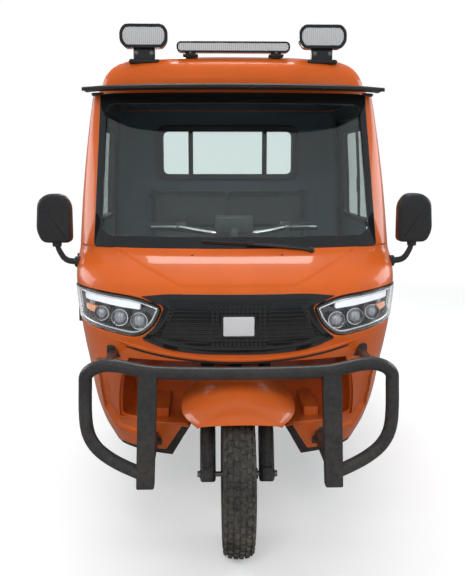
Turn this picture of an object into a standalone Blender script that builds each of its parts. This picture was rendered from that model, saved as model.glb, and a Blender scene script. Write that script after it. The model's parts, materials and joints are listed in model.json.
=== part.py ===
# Electric tipper tricycle: enclosed cab over one steered wheel, tipping bed over a driven rear axle.
# Metres, +Z up. The nose faces -Y, and the origin is the middle of the vehicle on the ground.

import math

import bmesh
import bpy
from mathutils import Matrix, Vector

# Fits
GAP = 0.0003
RUNNING = 0.0004
PANEL_GAP = 0.006
OVERLAP = 0.004
OVERRUN = 0.030
FAR = 3.0
SIDES = {"left": 1, "right": -1}

# Overall
WHEELBASE = 2.305
REAR_OVERHANG = 0.865
BED_CLEARANCE = 0.060

# Wheels
FRONT_TYRE_RADIUS = 0.300
FRONT_TYRE_WIDTH = 0.114
FRONT_RIM_RADIUS = 0.203
FRONT_HUB_RADIUS = 0.045
REAR_TYRE_RADIUS = 0.283
REAR_TYRE_WIDTH = 0.125
REAR_RIM_RADIUS = 0.1525
REAR_HUB_RADIUS = 0.060
REAR_WHEEL_X = 0.500
WHEEL_STEPS = 24
STEM_STEPS = 20
PIN_STEPS = 16
WEB_THICKNESS = 0.016
RIM_FLANGE = 0.018
RIM_HOLES = 5
FRONT_HOLE_RADIUS = 0.034
REAR_HOLE_RADIUS = 0.019
AXLE_RADIUS = 0.010
STUB_RADIUS = 0.016
LENGTH = FRONT_TYRE_RADIUS + WHEELBASE + REAR_OVERHANG
FRONT_AXLE_Y = FRONT_TYRE_RADIUS - LENGTH / 2
REAR_AXLE_Y = FRONT_AXLE_Y + WHEELBASE

# Steering, along its raked axis from the front axle
RAKE = math.radians(22)
FORK_OFFSET = 0.012
LEG_X = 0.108
LEG_RADIUS = 0.024
SLIDER_RADIUS = 0.029
SLIDER_LENGTH = 0.180
STEM_RADIUS = 0.020
CLAMP_THICKNESS = 0.026
CLAMP_DEPTH = 0.105
HEAD_GAP = 0.008
HEAD_LENGTH = 0.071
HEAD_RADIUS = 0.032
STEM_ABOVE_CLAMP = 0.375
BAR_RADIUS = 0.012
BAR_HALF_WIDTH = 0.335
GRIP_RADIUS = 0.018
GRIP_LENGTH = 0.105
GRIP_BACK = 0.080
GRIP_RISE = 0.022
DISPLAY_WIDTH = 0.150
DISPLAY_HEIGHT = 0.070
DISPLAY_DEPTH = 0.040

# Front mudguard
GUARD_CLEARANCE = 0.085
GUARD_RADIUS = FRONT_TYRE_RADIUS + GUARD_CLEARANCE
GUARD_CROWN = 0.105
GUARD_HALF_WIDTH = 0.200
GUARD_THICKNESS = 0.008
GUARD_TAIL_MARGIN = 0.009
GUARD_POST = 0.033
GUARD_TAIL_HALF_WIDTH = LEG_X - LEG_RADIUS - GUARD_TAIL_MARGIN
CLAMP_LOW = GUARD_RADIUS + GUARD_POST
HEAD_LOW = CLAMP_LOW + CLAMP_THICKNESS / 2 + HEAD_GAP
HEAD_HIGH = HEAD_LOW + HEAD_LENGTH
CLAMP_HIGH = HEAD_HIGH + HEAD_GAP + CLAMP_THICKNESS / 2
LEG_TOP = CLAMP_HIGH + CLAMP_THICKNESS
STEM_TOP = CLAMP_HIGH + STEM_ABOVE_CLAMP

# Cab shell
CAB_BASE = 0.360
CAB_HALF_WIDTH = 0.598
NOSE_OVERHANG = 0.120
CAB_LENGTH = 1.525
WALL = 0.030
NOSE_WALL = 0.024
NOSE_DEPTH = 0.425
CORNER = 0.050
PILLAR_WIDTH = 0.108
SCREEN_REACH = 0.230
SCREEN_INSET = 0.004
SCREEN_THICKNESS = 0.006
COWL_HEIGHT = 0.765
SCREEN_HEIGHT = 0.575
ROOF_HEIGHT = 0.155
CAB_HEIGHT = COWL_HEIGHT + SCREEN_HEIGHT + ROOF_HEIGHT
COWL_Z = CAB_BASE + COWL_HEIGHT
CAB_TOP = CAB_BASE + CAB_HEIGHT
ROOF_Z = CAB_TOP - ROOF_HEIGHT
CAB_FRONT = FRONT_AXLE_Y - NOSE_OVERHANG
CAB_REAR = CAB_FRONT + CAB_LENGTH
SPLIT_Y = CAB_FRONT + NOSE_DEPTH
SCREEN_X = CAB_HALF_WIDTH - PILLAR_WIDTH
SCREEN_REAR = NOSE_DEPTH + SCREEN_REACH

# Nose openings and what fills them
POCKET_INNER_X = 0.345
POCKET_WIDTH = 0.165
POCKET_RISE = 0.070
POCKET_HEIGHT = 0.295
POCKET_DEPTH = 0.012
ARCH_LOW_HALF_WIDTH = 0.240
ARCH_HIGH_HALF_WIDTH = 0.160
ARCH_KNEE_HEIGHT = 0.145
ARCH_CLEARANCE = 0.060
SWEEP_CLEARANCE = 0.050
SWEEP_RISE = 0.192
HEADLIGHT_INNER_X = 0.262
HEADLIGHT_OUTER_X = 0.640
HEADLIGHT_DROP = 0.131
HEADLIGHT_ABOVE_ARCH = 0.081
HEADLIGHT_DEPTH = 0.319
GRILLE_HALF_WIDTH = 0.334
GRILLE_DROP = 0.139
GRILLE_ABOVE_ARCH = 0.031
GRILLE_PROUD = 0.009
ARCH_KNEE_Z = CAB_BASE + ARCH_KNEE_HEIGHT
ARCH_TOP_Z = FRONT_TYRE_RADIUS + GUARD_RADIUS + ARCH_CLEARANCE
SWEEP_RADIUS = GUARD_RADIUS + SWEEP_CLEARANCE
SWEEP_LOW = FRONT_TYRE_RADIUS + SWEEP_RISE
HEADLIGHT_HIGH = COWL_Z - HEADLIGHT_DROP
HEADLIGHT_LOW = ARCH_TOP_Z + HEADLIGHT_ABOVE_ARCH
GRILLE_HIGH = COWL_Z - GRILLE_DROP
GRILLE_LOW = ARCH_TOP_Z + GRILLE_ABOVE_ARCH

# Levels, from the rear wheels up to the bed and back down to the rails
REAR_GUARD_CLEARANCE = 0.023
REAR_GUARD_THICKNESS = 0.007
BED_GUARD_CLEARANCE = 0.022
SKIRT_DROP = 0.027
BED_FLOOR_THICKNESS = 0.015
BEARER_HEIGHT = 0.055
HINGE_DROP = 0.020
HINGE_RISE = 0.050
RAIL_HEIGHT = 0.060
SIDE_DROP = 0.020
BED_SKIRT = REAR_TYRE_RADIUS * 2 + REAR_GUARD_CLEARANCE + REAR_GUARD_THICKNESS + BED_GUARD_CLEARANCE
BED_FLOOR_LOW = BED_SKIRT + SKIRT_DROP
BED_FLOOR_HIGH = BED_FLOOR_LOW + BED_FLOOR_THICKNESS
BEARER_LOW = BED_FLOOR_LOW - BEARER_HEIGHT
BED_HINGE_Z = BEARER_LOW - HINGE_DROP
RAIL_HIGH = BED_HINGE_Z - HINGE_RISE
RAIL_LOW = RAIL_HIGH - RAIL_HEIGHT
RAIL_MIDDLE = RAIL_LOW + RAIL_HEIGHT / 2
SIDE_LOW = RAIL_HIGH - SIDE_DROP

# Chassis
RAIL_X = 0.280
RAIL_WIDTH = 0.040
RAIL_SETBACK = 0.230
RAIL_TAIL = 0.050
CROSS_DEPTH = 0.050
CROSS_HEIGHT = 0.044
SPINE_RADIUS = 0.026
SPINE_DROP = 0.020
SPINE_BACK = 0.085
HEAD_CROSS_BACK = 0.130
BATTERY_HEIGHT = 0.245
BATTERY_DROP = 0.190
BATTERY_SIDE_GAP = 0.005
BATTERY_FROM_HEAD = 0.286
BATTERY_FROM_SPRING = 0.355
SPRING_SPAN = 0.920
RAIL_FRONT = CAB_FRONT + RAIL_SETBACK
HEAD_CROSS_Y = SPLIT_Y + HEAD_CROSS_BACK
SPRING_CROSS_Y = REAR_AXLE_Y - SPRING_SPAN / 2
BATTERY_HALF_WIDTH = RAIL_X - RAIL_WIDTH / 2 - BATTERY_SIDE_GAP
BATTERY_LOW = RAIL_LOW - BATTERY_DROP
BATTERY_FRONT = HEAD_CROSS_Y + BATTERY_FROM_HEAD
BATTERY_REAR = SPRING_CROSS_Y - BATTERY_FROM_SPRING

# Rear axle and springs
AXLE_TUBE_RADIUS = 0.032
DRIVE_RADIUS = 0.095
DRIVE_HALF_WIDTH = 0.075
MOTOR_RADIUS = 0.085
MOTOR_LENGTH = 0.160
MOTOR_FORWARD = 0.040
BACKPLATE_GAP = 0.012
SPRING_WIDTH = 0.048
SPRING_THICKNESS = 0.026
SPRING_SEAT = 0.003
SPRING_EYE_FLAT = 0.040
HANGER_DROP = 0.025
SPRING_HIGH = RAIL_LOW - HANGER_DROP - GAP
SPRING_CAMBER = SPRING_HIGH - SPRING_THICKNESS + SPRING_SEAT - REAR_TYRE_RADIUS - AXLE_TUBE_RADIUS
REAR_GUARD_HALF_WIDTH = 0.082
BRACKET_WIDTH = 0.024
BRACKET_THICKNESS = 0.014
LAMP_BAR_HALF_WIDTH = 0.500
LAMP_BAR_DROP = 0.075
LAMP_BAR_HEIGHT = 0.055
LAMP_BAR_DEPTH = 0.030
TAIL_LAMP_WIDTH = 0.180
TAIL_LAMP_HEIGHT = 0.080
TAIL_LAMP_DEPTH = 0.045

# Doors and windows
DOOR_STILE = 0.041
QUARTER_LENGTH = 0.216
SILL_HEIGHT = 0.062
HEADER_HEIGHT = 0.060
DOOR_SLOPE = 0.164
DOOR_WINDOW_RISE = 0.060
DOOR_FRAME = 0.058
HINGE_PROUD = 0.012
DOOR_KNUCKLE_RADIUS = 0.007
DOOR_KNUCKLE_HEIGHT = 0.030
DOOR_LEAF = 0.018
PANEL_LEAF = 0.024
LEAF_REACH = 0.050
BELT_RISE = 0.005
GLASS_THICKNESS = 0.005
GLASS_INSET = 0.012
REAR_WINDOW_HALF_WIDTH = 0.335
REAR_WINDOW_DROP = 0.102
REAR_WINDOW_HEIGHT = 0.224
REAR_WINDOW_LOW = ROOF_Z - REAR_WINDOW_DROP - REAR_WINDOW_HEIGHT
DOOR_FRONT = SPLIT_Y + DOOR_STILE
DOOR_REAR = CAB_REAR - QUARTER_LENGTH
DOOR_LOW = SIDE_LOW + SILL_HEIGHT
DOOR_HIGH = ROOF_Z - HEADER_HEIGHT
DOOR_BELT = COWL_Z + BELT_RISE
DOOR_TOP_FRONT = DOOR_FRONT + DOOR_SLOPE
DOOR_WINDOW_LOW = COWL_Z + DOOR_WINDOW_RISE
DOOR_HINGE_X = CAB_HALF_WIDTH + HINGE_PROUD

# On and around the cab
VISOR_INSET = 0.010
VISOR_THICKNESS = 0.016
VISOR_REACH = 0.160
VISOR_DROOP = 0.010
VISOR_BEHIND_NOSE = 0.220
LAMP_X = 0.353
LAMP_WIDTH = 0.190
LAMP_HEIGHT = 0.093
LAMP_DEPTH = 0.080
LAMP_RISE = 0.022
LAMP_BEHIND_NOSE = 0.180
POST_WIDTH = 0.084
POST_DEPTH = 0.045
LIGHT_BAR_HALF_WIDTH = 0.225
LIGHT_BAR_HEIGHT = 0.043
LIGHT_BAR_DEPTH = 0.055
LIGHT_BAR_RISE = 0.008
LIGHT_BAR_FOOT_X = 0.170
LIGHT_BAR_FOOT = 0.040
BULL_BAR_Y = 0.070
BULL_BAR_RADIUS = 0.022
BULL_BAR_INSET = 0.083
BULL_BAR_RISE = 0.025
BULL_BAR_HEIGHT = 0.381
BULL_BAR_SWEEP = 0.026
BAR_POST_X = 0.304
BAR_POST_WIDTH = 0.060
BAR_POST_DEPTH = 0.040
BAR_POST_DROP = 0.015
BAR_ARM_WIDTH = 0.028
BAR_ARM_HEIGHT = 0.040
BAR_ARM_RISE = 0.070
BAR_TOP_ARM_X = 0.440
WIPER_RADIUS = 0.006
WIPER_X = 0.270
WIPER_LENGTH = 0.395
WIPER_RISE = 0.033
WIPER_STANDOFF = 0.028
MIRROR_OUT = 0.014
MIRROR_WIDTH = 0.130
MIRROR_RISE = 0.010
MIRROR_HEIGHT = 0.183
MIRROR_DEPTH = 0.060
MIRROR_AHEAD = 0.102
MIRROR_ARM_RADIUS = 0.012
MIRROR_ARM_DROP = 0.065
VISOR_HALF_WIDTH = CAB_HALF_WIDTH - VISOR_INSET
LAMP_LOW = CAB_TOP + LAMP_RISE
LAMP_Y = SPLIT_Y + LAMP_BEHIND_NOSE
LIGHT_BAR_LOW = CAB_TOP + LIGHT_BAR_RISE
BULL_BAR_HALF_WIDTH = CAB_HALF_WIDTH - BULL_BAR_INSET
BULL_BAR_LOW = CAB_BASE + BULL_BAR_RISE
BULL_BAR_HIGH = BULL_BAR_LOW + BULL_BAR_HEIGHT
BAR_POST_LOW = CAB_BASE - BAR_POST_DROP
BAR_ARM_Z = CAB_BASE + BAR_ARM_RISE
MIRROR_INNER_X = CAB_HALF_WIDTH + MIRROR_OUT
MIRROR_LOW = COWL_Z + MIRROR_RISE
MIRROR_Y = SPLIT_Y - MIRROR_AHEAD
MIRROR_ARM_Z = COWL_Z - MIRROR_ARM_DROP

# Inside the cab
FLOOR_THICKNESS = 0.016
FOOTWELL_FRONT = 0.058
BULKHEAD_INSET = 0.128
BULKHEAD_THICKNESS = 0.015
BULKHEAD_HEIGHT = 0.380
SEAT_BOX_HALF_WIDTH = 0.430
SEAT_BOX_DEPTH = 0.570
SEAT_BOX_HEIGHT = 0.270
SEAT_BOX_WALL = 0.016
SEAT_OVERHANG = 0.020
CUSHION_DEPTH = 0.470
CUSHION_HEIGHT = 0.110
BACK_HEIGHT = 0.430
BACK_THICKNESS = 0.130
BACK_LEAN = 0.014
BACK_TOP_THICKNESS = 0.064
SEAT_CLEARANCE = 0.010
DASH_DROP = 0.145
DASH_HEIGHT = 0.120
DASH_CLEARANCE = 0.0175
FLOOR_LOW = RAIL_HIGH + GAP
FLOOR_FRONT = SPLIT_Y + FOOTWELL_FRONT
BULKHEAD_HALF_WIDTH = CAB_HALF_WIDTH - BULKHEAD_INSET
BULKHEAD_TOP = FLOOR_LOW + BULKHEAD_HEIGHT
DASH_LOW = COWL_Z - DASH_DROP
SEAT_BOX_REAR = CAB_REAR - WALL - SEAT_CLEARANCE
SEAT_BOX_FRONT = SEAT_BOX_REAR - SEAT_BOX_DEPTH
SEAT_BOX_TOP = FLOOR_LOW + SEAT_BOX_HEIGHT

# Bed
BED_HALF_WIDTH = 0.590
BED_WALL = 0.030
BED_SIDE_HEIGHT = 0.422
BED_RIB_DEPTH = 0.008
BED_RIBS = 3
BED_POSTS = 4
BED_POST_WIDTH = 0.044
BED_TOP_RAIL = 0.035
BED_TOP_RAIL_PROUD = 0.008
HEADBOARD_HEIGHT = 0.482
BEARER_INSET = 0.080
BEARER_WIDTH = 0.040
BED_OVERHANG = 0.315
HINGE_PIN_RADIUS = 0.012
EAR_THICKNESS = 0.014
EAR_RADIUS = 0.026
BED_CROSS_WIDTH = 0.044
BED_CROSS_INSET = 0.020
GATE_THICKNESS = 0.030
GATE_CLEARANCE = 0.005
GATE_LIFT = 0.006
GATE_HINGE_INSET = 0.019
GATE_HINGE_DROP = 0.028
KNUCKLE_RADIUS = 0.011
KNUCKLE_WIDTH = 0.056
GATE_PIN_RADIUS = 0.006
GATE_EAR_WIDTH = 0.012
GATE_HINGE_FROM_SIDE = 0.110
BEARER_X = RAIL_X - BEARER_INSET
BED_REAR = LENGTH / 2
BED_FRONT = CAB_REAR + BED_CLEARANCE
BED_SIDE_HIGH = BED_SKIRT + BED_SIDE_HEIGHT
BED_HINGE_Y = BED_REAR - BED_OVERHANG
RAIL_REAR = BED_HINGE_Y + RAIL_TAIL
GATE_HINGE_Y = BED_REAR - GATE_HINGE_INSET
GATE_HINGE_Z = BED_FLOOR_HIGH - GATE_HINGE_DROP
BED_INNER = BED_HALF_WIDTH - BED_WALL
GATE_HINGE_X = BED_INNER - GATE_HINGE_FROM_SIDE
BED_SIDE_REAR = BED_REAR - GATE_THICKNESS - GATE_CLEARANCE

# Hoist
HOIST_BASE_AHEAD = 0.200
HOIST_BASE_DROP = 0.160
HOIST_EYE_AHEAD = 0.600
HOIST_EYE_RISE = 0.010
HOIST_CROSS_BACK = 0.040
BARREL_RADIUS = 0.038
BARREL_START = 0.040
BARREL_LENGTH = 0.365
ROD_RADIUS = 0.018
ROD_START = 0.080
EYE_RADIUS = 0.026
EYE_WIDTH = 0.036
EAR_GAP = 0.006
HOIST_BASE_Y = BED_HINGE_Y - HOIST_BASE_AHEAD
HOIST_EYE_Y = BED_HINGE_Y - HOIST_EYE_AHEAD
HOIST_BASE_Z = RAIL_LOW - HOIST_BASE_DROP
HOIST_EYE_Z = BED_HINGE_Z + HOIST_EYE_RISE
HOIST_CROSS_Y = HOIST_BASE_Y + HOIST_CROSS_BACK

# Heights and half widths of the cab as shares of its own. Then, as shares of the nose's depth,
# its front edge, the depth of its front corner and how far its rear edge has come forward.
CAB_STATION_SHARES = (
    (0.000, 0.786, 0.2942, 0.7069, 0.0000),
    (0.060, 0.861, 0.2584, 0.7069, 0.0000),
    (0.127, 0.903, 0.1866, 0.7069, 0.0000),
    (0.227, 0.933, 0.0825, 0.7069, 0.0000),
    (0.274, 0.948, 0.0251, 0.7069, 0.0000),
    (0.328, 0.963, 0.0000, 0.6818, 0.0000),
    (0.395, 0.983, 0.0108, 0.6818, 0.0000),
    (0.428, 0.992, 0.0574, 0.6638, 0.0000),
    (0.468, 1.000, 0.2009, 0.6351, 0.0000),
    (0.500, 0.995, 0.3732, 0.5992, 0.0000),
    (0.890, 0.932, 1.2451, 0.2189, 0.0000),
    (0.936, 0.900, 1.2344, 0.2368, 0.0000),
    (0.963, 0.840, 1.2595, 0.2153, 0.0359),
    (0.987, 0.702, 1.3528, 0.1866, 0.1148),
    (1.000, 0.500, 1.5429, 0.1651, 0.2871),
)
# Across the half width and back along the corner depth, from the middle of the nose to the side.
NOSE_SHARES = (
    (0.00, 0.00),
    (0.20, 0.02),
    (0.40, 0.07),
    (0.60, 0.17),
    (0.76, 0.32),
    (0.88, 0.52),
    (0.96, 0.76),
    (1.00, 1.00),
)
CORNER_SHARE = 0.3
# Across the half width and up the side wall of a tyre, from one bead to the other.
TYRE_SHARES = (
    (-0.62, 0.00),
    (-1.00, 0.38),
    (-0.96, 0.72),
    (-0.62, 0.94),
    (0.00, 1.00),
    (0.62, 0.94),
    (0.96, 0.72),
    (1.00, 0.38),
    (0.62, 0.00),
)
RIM_WIDTH_SHARE = 0.70
HUB_WIDTH_SHARE = 0.80
# Along and up each outline's own box.
HEADLIGHT_SHARES = (
    (0.000, 0.66),
    (0.079, 0.27),
    (0.233, 0.00),
    (0.630, 0.12),
    (1.000, 0.32),
    (1.000, 1.00),
    (0.233, 0.85),
)
POCKET_SHARES = (
    (0.00, 0.06),
    (0.10, 0.00),
    (0.62, 0.05),
    (0.90, 0.30),
    (1.00, 0.95),
    (0.92, 1.00),
    (0.06, 1.00),
)
GRILLE_SHARES = (
    (0.75, 0.00),
    (1.00, 0.19),
    (0.84, 0.44),
    (0.75, 0.77),
    (0.90, 0.89),
    (0.84, 1.00),
)
MIRROR_SHARES = (
    (0.00, 0.00),
    (0.84, 0.00),
    (1.00, 0.25),
    (0.95, 0.85),
    (0.68, 1.00),
    (0.22, 1.00),
    (0.00, 0.79),
)
LAMP_SHARES = (
    (0.00, 0.30),
    (0.11, 0.00),
    (0.89, 0.00),
    (1.00, 0.30),
    (1.00, 0.73),
    (0.89, 1.00),
    (0.11, 1.00),
    (0.00, 0.73),
)
# Across the half width, up the height and back along the sweep of the bull bar's loop.
BULL_BAR_SHARES = (
    (0.58, 0.95, 0.0),
    (0.78, 1.00, 0.2),
    (0.90, 0.995, 0.5),
    (0.985, 0.925, 0.8),
    (1.00, 0.80, 1.0),
    (1.00, 0.46, 1.0),
    (0.95, 0.275, 0.8),
    (0.835, 0.145, 0.5),
    (0.67, 0.04, 0.1),
    (0.58, 0.00, 0.0),
)
BULL_BAR_DIP_SHARE = 0.93
# Across the half width, back from the stem and up to the grips.
BAR_SHARES = (
    (0.22, 0.00, 0.0),
    (0.45, 0.35, 0.5),
    (0.66, 0.85, 1.0),
    (1.00, 1.10, 1.0),
)
GUARD_ANGLES = (131, 122, 113, 104, 95, 86, 79)
GUARD_WIDTH_SHARES = (0.64, 0.82, 0.94, 1.0, 1.0, 0.98, 0.94)
GUARD_ACROSS_SHARES = (-1, -0.8, -0.45, 0, 0.45, 0.8, 1)
GUARD_TAIL_ANGLES = (95, 86, 77, 68, 60)
REAR_GUARD_ANGLES = range(8, 173, 14)
# Half of the visor's front edge: across its half width and back along its reach.
VISOR_SHARES = ((0.0, 0.0), (0.30, 0.04), (0.55, 0.13), (0.78, 0.32), (0.92, 0.58), (1.0, 0.85))
# Along half the spring's span and down its camber.
SPRING_SHARES = ((1.0, 0.0), (0.91, 0.0), (0.50, 0.69), (0.0, 1.0))
BED_CROSS_SHARES = (0.036, 0.225, 0.407, 0.686, 0.899)
GUARD_BRACKET_SHARE = 0.79
DOOR_HINGE_SHARES = (0.49, 0.86)


def material(name, colour, metallic, roughness, alpha=1.0):
    """A Principled material with the paint of one kind of piece."""
    made = bpy.data.materials.new(name)
    made.use_nodes = True
    shader = made.node_tree.nodes["Principled BSDF"]
    shader.inputs["Base Color"].default_value = (*colour, 1.0)
    shader.inputs["Metallic"].default_value = metallic
    shader.inputs["Roughness"].default_value = roughness
    shader.inputs["Alpha"].default_value = alpha
    return made


def materials():
    """Every finish the tricycle shows."""
    return {
        "orange_paint": material("orange_paint", (0.80, 0.20, 0.02), 0.1, 0.3),
        "black_paint": material("black_paint", (0.02, 0.02, 0.022), 0.3, 0.4),
        "black_plastic": material("black_plastic", (0.02, 0.022, 0.025), 0.0, 0.5),
        "trim": material("trim", (0.06, 0.07, 0.08), 0.0, 0.6),
        "glass": material("glass", (0.55, 0.62, 0.62), 0.0, 0.05, 0.3),
        "lamp": material("lamp", (0.55, 0.57, 0.58), 0.2, 0.15),
        "steel": material("steel", (0.45, 0.45, 0.46), 0.9, 0.35),
        "rim": material("rim", (0.10, 0.10, 0.11), 0.6, 0.35),
        "tyre": material("tyre", (0.02, 0.02, 0.02), 0.0, 0.85),
        "seat": material("seat", (0.03, 0.03, 0.034), 0.0, 0.6),
        "bed_paint": material("bed_paint", (0.05, 0.06, 0.08), 0.2, 0.45),
    }


def clear_scene():
    """Removes what the startup scene holds."""
    for obj in list(bpy.data.objects):
        bpy.data.objects.remove(obj, do_unlink=True)


def mesh_object(name, points, faces, paint=None):
    """A closed mesh as an object, with its faces turned outwards."""
    shape = bmesh.new()
    corners = [shape.verts.new(point) for point in points]
    for face in faces:
        shape.faces.new([corners[index] for index in face])
    bmesh.ops.recalc_face_normals(shape, faces=shape.faces)
    mesh = bpy.data.meshes.new(name)
    shape.to_mesh(mesh)
    shape.free()
    if paint:
        mesh.materials.append(paint)
    obj = bpy.data.objects.new(name, mesh)
    bpy.context.scene.collection.objects.link(obj)
    return obj


def loft(name, rings, paint=None, split=False):
    """A solid through rings of equal count, closed by the first and the last ring."""
    count = len(rings[0])
    points = [point for ring in rings for point in ring]
    faces = [list(range(count)), list(range(len(points) - count, len(points)))]
    for row in range(len(rings) - 1):
        for step in range(count):
            after = (step + 1) % count
            low = row * count
            corners = [low + step, low + after, low + count + after, low + count + step]
            if split:
                faces += [corners[:3], [corners[0], *corners[2:]]]
            else:
                faces.append(corners)
    return mesh_object(name, points, faces, paint)


def prism(name, outline, axis, low, high, paint=None):
    """An outline carried along one axis. Its two numbers are the other two axes, in order."""
    rings = []
    for level in (low, high):
        ring = []
        for first, second in outline:
            place = {"x": (level, first, second), "y": (first, level, second), "z": (first, second, level)}
            ring.append(place[axis])
        rings.append(ring)
    return loft(name, rings, paint)


def block(name, low, high, paint=None):
    """A plain box between two corners, given in any order along each axis."""
    low, high = zip(*(sorted(pair) for pair in zip(low, high)))
    outline = [(low[0], low[1]), (high[0], low[1]), (high[0], high[1]), (low[0], high[1])]
    return prism(name, outline, "z", low[2], high[2], paint)


def tube(name, path, radius, steps=12, paint=None):
    """A round bar along a bent path, mitred at its bends."""
    path = [Vector(point) for point in path]
    rings = []
    across = None
    for index, point in enumerate(path):
        before = path[max(index - 1, 0)]
        after = path[min(index + 1, len(path) - 1)]
        into = (point - before).normalized() if index else (after - point).normalized()
        out = (after - point).normalized() if index < len(path) - 1 else into
        along = (into + out).normalized()
        if across is None:
            across = along.orthogonal().normalized()
        across = (across - across.project(along)).normalized()
        beside = along.cross(across)
        stretch = 1 / max(along.dot(into), 0.5)
        bend = into.cross(out)
        bend = bend.normalized() if bend.length > GAP else None
        ring = []
        for step in range(steps):
            turn = math.tau * (step + 0.5) / steps
            offset = across * math.cos(turn) + beside * math.sin(turn)
            if bend:
                flat = offset - offset.project(bend)
                offset = offset + flat * (stretch - 1)
            ring.append(point + offset * radius)
        rings.append(ring)
    return loft(name, rings, paint)


def rod(name, low, high, radius, steps=12, paint=None):
    """A straight round bar between two points."""
    return tube(name, [low, high], radius, steps, paint)


def cross_rod(name, y, z, half_width, radius, steps=12, paint=None):
    """A round bar along X, as far to each side of the middle."""
    return rod(name, (-half_width, y, z), (half_width, y, z), radius, steps, paint)


def hinge_pin(name, y, z, half_width, clearance=0.0):
    """A hinge pin along X, or with a clearance the bore that it runs in."""
    return cross_rod(name, y, z, half_width, HINGE_PIN_RADIUS + clearance, PIN_STEPS)


def plate(name, low, high, depth, thickness):
    """A flat plate along X between two points, raked with the steering axis."""
    low, high = Vector(low), Vector(high)
    up = Vector((0, math.sin(RAKE), math.cos(RAKE))) * thickness / 2
    ahead = Vector((0, -math.cos(RAKE), math.sin(RAKE))) * depth / 2
    corners = ((-1, -1), (1, -1), (1, 1), (-1, 1))
    rings = [[point + ahead * first + up * second for first, second in corners] for point in (low, high)]
    return loft(name, rings)


def wheel_ring(name, profile, centre, paint=None, steps=WHEEL_STEPS):
    """A closed profile of (offset along X, radius) pairs turned about a wheel's axle."""
    points = []
    for step in range(steps):
        turn = math.tau * step / steps
        for offset, radius in profile:
            across = radius * math.cos(turn)
            up = radius * math.sin(turn)
            points.append((centre[0] + offset, centre[1] + across, centre[2] + up))
    count = len(profile)
    faces = []
    for row in range(steps):
        low, high = row * count, (row + 1) % steps * count
        for step in range(count):
            after = (step + 1) % count
            faces.append([low + step, low + after, high + after, high + step])
    return mesh_object(name, points, faces, paint)


def combine(obj, other, operation):
    """Joins, cuts or trims obj with another solid, which is hidden as its guide."""
    step = obj.modifiers.new(operation.lower(), "BOOLEAN")
    step.operation = operation
    step.object = other
    step.solver = "EXACT"
    other.hide_render = True
    other.display_type = "WIRE"
    return obj


def join(obj, *others):
    """Unites solids into obj."""
    for other in others:
        combine(obj, other, "UNION")
    return obj


def cut(obj, *others):
    """Takes solids away from obj."""
    for other in others:
        combine(obj, other, "DIFFERENCE")
    return obj


def keep(obj, *others):
    """Leaves what obj shares with each of the other solids."""
    for other in others:
        combine(obj, other, "INTERSECT")
    return obj


def smooth(obj, angle=math.radians(35)):
    """Shades an object smooth but for its sharp edges."""
    obj.data.shade_smooth()
    obj.data.set_sharp_from_angle(angle=angle)
    return obj


def spread(shares, low, high):
    """An outline's shares laid out in the box between two corners."""
    return [
        (low[0] + (high[0] - low[0]) * along, low[1] + (high[1] - low[1]) * up)
        for along, up in shares
    ]


def grown(outline, distance):
    """An outline with each edge moved outwards, for one that runs counter-clockwise."""
    moved = []
    for index, corner in enumerate(outline):
        before = Vector(outline[index - 1])
        here = Vector(corner)
        after = Vector(outline[(index + 1) % len(outline)])
        into = (here - before).normalized()
        out = (after - here).normalized()
        first = Vector((into.y, -into.x))
        second = Vector((out.y, -out.x))
        middle = (first + second).normalized()
        moved.append(tuple(here + middle * distance / max(middle.dot(first), 0.3)))
    return moved


def mirrored(outline):
    """The same outline on the other side of the vehicle, still counter-clockwise."""
    return [(-across, up) for across, up in reversed(outline)]


def station_at(height):
    """The cab's four shares at a height share, in between its stations."""
    rows = CAB_STATION_SHARES
    if height <= rows[0][0]:
        return rows[0][1:]
    for low, high in zip(rows, rows[1:]):
        if height <= high[0]:
            part = (height - low[0]) / (high[0] - low[0])
            return tuple(a + (b - a) * part for a, b in zip(low[1:], high[1:]))
    return rows[-1][1:]


def cab_ring(level, inset, drop=0.0):
    """The cab's outline at one height, brought in by an inset."""
    width, front, depth, rear = station_at((level + drop - CAB_BASE) / CAB_HEIGHT)
    half = CAB_HALF_WIDTH * width - inset
    nose = CAB_FRONT + NOSE_DEPTH * front + inset
    back = CAB_REAR - NOSE_DEPTH * rear - inset
    deep = NOSE_DEPTH * depth
    side = [(half * across, nose + deep * along) for across, along in NOSE_SHARES]
    side += [
        (half, back - CORNER),
        (half - CORNER * CORNER_SHARE, back - CORNER * CORNER_SHARE),
        (half - CORNER, back),
    ]
    other = [(-x, y) for x, y in reversed(side[1:])]
    return [(x, y, level) for x, y in side + other]


def cab_solid(name, inset, low, high, drop=0.0, paint=None):
    """The cab's outer shape as a solid, brought in by an inset, between two heights."""
    levels = [CAB_BASE + CAB_HEIGHT * row[0] - drop for row in CAB_STATION_SHARES]
    inner = [level for level in levels if low + GAP < level < high - GAP]
    rings = [cab_ring(level, inset, drop) for level in [low, *inner, high]]
    return loft(name, rings, paint, split=True)


def steer_point(along, forward=0.0, across=0.0):
    """A point by its distance up the steering axis, ahead of it and to the side."""
    axle = Vector((0, FRONT_AXLE_Y, FRONT_TYRE_RADIUS))
    up = Vector((0, math.sin(RAKE), math.cos(RAKE)))
    ahead = Vector((0, -math.cos(RAKE), math.sin(RAKE)))
    return axle + up * along + ahead * (forward - FORK_OFFSET) + Vector((across, 0, 0))


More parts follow.
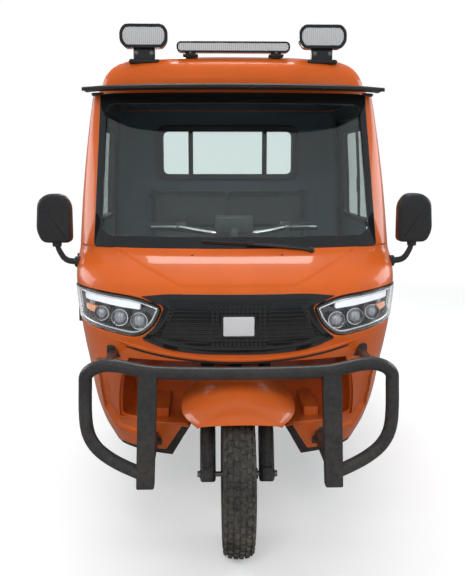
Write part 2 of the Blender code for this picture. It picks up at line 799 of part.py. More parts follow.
def add_rails(paints):
    """The two chassis rails, whose lower halves run on to the inside of the nose."""
    half = RAIL_WIDTH / 2
    rails = []
    for side, sign in SIDES.items():
        rail = block(
            "chassis_frame" if sign > 0 else "rail_guide",
            (sign * RAIL_X - half, RAIL_FRONT, RAIL_LOW),
            (sign * RAIL_X + half, RAIL_REAR, RAIL_HIGH),
            paints["black_paint"],
        )
        horn = block(
            f"horn_{side}_guide",
            (sign * RAIL_X - half, -FAR, RAIL_LOW),
            (sign * RAIL_X + half, RAIL_FRONT + OVERRUN, RAIL_MIDDLE),
        )
        keep(horn, cab_solid(f"horn_end_{side}_guide", NOSE_WALL + GAP, CAB_BASE, COWL_Z))
        rails += [rail, horn]
    return join(rails[0], *rails[1:])


def cross_members():
    """The rails' cross members, each beside what it carries."""
    places = {
        "head": HEAD_CROSS_Y,
        "battery_front": BATTERY_FRONT - GAP - CROSS_DEPTH / 2,
        "battery_rear": BATTERY_REAR + GAP + CROSS_DEPTH / 2,
        "spring": SPRING_CROSS_Y,
        "hoist": HOIST_CROSS_Y,
        "tail": RAIL_REAR - CROSS_DEPTH / 2,
    }
    return [
        block(
            f"cross_{name}_guide",
            (-RAIL_X, y - CROSS_DEPTH / 2, RAIL_MIDDLE - CROSS_HEIGHT / 2),
            (RAIL_X, y + CROSS_DEPTH / 2, RAIL_MIDDLE + CROSS_HEIGHT / 2),
        )
        for name, y in places.items()
    ]


def steering_head():
    """The head tube and the spine that ties it to the rails."""
    head = rod("head_guide", steer_point(HEAD_LOW), steer_point(HEAD_HIGH), HEAD_RADIUS, 16)
    middle = (HEAD_LOW + HEAD_HIGH) / 2
    elbow = steer_point(middle - SPINE_DROP, -SPINE_BACK)
    knee = Vector((0, elbow.y + SPINE_DROP, RAIL_MIDDLE))
    back = Vector((0, HEAD_CROSS_Y, RAIL_MIDDLE))
    spine = tube("spine_guide", [steer_point(middle), elbow, knee, back], SPINE_RADIUS)
    return [spine, head]


def chassis_ears():
    """Bed hinge ears, spring hangers and hoist ears on both sides, with their pins."""
    ears = []
    half = RAIL_WIDTH / 2
    inner = BARREL_RADIUS + EAR_GAP
    for side, sign in SIDES.items():
        ears.append(
            block(
                f"bed_ear_{side}_guide",
                (sign * RAIL_X - EAR_THICKNESS / 2, BED_HINGE_Y - EAR_RADIUS, RAIL_MIDDLE),
                (sign * RAIL_X + EAR_THICKNESS / 2, BED_HINGE_Y + EAR_RADIUS, BED_HINGE_Z + EAR_RADIUS / 2),
            )
        )
        ears.append(
            prism(
                f"hoist_ear_{side}_guide",
                [
                    (HOIST_BASE_Y - EYE_RADIUS, HOIST_BASE_Z - EYE_RADIUS),
                    (HOIST_BASE_Y + EYE_RADIUS, HOIST_BASE_Z - EYE_RADIUS),
                    (HOIST_CROSS_Y + CROSS_DEPTH / 2, RAIL_MIDDLE),
                    (HOIST_CROSS_Y - CROSS_DEPTH / 2, RAIL_MIDDLE),
                ],
                "x",
                sign * inner,
                sign * (inner + EAR_THICKNESS),
            )
        )
        for end in (-1, 1):
            y = REAR_AXLE_Y + end * (SPRING_SPAN - SPRING_EYE_FLAT) / 2
            ears.append(
                block(
                    f"hanger_{side}_{end}_guide",
                    (sign * RAIL_X - half, y - half, RAIL_LOW - HANGER_DROP),
                    (sign * RAIL_X + half, y + half, RAIL_MIDDLE),
                )
            )
    bed_pin = hinge_pin("bed_pin_guide", BED_HINGE_Y, BED_HINGE_Z, RAIL_X)
    base_pin = hinge_pin("hoist_pin_guide", HOIST_BASE_Y, HOIST_BASE_Z, inner + OVERLAP)
    return [*ears, bed_pin, base_pin]


def add_chassis(paints):
    """The ladder frame with its steering head, ears and pins."""
    frame = add_rails(paints)
    join(frame, *cross_members(), *steering_head(), *chassis_ears())
    bore = rod(
        "head_bore_guide",
        steer_point(HEAD_LOW - OVERRUN),
        steer_point(HEAD_HIGH + OVERRUN),
        STEM_RADIUS + RUNNING,
        STEM_STEPS,
    )
    return cut(frame, bore)


def rim_profile(half, seat, hub_radius, bore):
    """Half of a rim's closed profile on each side of its web, from the flange to the bore."""
    flange = half * RIM_WIDTH_SHARE
    hub = half * HUB_WIDTH_SHARE
    web = WEB_THICKNESS / 2
    side = [
        (flange, seat),
        (web, seat - RIM_FLANGE),
        (web, hub_radius),
        (hub, hub_radius),
        (hub, bore),
    ]
    return side + [(-offset, radius) for offset, radius in reversed(side)]


def add_wheel(name, centre, radius, width, rim_radius, hub_radius, bore, hole_radius, paints):
    """One tyre and its pierced rim, both turned about the axle."""
    half = width / 2
    profile = [(half * across, rim_radius + (radius - rim_radius) * up) for across, up in TYRE_SHARES]
    tyre = wheel_ring(f"tyre_{name}", profile, centre, paints["tyre"])
    seat = rim_radius - GAP
    rim = wheel_ring(f"rim_{name}", rim_profile(half, seat, hub_radius, bore), centre, paints["rim"])
    pitch = (seat - RIM_FLANGE + hub_radius) / 2
    for index in range(RIM_HOLES):
        turn = math.tau * (index + 0.5) / RIM_HOLES
        y = centre[1] + pitch * math.cos(turn)
        z = centre[2] + pitch * math.sin(turn)
        hole = rod(
            f"rim_hole_{name}_{index}_guide",
            (centre[0] - half, y, z),
            (centre[0] + half, y, z),
            hole_radius,
            6,
        )
        cut(rim, hole)
    return smooth(tyre), smooth(rim)


def add_wheels(paints):
    """The steered wheel in front and the two driven wheels behind."""
    add_wheel(
        "front",
        (0, FRONT_AXLE_Y, FRONT_TYRE_RADIUS),
        FRONT_TYRE_RADIUS,
        FRONT_TYRE_WIDTH,
        FRONT_RIM_RADIUS,
        FRONT_HUB_RADIUS,
        AXLE_RADIUS + RUNNING,
        FRONT_HOLE_RADIUS,
        paints,
    )
    for side, sign in SIDES.items():
        add_wheel(
            f"rear_{side}",
            (sign * REAR_WHEEL_X, REAR_AXLE_Y, REAR_TYRE_RADIUS),
            REAR_TYRE_RADIUS,
            REAR_TYRE_WIDTH,
            REAR_RIM_RADIUS,
            REAR_HUB_RADIUS,
            STUB_RADIUS + RUNNING,
            REAR_HOLE_RADIUS,
            paints,
        )


def add_fork(paints):
    """Fork legs with their sliders, clamps, axle and the steering stem in one piece."""
    legs = []
    for side, sign in SIDES.items():
        foot = steer_point(-SLIDER_RADIUS, FORK_OFFSET, sign * LEG_X)
        name = "fork" if sign > 0 else "leg_guide"
        legs.append(rod(name, foot, steer_point(LEG_TOP, FORK_OFFSET, sign * LEG_X), LEG_RADIUS, 12, paints["black_paint"]))
        slider = rod(
            f"slider_{side}_guide",
            foot,
            steer_point(SLIDER_LENGTH, FORK_OFFSET, sign * LEG_X),
            SLIDER_RADIUS,
            12,
        )
        legs.append(slider)
    axle = cross_rod("axle_guide", FRONT_AXLE_Y, FRONT_TYRE_RADIUS, LEG_X + SLIDER_RADIUS + OVERLAP, AXLE_RADIUS)
    stem = rod("stem_guide", steer_point(CLAMP_LOW), steer_point(STEM_TOP), STEM_RADIUS, STEM_STEPS)
    clamps = [
        plate(
            f"clamp_{height:.2f}_guide",
            steer_point(height, FORK_OFFSET / 2, -LEG_X - LEG_RADIUS / 2),
            steer_point(height, FORK_OFFSET / 2, LEG_X + LEG_RADIUS / 2),
            CLAMP_DEPTH,
            CLAMP_THICKNESS,
        )
        for height in (CLAMP_LOW, CLAMP_HIGH)
    ]
    return smooth(join(legs[0], *legs[1:], axle, stem, *clamps))


def add_handlebar(paints):
    """The bar with its grips and display, clamped on the stem."""
    top = steer_point(STEM_TOP + BAR_RADIUS + OVERLAP * 2)
    half = [
        (BAR_HALF_WIDTH * across, top.y + GRIP_BACK * back, top.z + GRIP_RISE * up)
        for across, back, up in BAR_SHARES
    ]
    path = [(-x, y, z) for x, y, z in reversed(half)] + half
    handlebar = tube("handlebar", path, BAR_RADIUS, 8, paints["black_plastic"])
    end = Vector(half[-1])
    along = (end - Vector(half[-2])).normalized()
    for side, sign in SIDES.items():
        inner = end - along * GRIP_LENGTH
        outer = end + along * OVERLAP
        grip = tube(
            f"grip_{side}_guide",
            [(sign * inner.x, inner.y, inner.z), (sign * outer.x, outer.y, outer.z)],
            GRIP_RADIUS,
            8,
        )
        join(handlebar, grip)
    low = steer_point(STEM_TOP + GAP)
    clamp = rod("bar_clamp_guide", low, top * 2 - low, STEM_RADIUS + OVERLAP, 12)
    display = block(
        "display_guide",
        (-DISPLAY_WIDTH / 2, top.y - DISPLAY_DEPTH / 2, top.z),
        (DISPLAY_WIDTH / 2, top.y + DISPLAY_DEPTH / 2, top.z + DISPLAY_HEIGHT),
    )
    return smooth(join(handlebar, clamp, display))


def guard_shell(name, angles, widths, paint=None):
    """A crowned shell over the front tyre, at its own width at each angle."""
    rings = []
    for angle, width in zip(angles, widths):
        turn = math.radians(angle)
        ring = []
        for deep, shares in ((0, GUARD_ACROSS_SHARES), (GUARD_THICKNESS, GUARD_ACROSS_SHARES[::-1])):
            for share in shares:
                x = share * width
                reach = GUARD_RADIUS - GUARD_CROWN * (x / GUARD_HALF_WIDTH) ** 2 - deep
                y = FRONT_AXLE_Y + reach * math.cos(turn)
                ring.append((x, y, FRONT_TYRE_RADIUS + reach * math.sin(turn)))
        rings.append(ring)
    return loft(name, rings, paint)


def add_front_mudguard(paints):
    """A wide domed guard ahead of the fork legs, its narrow tail between them and its mounting post."""
    widths = [GUARD_HALF_WIDTH * share for share in GUARD_WIDTH_SHARES]
    guard = guard_shell("front_mudguard", GUARD_ANGLES, widths, paints["orange_paint"])
    tail_widths = [GUARD_TAIL_HALF_WIDTH] * len(GUARD_TAIL_ANGLES)
    tail = guard_shell("guard_tail_guide", GUARD_TAIL_ANGLES, tail_widths)
    post = rod(
        "guard_post_guide",
        steer_point(GUARD_RADIUS - GUARD_THICKNESS / 2),
        steer_point(CLAMP_LOW - CLAMP_THICKNESS / 2 - GAP),
        LEG_RADIUS,
        12,
    )
    return smooth(join(guard, tail, post))


def headlight_outline(side):
    """The swept wedge of a headlight, seen from the front."""
    outline = spread(
        HEADLIGHT_SHARES,
        (HEADLIGHT_INNER_X, HEADLIGHT_LOW),
        (HEADLIGHT_OUTER_X, HEADLIGHT_HIGH),
    )
    return outline if SIDES[side] > 0 else mirrored(outline)


def arch_outline():
    """The wheel arch seen from the front: splayed legs under a square top."""
    half = [
        (ARCH_LOW_HALF_WIDTH, CAB_BASE - OVERRUN),
        (ARCH_LOW_HALF_WIDTH, CAB_BASE),
        (ARCH_HIGH_HALF_WIDTH, ARCH_KNEE_Z),
        (ARCH_HIGH_HALF_WIDTH, ARCH_TOP_Z),
    ]
    return half + mirrored(half)


def pocket(side):
    """A shallow pressed pocket in the skin of the nose, beside the arch."""
    low = (POCKET_INNER_X, CAB_BASE + POCKET_RISE)
    outline = spread(POCKET_SHARES, low, (low[0] + POCKET_WIDTH, low[1] + POCKET_HEIGHT))
    outline = outline if SIDES[side] > 0 else mirrored(outline)
    room = prism(f"pocket_{side}_guide", outline, "y", -FAR, SPLIT_Y)
    return cut(room, cab_solid(f"pocket_floor_{side}_guide", POCKET_DEPTH, CAB_BASE, COWL_Z))


def add_nose(paints):
    """The orange front of the cab, with its two lower legs and the open wheel arch."""
    nose = cab_solid("cab_nose", 0, CAB_BASE, COWL_Z - GAP, paint=paints["orange_paint"])
    keep(nose, block("nose_front_guide", (-FAR, -FAR, 0), (FAR, SPLIT_Y - GAP, FAR)))
    cut(nose, cab_solid("nose_inside_guide", NOSE_WALL, CAB_BASE - OVERRUN, COWL_Z + OVERRUN))
    arch = prism("arch_guide", arch_outline(), "y", -FAR, SPLIT_Y + OVERRUN)
    sweep = rod("sweep_guide", steer_point(0), steer_point(CLAMP_LOW + OVERRUN * 2), SWEEP_RADIUS, 32)
    keep(sweep, block("sweep_room_guide", (-FAR, -FAR, SWEEP_LOW), (FAR, 0, ARCH_TOP_Z)))
    cut(nose, arch, sweep)
    for side in SIDES:
        outline = headlight_outline(side)
        cut(nose, prism(f"lamp_hole_{side}_guide", outline, "y", -FAR, CAB_FRONT + HEADLIGHT_DEPTH))
        cut(nose, pocket(side))
    return smooth(nose)


def add_headlights(paints):
    """A headlight on each side, filling its hole in the nose."""
    low, high = HEADLIGHT_LOW - OVERRUN, HEADLIGHT_HIGH + OVERRUN
    for side in SIDES:
        lamp = cab_solid(f"headlight_{side}", -SCREEN_INSET, low, high, paint=paints["lamp"])
        outline = grown(headlight_outline(side), -GAP)
        rear = CAB_FRONT + HEADLIGHT_DEPTH - GAP
        keep(lamp, prism(f"lamp_room_{side}_guide", outline, "y", -FAR, rear))
        cut(lamp, cab_solid(f"lamp_inside_{side}_guide", WALL, low - OVERRUN, high + OVERRUN))
        smooth(lamp)


def add_grille(paints):
    """The black band between the headlights, standing just proud of the nose."""
    half = spread(GRILLE_SHARES, (0, GRILLE_LOW), (GRILLE_HALF_WIDTH, GRILLE_HIGH))
    low, high = GRILLE_LOW - OVERRUN, GRILLE_HIGH + OVERRUN
    grille = cab_solid("grille", -GRILLE_PROUD, low, high, paint=paints["black_plastic"])
    keep(grille, prism("grille_room_guide", half + mirrored(half), "y", -FAR, SPLIT_Y))
    cut(grille, cab_solid("grille_back_guide", -GAP, low - OVERRUN, high + OVERRUN))
    return smooth(grille)


def side_room(side, outline, name):
    """An outline in the side view, carried across one side of the cab."""
    return prism(name, outline, "x", *sorted((0, SIDES[side] * FAR)))


def door_outline(grow=0.0):
    """A door in the side view, with its front edge along the windscreen pillar."""
    corners = [
        (DOOR_FRONT, DOOR_LOW),
        (DOOR_REAR, DOOR_LOW),
        (DOOR_REAR, DOOR_HIGH),
        (DOOR_TOP_FRONT, DOOR_HIGH),
        (DOOR_FRONT, DOOR_BELT),
    ]
    return grown(corners, grow)


def window_outline(grow=0.0):
    """The window of a door in the side view."""
    slope = DOOR_SLOPE / (DOOR_HIGH - DOOR_BELT)
    high = DOOR_HIGH - DOOR_FRAME
    rear = DOOR_REAR - DOOR_FRAME
    low_front = DOOR_FRONT + slope * (DOOR_WINDOW_LOW - DOOR_BELT) + DOOR_FRAME
    high_front = DOOR_FRONT + slope * (high - DOOR_BELT) + DOOR_FRAME
    corners = [(low_front, DOOR_WINDOW_LOW), (rear, DOOR_WINDOW_LOW), (rear, high), (high_front, high)]
    return grown(corners, grow)


def hinge_levels():
    """The heights at which a door's hinges part."""
    return [DOOR_LOW + (DOOR_BELT - DOOR_LOW) * share for share in DOOR_HINGE_SHARES]


def hinge_half(side, index, low, high, near, far):
    """One knuckle on the door's hinge line with its leaf into the panel beside it."""
    sign = SIDES[side]
    knuckle = rod(
        f"hinge_knuckle_{side}_{index}_guide",
        (sign * DOOR_HINGE_X, DOOR_FRONT, low),
        (sign * DOOR_HINGE_X, DOOR_FRONT, high),
        DOOR_KNUCKLE_RADIUS,
        10,
    )
    leaf = block(
        f"hinge_leaf_{side}_{index}_guide",
        (sign * (DOOR_HINGE_X - LEAF_REACH), DOOR_FRONT + near, low),
        (sign * DOOR_HINGE_X, DOOR_FRONT + far, high),
    )
    return join(knuckle, leaf)


def add_cab_sides(paints):
    """Pillars, sill and rear quarter of each side in one panel."""
    rear = CAB_REAR - WALL - GAP
    region = [
        (SPLIT_Y, SIDE_LOW),
        (rear, SIDE_LOW),
        (rear, ROOF_Z - GAP),
        (-FAR, ROOF_Z - GAP),
        (-FAR, COWL_Z),
        (SPLIT_Y, COWL_Z),
    ]
    for side in SIDES:
        panel = cab_solid(f"cab_side_{side}", 0, SIDE_LOW, ROOF_Z + OVERRUN, paint=paints["orange_paint"])
        keep(panel, side_room(side, region, f"side_room_{side}_guide"))
        screen = block(
            f"screen_hole_{side}_guide",
            (-SCREEN_X, -FAR, COWL_Z - OVERRUN),
            (SCREEN_X, CAB_FRONT + SCREEN_REAR, ROOF_Z + OVERRUN * 2),
        )
        cut(
            panel,
            cab_solid(f"side_inside_{side}_guide", WALL, SIDE_LOW - OVERRUN, ROOF_Z + OVERRUN * 2),
            screen,
            side_room(side, door_outline(PANEL_GAP), f"door_hole_{side}_guide"),
        )
        for index, level in enumerate(hinge_levels()):
            low = level - DOOR_KNUCKLE_HEIGHT
            join(panel, hinge_half(side, f"low_{index}", low, level, -OVERLAP, -PANEL_LEAF))
        smooth(panel)


def add_doors(paints):
    """Front-hinged doors and their fixed glass."""
    for side in SIDES:
        door = cab_solid(f"door_{side}", 0, SIDE_LOW, ROOF_Z + OVERRUN, paint=paints["orange_paint"])
        keep(door, side_room(side, door_outline(), f"door_room_{side}_guide"))
        cut(
            door,
            cab_solid(f"door_inside_{side}_guide", WALL, SIDE_LOW - OVERRUN, ROOF_Z + OVERRUN * 2),
            side_room(side, window_outline(), f"window_hole_{side}_guide"),
        )
        for index, level in enumerate(hinge_levels()):
            high = level + DOOR_KNUCKLE_HEIGHT
            join(door, hinge_half(side, f"high_{index}", level + GAP, high, OVERLAP, DOOR_LEAF))
        smooth(door)
        glass = cab_solid(f"door_glass_{side}", GLASS_INSET, SIDE_LOW, ROOF_Z, paint=paints["glass"])
        keep(glass, side_room(side, window_outline(-GAP), f"glass_room_{side}_guide"))
        inside = cab_solid(
            f"glass_inside_{side}_guide",
            GLASS_INSET + GLASS_THICKNESS,
            SIDE_LOW - OVERRUN,
            ROOF_Z + OVERRUN,
        )
        smooth(cut(glass, inside))


def add_windscreen(paints):
    """The curved windscreen between the pillars."""
    screen = cab_solid("windshield", SCREEN_INSET, COWL_Z, ROOF_Z - GAP, paint=paints["glass"])
    rear = CAB_FRONT + SCREEN_REAR
    keep(screen, block("screen_room_guide", (-SCREEN_X + GAP, -FAR, 0), (SCREEN_X - GAP, rear, FAR)))
    inset = SCREEN_INSET + SCREEN_THICKNESS
    cut(screen, cab_solid("screen_inside_guide", inset, COWL_Z - OVERRUN, ROOF_Z + OVERRUN))
    return smooth(screen)


def add_roof(paints):
    """The roof pan with its rounded shoulders."""
    roof = cab_solid("cab_roof", 0, ROOF_Z, CAB_TOP, paint=paints["orange_paint"])
    cut(roof, cab_solid("roof_inside_guide", WALL, ROOF_Z - OVERRUN, CAB_TOP - WALL, WALL))
    return smooth(roof)


def add_rear_wall(paints):
    """The cab's rear wall and its window."""
    wall = cab_solid("cab_rear_wall", 0, FLOOR_LOW, ROOF_Z - GAP, paint=paints["orange_paint"])
    keep(wall, block("rear_room_guide", (-FAR, CAB_REAR - WALL, 0), (FAR, FAR, FAR)))
    high = REAR_WINDOW_LOW + REAR_WINDOW_HEIGHT
    hole = block(
        "rear_hole_guide",
        (-REAR_WINDOW_HALF_WIDTH, CAB_REAR - WALL - OVERRUN, REAR_WINDOW_LOW),
        (REAR_WINDOW_HALF_WIDTH, CAB_REAR + OVERRUN, high),
    )
    cut(wall, hole)
    middle = CAB_REAR - WALL / 2
    block(
        "rear_window",
        (-REAR_WINDOW_HALF_WIDTH + GAP, middle - GLASS_THICKNESS / 2, REAR_WINDOW_LOW + GAP),
        (REAR_WINDOW_HALF_WIDTH - GAP, middle + GLASS_THICKNESS / 2, high - GAP),
        paints["glass"],
    )
    return smooth(wall)


def add_visor(paints):
    """A thin black visor over the windscreen, wider than the cab, with drooping tips."""
    screen_top = cab_ring(ROOF_Z, 0)[0][1]
    rear = SPLIT_Y + VISOR_BEHIND_NOSE
    rings = []
    half = [(across, back) for across, back in VISOR_SHARES]
    for across, back in [(-a, b) for a, b in reversed(half[1:])] + half:
        x = VISOR_HALF_WIDTH * across
        front = screen_top - VISOR_REACH * (1 - back)
        low = ROOF_Z + GAP + VISOR_DROOP * (1 - across**2)
        high = low + VISOR_THICKNESS
        rings.append([(x, front, low), (x, rear, low), (x, rear, high), (x, front, high)])
    visor = loft("visor", rings, paints["black_plastic"])
    return cut(visor, cab_solid("visor_back_guide", -GAP, ROOF_Z - OVERRUN, ROOF_Z + OVERRUN * 2))


def add_roof_lamps(paints):
    """Two work lamps on posts and a light bar between them."""
    for side, sign in SIDES.items():
        x = sign * LAMP_X
        outline = spread(
            LAMP_SHARES,
            (x - LAMP_WIDTH / 2, LAMP_LOW),
            (x + LAMP_WIDTH / 2, LAMP_LOW + LAMP_HEIGHT),
        )
        front, rear = LAMP_Y - LAMP_DEPTH / 2, LAMP_Y + LAMP_DEPTH / 2
        lamp = prism(f"spot_lamp_{side}", outline, "y", front, rear, paints["black_plastic"])
        post = block(
            f"post_{side}_guide",
            (x - POST_WIDTH / 2, LAMP_Y - POST_DEPTH / 2, CAB_TOP - OVERRUN * 2),
            (x + POST_WIDTH / 2, LAMP_Y + POST_DEPTH / 2, LAMP_LOW + OVERLAP),
        )
        join(lamp, post)
        cut(lamp, cab_solid(f"post_foot_{side}_guide", -GAP, ROOF_Z, CAB_TOP + GAP))
    light = block(
        "light_bar",
        (-LIGHT_BAR_HALF_WIDTH, LAMP_Y - LIGHT_BAR_DEPTH / 2, LIGHT_BAR_LOW),
        (LIGHT_BAR_HALF_WIDTH, LAMP_Y + LIGHT_BAR_DEPTH / 2, LIGHT_BAR_LOW + LIGHT_BAR_HEIGHT),
        paints["black_plastic"],
    )
    for side, sign in SIDES.items():
        x = sign * LIGHT_BAR_FOOT_X
        foot = block(
            f"bar_foot_{side}_guide",
            (x - LIGHT_BAR_FOOT / 2, LAMP_Y - LIGHT_BAR_FOOT / 2, CAB_TOP - OVERRUN * 2),
            (x + LIGHT_BAR_FOOT / 2, LAMP_Y + LIGHT_BAR_FOOT / 2, LIGHT_BAR_LOW + OVERLAP),
        )
        join(light, foot)
    return cut(light, cab_solid("bar_foot_cut_guide", -GAP, ROOF_Z, CAB_TOP + GAP))


def add_bull_bar(paints):
    """The black bar around the nose: one bent loop, two upright plates and its arms to the cab."""
    front = BULL_BAR_Y - LENGTH / 2
    height = BULL_BAR_HIGH - BULL_BAR_LOW
    half = [
        (BULL_BAR_HALF_WIDTH * across, front + BULL_BAR_SWEEP * back, BULL_BAR_LOW + height * up)
        for across, up, back in BULL_BAR_SHARES
    ]
    middle = (0.0, front, BULL_BAR_LOW + height * BULL_BAR_DIP_SHARE)
    path = [(-x, y, z) for x, y, z in reversed(half)] + [middle] + half
    loop = tube("bull_bar", path, BULL_BAR_RADIUS, 10, paints["black_paint"])
    for side, sign in SIDES.items():
        x = sign * BAR_POST_X
        post = block(
            f"bar_post_{side}_guide",
            (x - BAR_POST_WIDTH / 2, front - BAR_POST_DEPTH / 2, BAR_POST_LOW),
            (x + BAR_POST_WIDTH / 2, front + BAR_POST_DEPTH / 2, BULL_BAR_HIGH - OVERLAP),
        )
        low_arm = block(
            f"bar_arm_{side}_guide",
            (x - BAR_ARM_WIDTH / 2, front, BAR_ARM_Z - BAR_ARM_HEIGHT / 2),
            (x + BAR_ARM_WIDTH / 2, RAIL_FRONT, BAR_ARM_Z + BAR_ARM_HEIGHT / 2),
        )
        x = sign * BAR_TOP_ARM_X
        top_arm = block(
            f"bar_top_arm_{side}_guide",
            (x - BAR_ARM_WIDTH / 2, front, BULL_BAR_HIGH - BAR_ARM_HEIGHT / 4),
            (x + BAR_ARM_WIDTH / 2, RAIL_FRONT, BULL_BAR_HIGH + BAR_ARM_HEIGHT / 4),
        )
        join(loop, post, low_arm, top_arm)
    cut(loop, cab_solid("bar_back_guide", -GAP, CAB_BASE - OVERRUN, COWL_Z))
    return smooth(loop)


def add_wiper(paints):
    """The parked wiper arm along the foot of the windscreen."""
    cowl = cab_ring(COWL_Z, 0)[1][1]
    front = cowl - WIPER_STANDOFF
    end = WIPER_X - WIPER_LENGTH
    path = [
        (WIPER_X, cowl + OVERRUN * 2, COWL_Z - OVERRUN),
        (WIPER_X, front, COWL_Z + WIPER_RADIUS),
        (WIPER_X - OVERRUN, front, COWL_Z + WIPER_RISE),
        (end, front, COWL_Z + WIPER_RISE * 2),
    ]
    wiper = tube("wiper", path, WIPER_RADIUS, 8, paints["black_plastic"])
    return cut(wiper, cab_solid("wiper_foot_guide", -GAP, COWL_Z - OVERRUN * 3, ROOF_Z))


def add_mirrors(paints):
    """Mirrors on arms from the nose, ahead of the door hinges."""
    for side, sign in SIDES.items():
        outline = spread(
            MIRROR_SHARES,
            (MIRROR_INNER_X, MIRROR_LOW),
            (MIRROR_INNER_X + MIRROR_WIDTH, MIRROR_LOW + MIRROR_HEIGHT),
        )
        outline = outline if sign > 0 else mirrored(outline)
        front, rear = MIRROR_Y - MIRROR_DEPTH / 2, MIRROR_Y + MIRROR_DEPTH / 2
        shell = prism(f"mirror_{side}", outline, "y", front, rear, paints["black_plastic"])
        middle = MIRROR_INNER_X + MIRROR_WIDTH / 2
        arm = tube(
            f"mirror_arm_{side}_guide",
            [
                (sign * (CAB_HALF_WIDTH - OVERRUN * 3), MIRROR_Y, MIRROR_ARM_Z),
                (sign * (middle - OVERRUN), MIRROR_Y, MIRROR_ARM_Z + MIRROR_ARM_RADIUS),
                (sign * middle, MIRROR_Y, MIRROR_LOW + OVERRUN),
            ],
            MIRROR_ARM_RADIUS,
            8,
        )
        join(shell, arm)
        cut(shell, cab_solid(f"mirror_foot_{side}_guide", -GAP, MIRROR_ARM_Z - OVERRUN * 3, ROOF_Z))


def add_cab_floor(paints):
    """The floor pan with its bulkhead and the box that the seat stands on."""
    inset = WALL + GAP
    floor = cab_solid("cab_floor", inset, FLOOR_LOW, FLOOR_LOW + FLOOR_THICKNESS, paint=paints["trim"])
    keep(floor, block("floor_room_guide", (-FAR, FLOOR_FRONT, 0), (FAR, CAB_REAR - inset, FAR)))
    bulkhead = block(
        "bulkhead_guide",
        (-BULKHEAD_HALF_WIDTH, FLOOR_FRONT - BULKHEAD_THICKNESS, FLOOR_LOW + GAP),
        (BULKHEAD_HALF_WIDTH, FLOOR_FRONT + OVERLAP, BULKHEAD_TOP),
    )
    seat_box = block(
        "seat_box_guide",
        (-SEAT_BOX_HALF_WIDTH, SEAT_BOX_FRONT, FLOOR_LOW + OVERLAP),
        (SEAT_BOX_HALF_WIDTH, SEAT_BOX_REAR, SEAT_BOX_TOP),
    )
    half = SEAT_BOX_HALF_WIDTH - SEAT_BOX_WALL
    hollow = block(
        "seat_box_inside_guide",
        (-half, SEAT_BOX_FRONT + SEAT_BOX_WALL, FLOOR_LOW - OVERRUN),
        (half, SEAT_BOX_REAR - SEAT_BOX_WALL, SEAT_BOX_TOP - SEAT_BOX_WALL),
    )
    join(floor, bulkhead, seat_box)
    return cut(floor, hollow)


def add_seat(paints):
    """The seat cushion and its backrest."""
    front = SEAT_BOX_FRONT - SEAT_OVERHANG
    block(
        "seat_cushion",
        (-SEAT_BOX_HALF_WIDTH, front, SEAT_BOX_TOP + GAP),
        (SEAT_BOX_HALF_WIDTH, front + CUSHION_DEPTH, SEAT_BOX_TOP + CUSHION_HEIGHT),
        paints["seat"],
    )
    base = SEAT_BOX_TOP + CUSHION_HEIGHT + GAP
    top = base + BACK_HEIGHT
    rear = SEAT_BOX_REAR - GAP
    outline = [
        (rear - BACK_LEAN - BACK_THICKNESS, base),
        (rear - BACK_LEAN, base),
        (rear, top),
        (rear - BACK_TOP_THICKNESS, top),
    ]
    prism("seat_back", outline, "x", -SEAT_BOX_HALF_WIDTH, SEAT_BOX_HALF_WIDTH, paints["seat"])


def add_dash(paints):
    """The shelf under the windscreen."""
    dash = cab_solid("dash", WALL + GAP, DASH_LOW, DASH_LOW + DASH_HEIGHT, paint=paints["trim"])
    up = (DASH_LOW - steer_point(0).z) / math.cos(RAKE)
    rear = steer_point(up).y - STEM_RADIUS - DASH_CLEARANCE
    return keep(dash, block("dash_room_guide", (-FAR, -FAR, 0), (FAR, rear, FAR)))


def add_battery(paints):
    """The battery case between the rails, as one heavy block."""
    return block(
        "battery_box",
        (-BATTERY_HALF_WIDTH, BATTERY_FRONT, BATTERY_LOW),
        (BATTERY_HALF_WIDTH, BATTERY_REAR, BATTERY_LOW + BATTERY_HEIGHT),
        paints["black_plastic"],
    )


def spring_outline():
    """A leaf spring in the side view, its flat ends under the rails' hangers."""
    half = [(SPRING_SPAN / 2 * along, SPRING_HIGH - SPRING_CAMBER * down) for along, down in SPRING_SHARES]
    top = [(-y, z) for y, z in half[:-1]] + half[::-1]
    low = [(y, z - SPRING_THICKNESS) for y, z in reversed(top)]
    return [(REAR_AXLE_Y + y, z) for y, z in top + low]


def add_rear_axle(paints):
    """Axle tube, final drive, motor and the leaf springs that carry them."""
    z = REAR_TYRE_RADIUS
    inner = REAR_WHEEL_X - REAR_TYRE_WIDTH / 2 - BACKPLATE_GAP
    axle = cross_rod("rear_axle", REAR_AXLE_Y, z, inner, AXLE_TUBE_RADIUS, 16, paints["black_paint"])
    stub = cross_rod("stub_guide", REAR_AXLE_Y, z, REAR_WHEEL_X + REAR_TYRE_WIDTH / 2, STUB_RADIUS)
    drive = cross_rod("drive_guide", REAR_AXLE_Y, z, DRIVE_HALF_WIDTH, DRIVE_RADIUS, 16)
    motor = rod(
        "motor_guide",
        (DRIVE_HALF_WIDTH - OVERRUN, REAR_AXLE_Y - MOTOR_FORWARD, z),
        (DRIVE_HALF_WIDTH + MOTOR_LENGTH, REAR_AXLE_Y - MOTOR_FORWARD, z),
        MOTOR_RADIUS,
        16,
    )
    join(axle, stub, drive, motor)
    for side, sign in SIDES.items():
        middle = sign * RAIL_X
        low, high = middle - SPRING_WIDTH / 2, middle + SPRING_WIDTH / 2
        join(axle, prism(f"spring_{side}_guide", spring_outline(), "x", low, high))
    return smooth(axle)


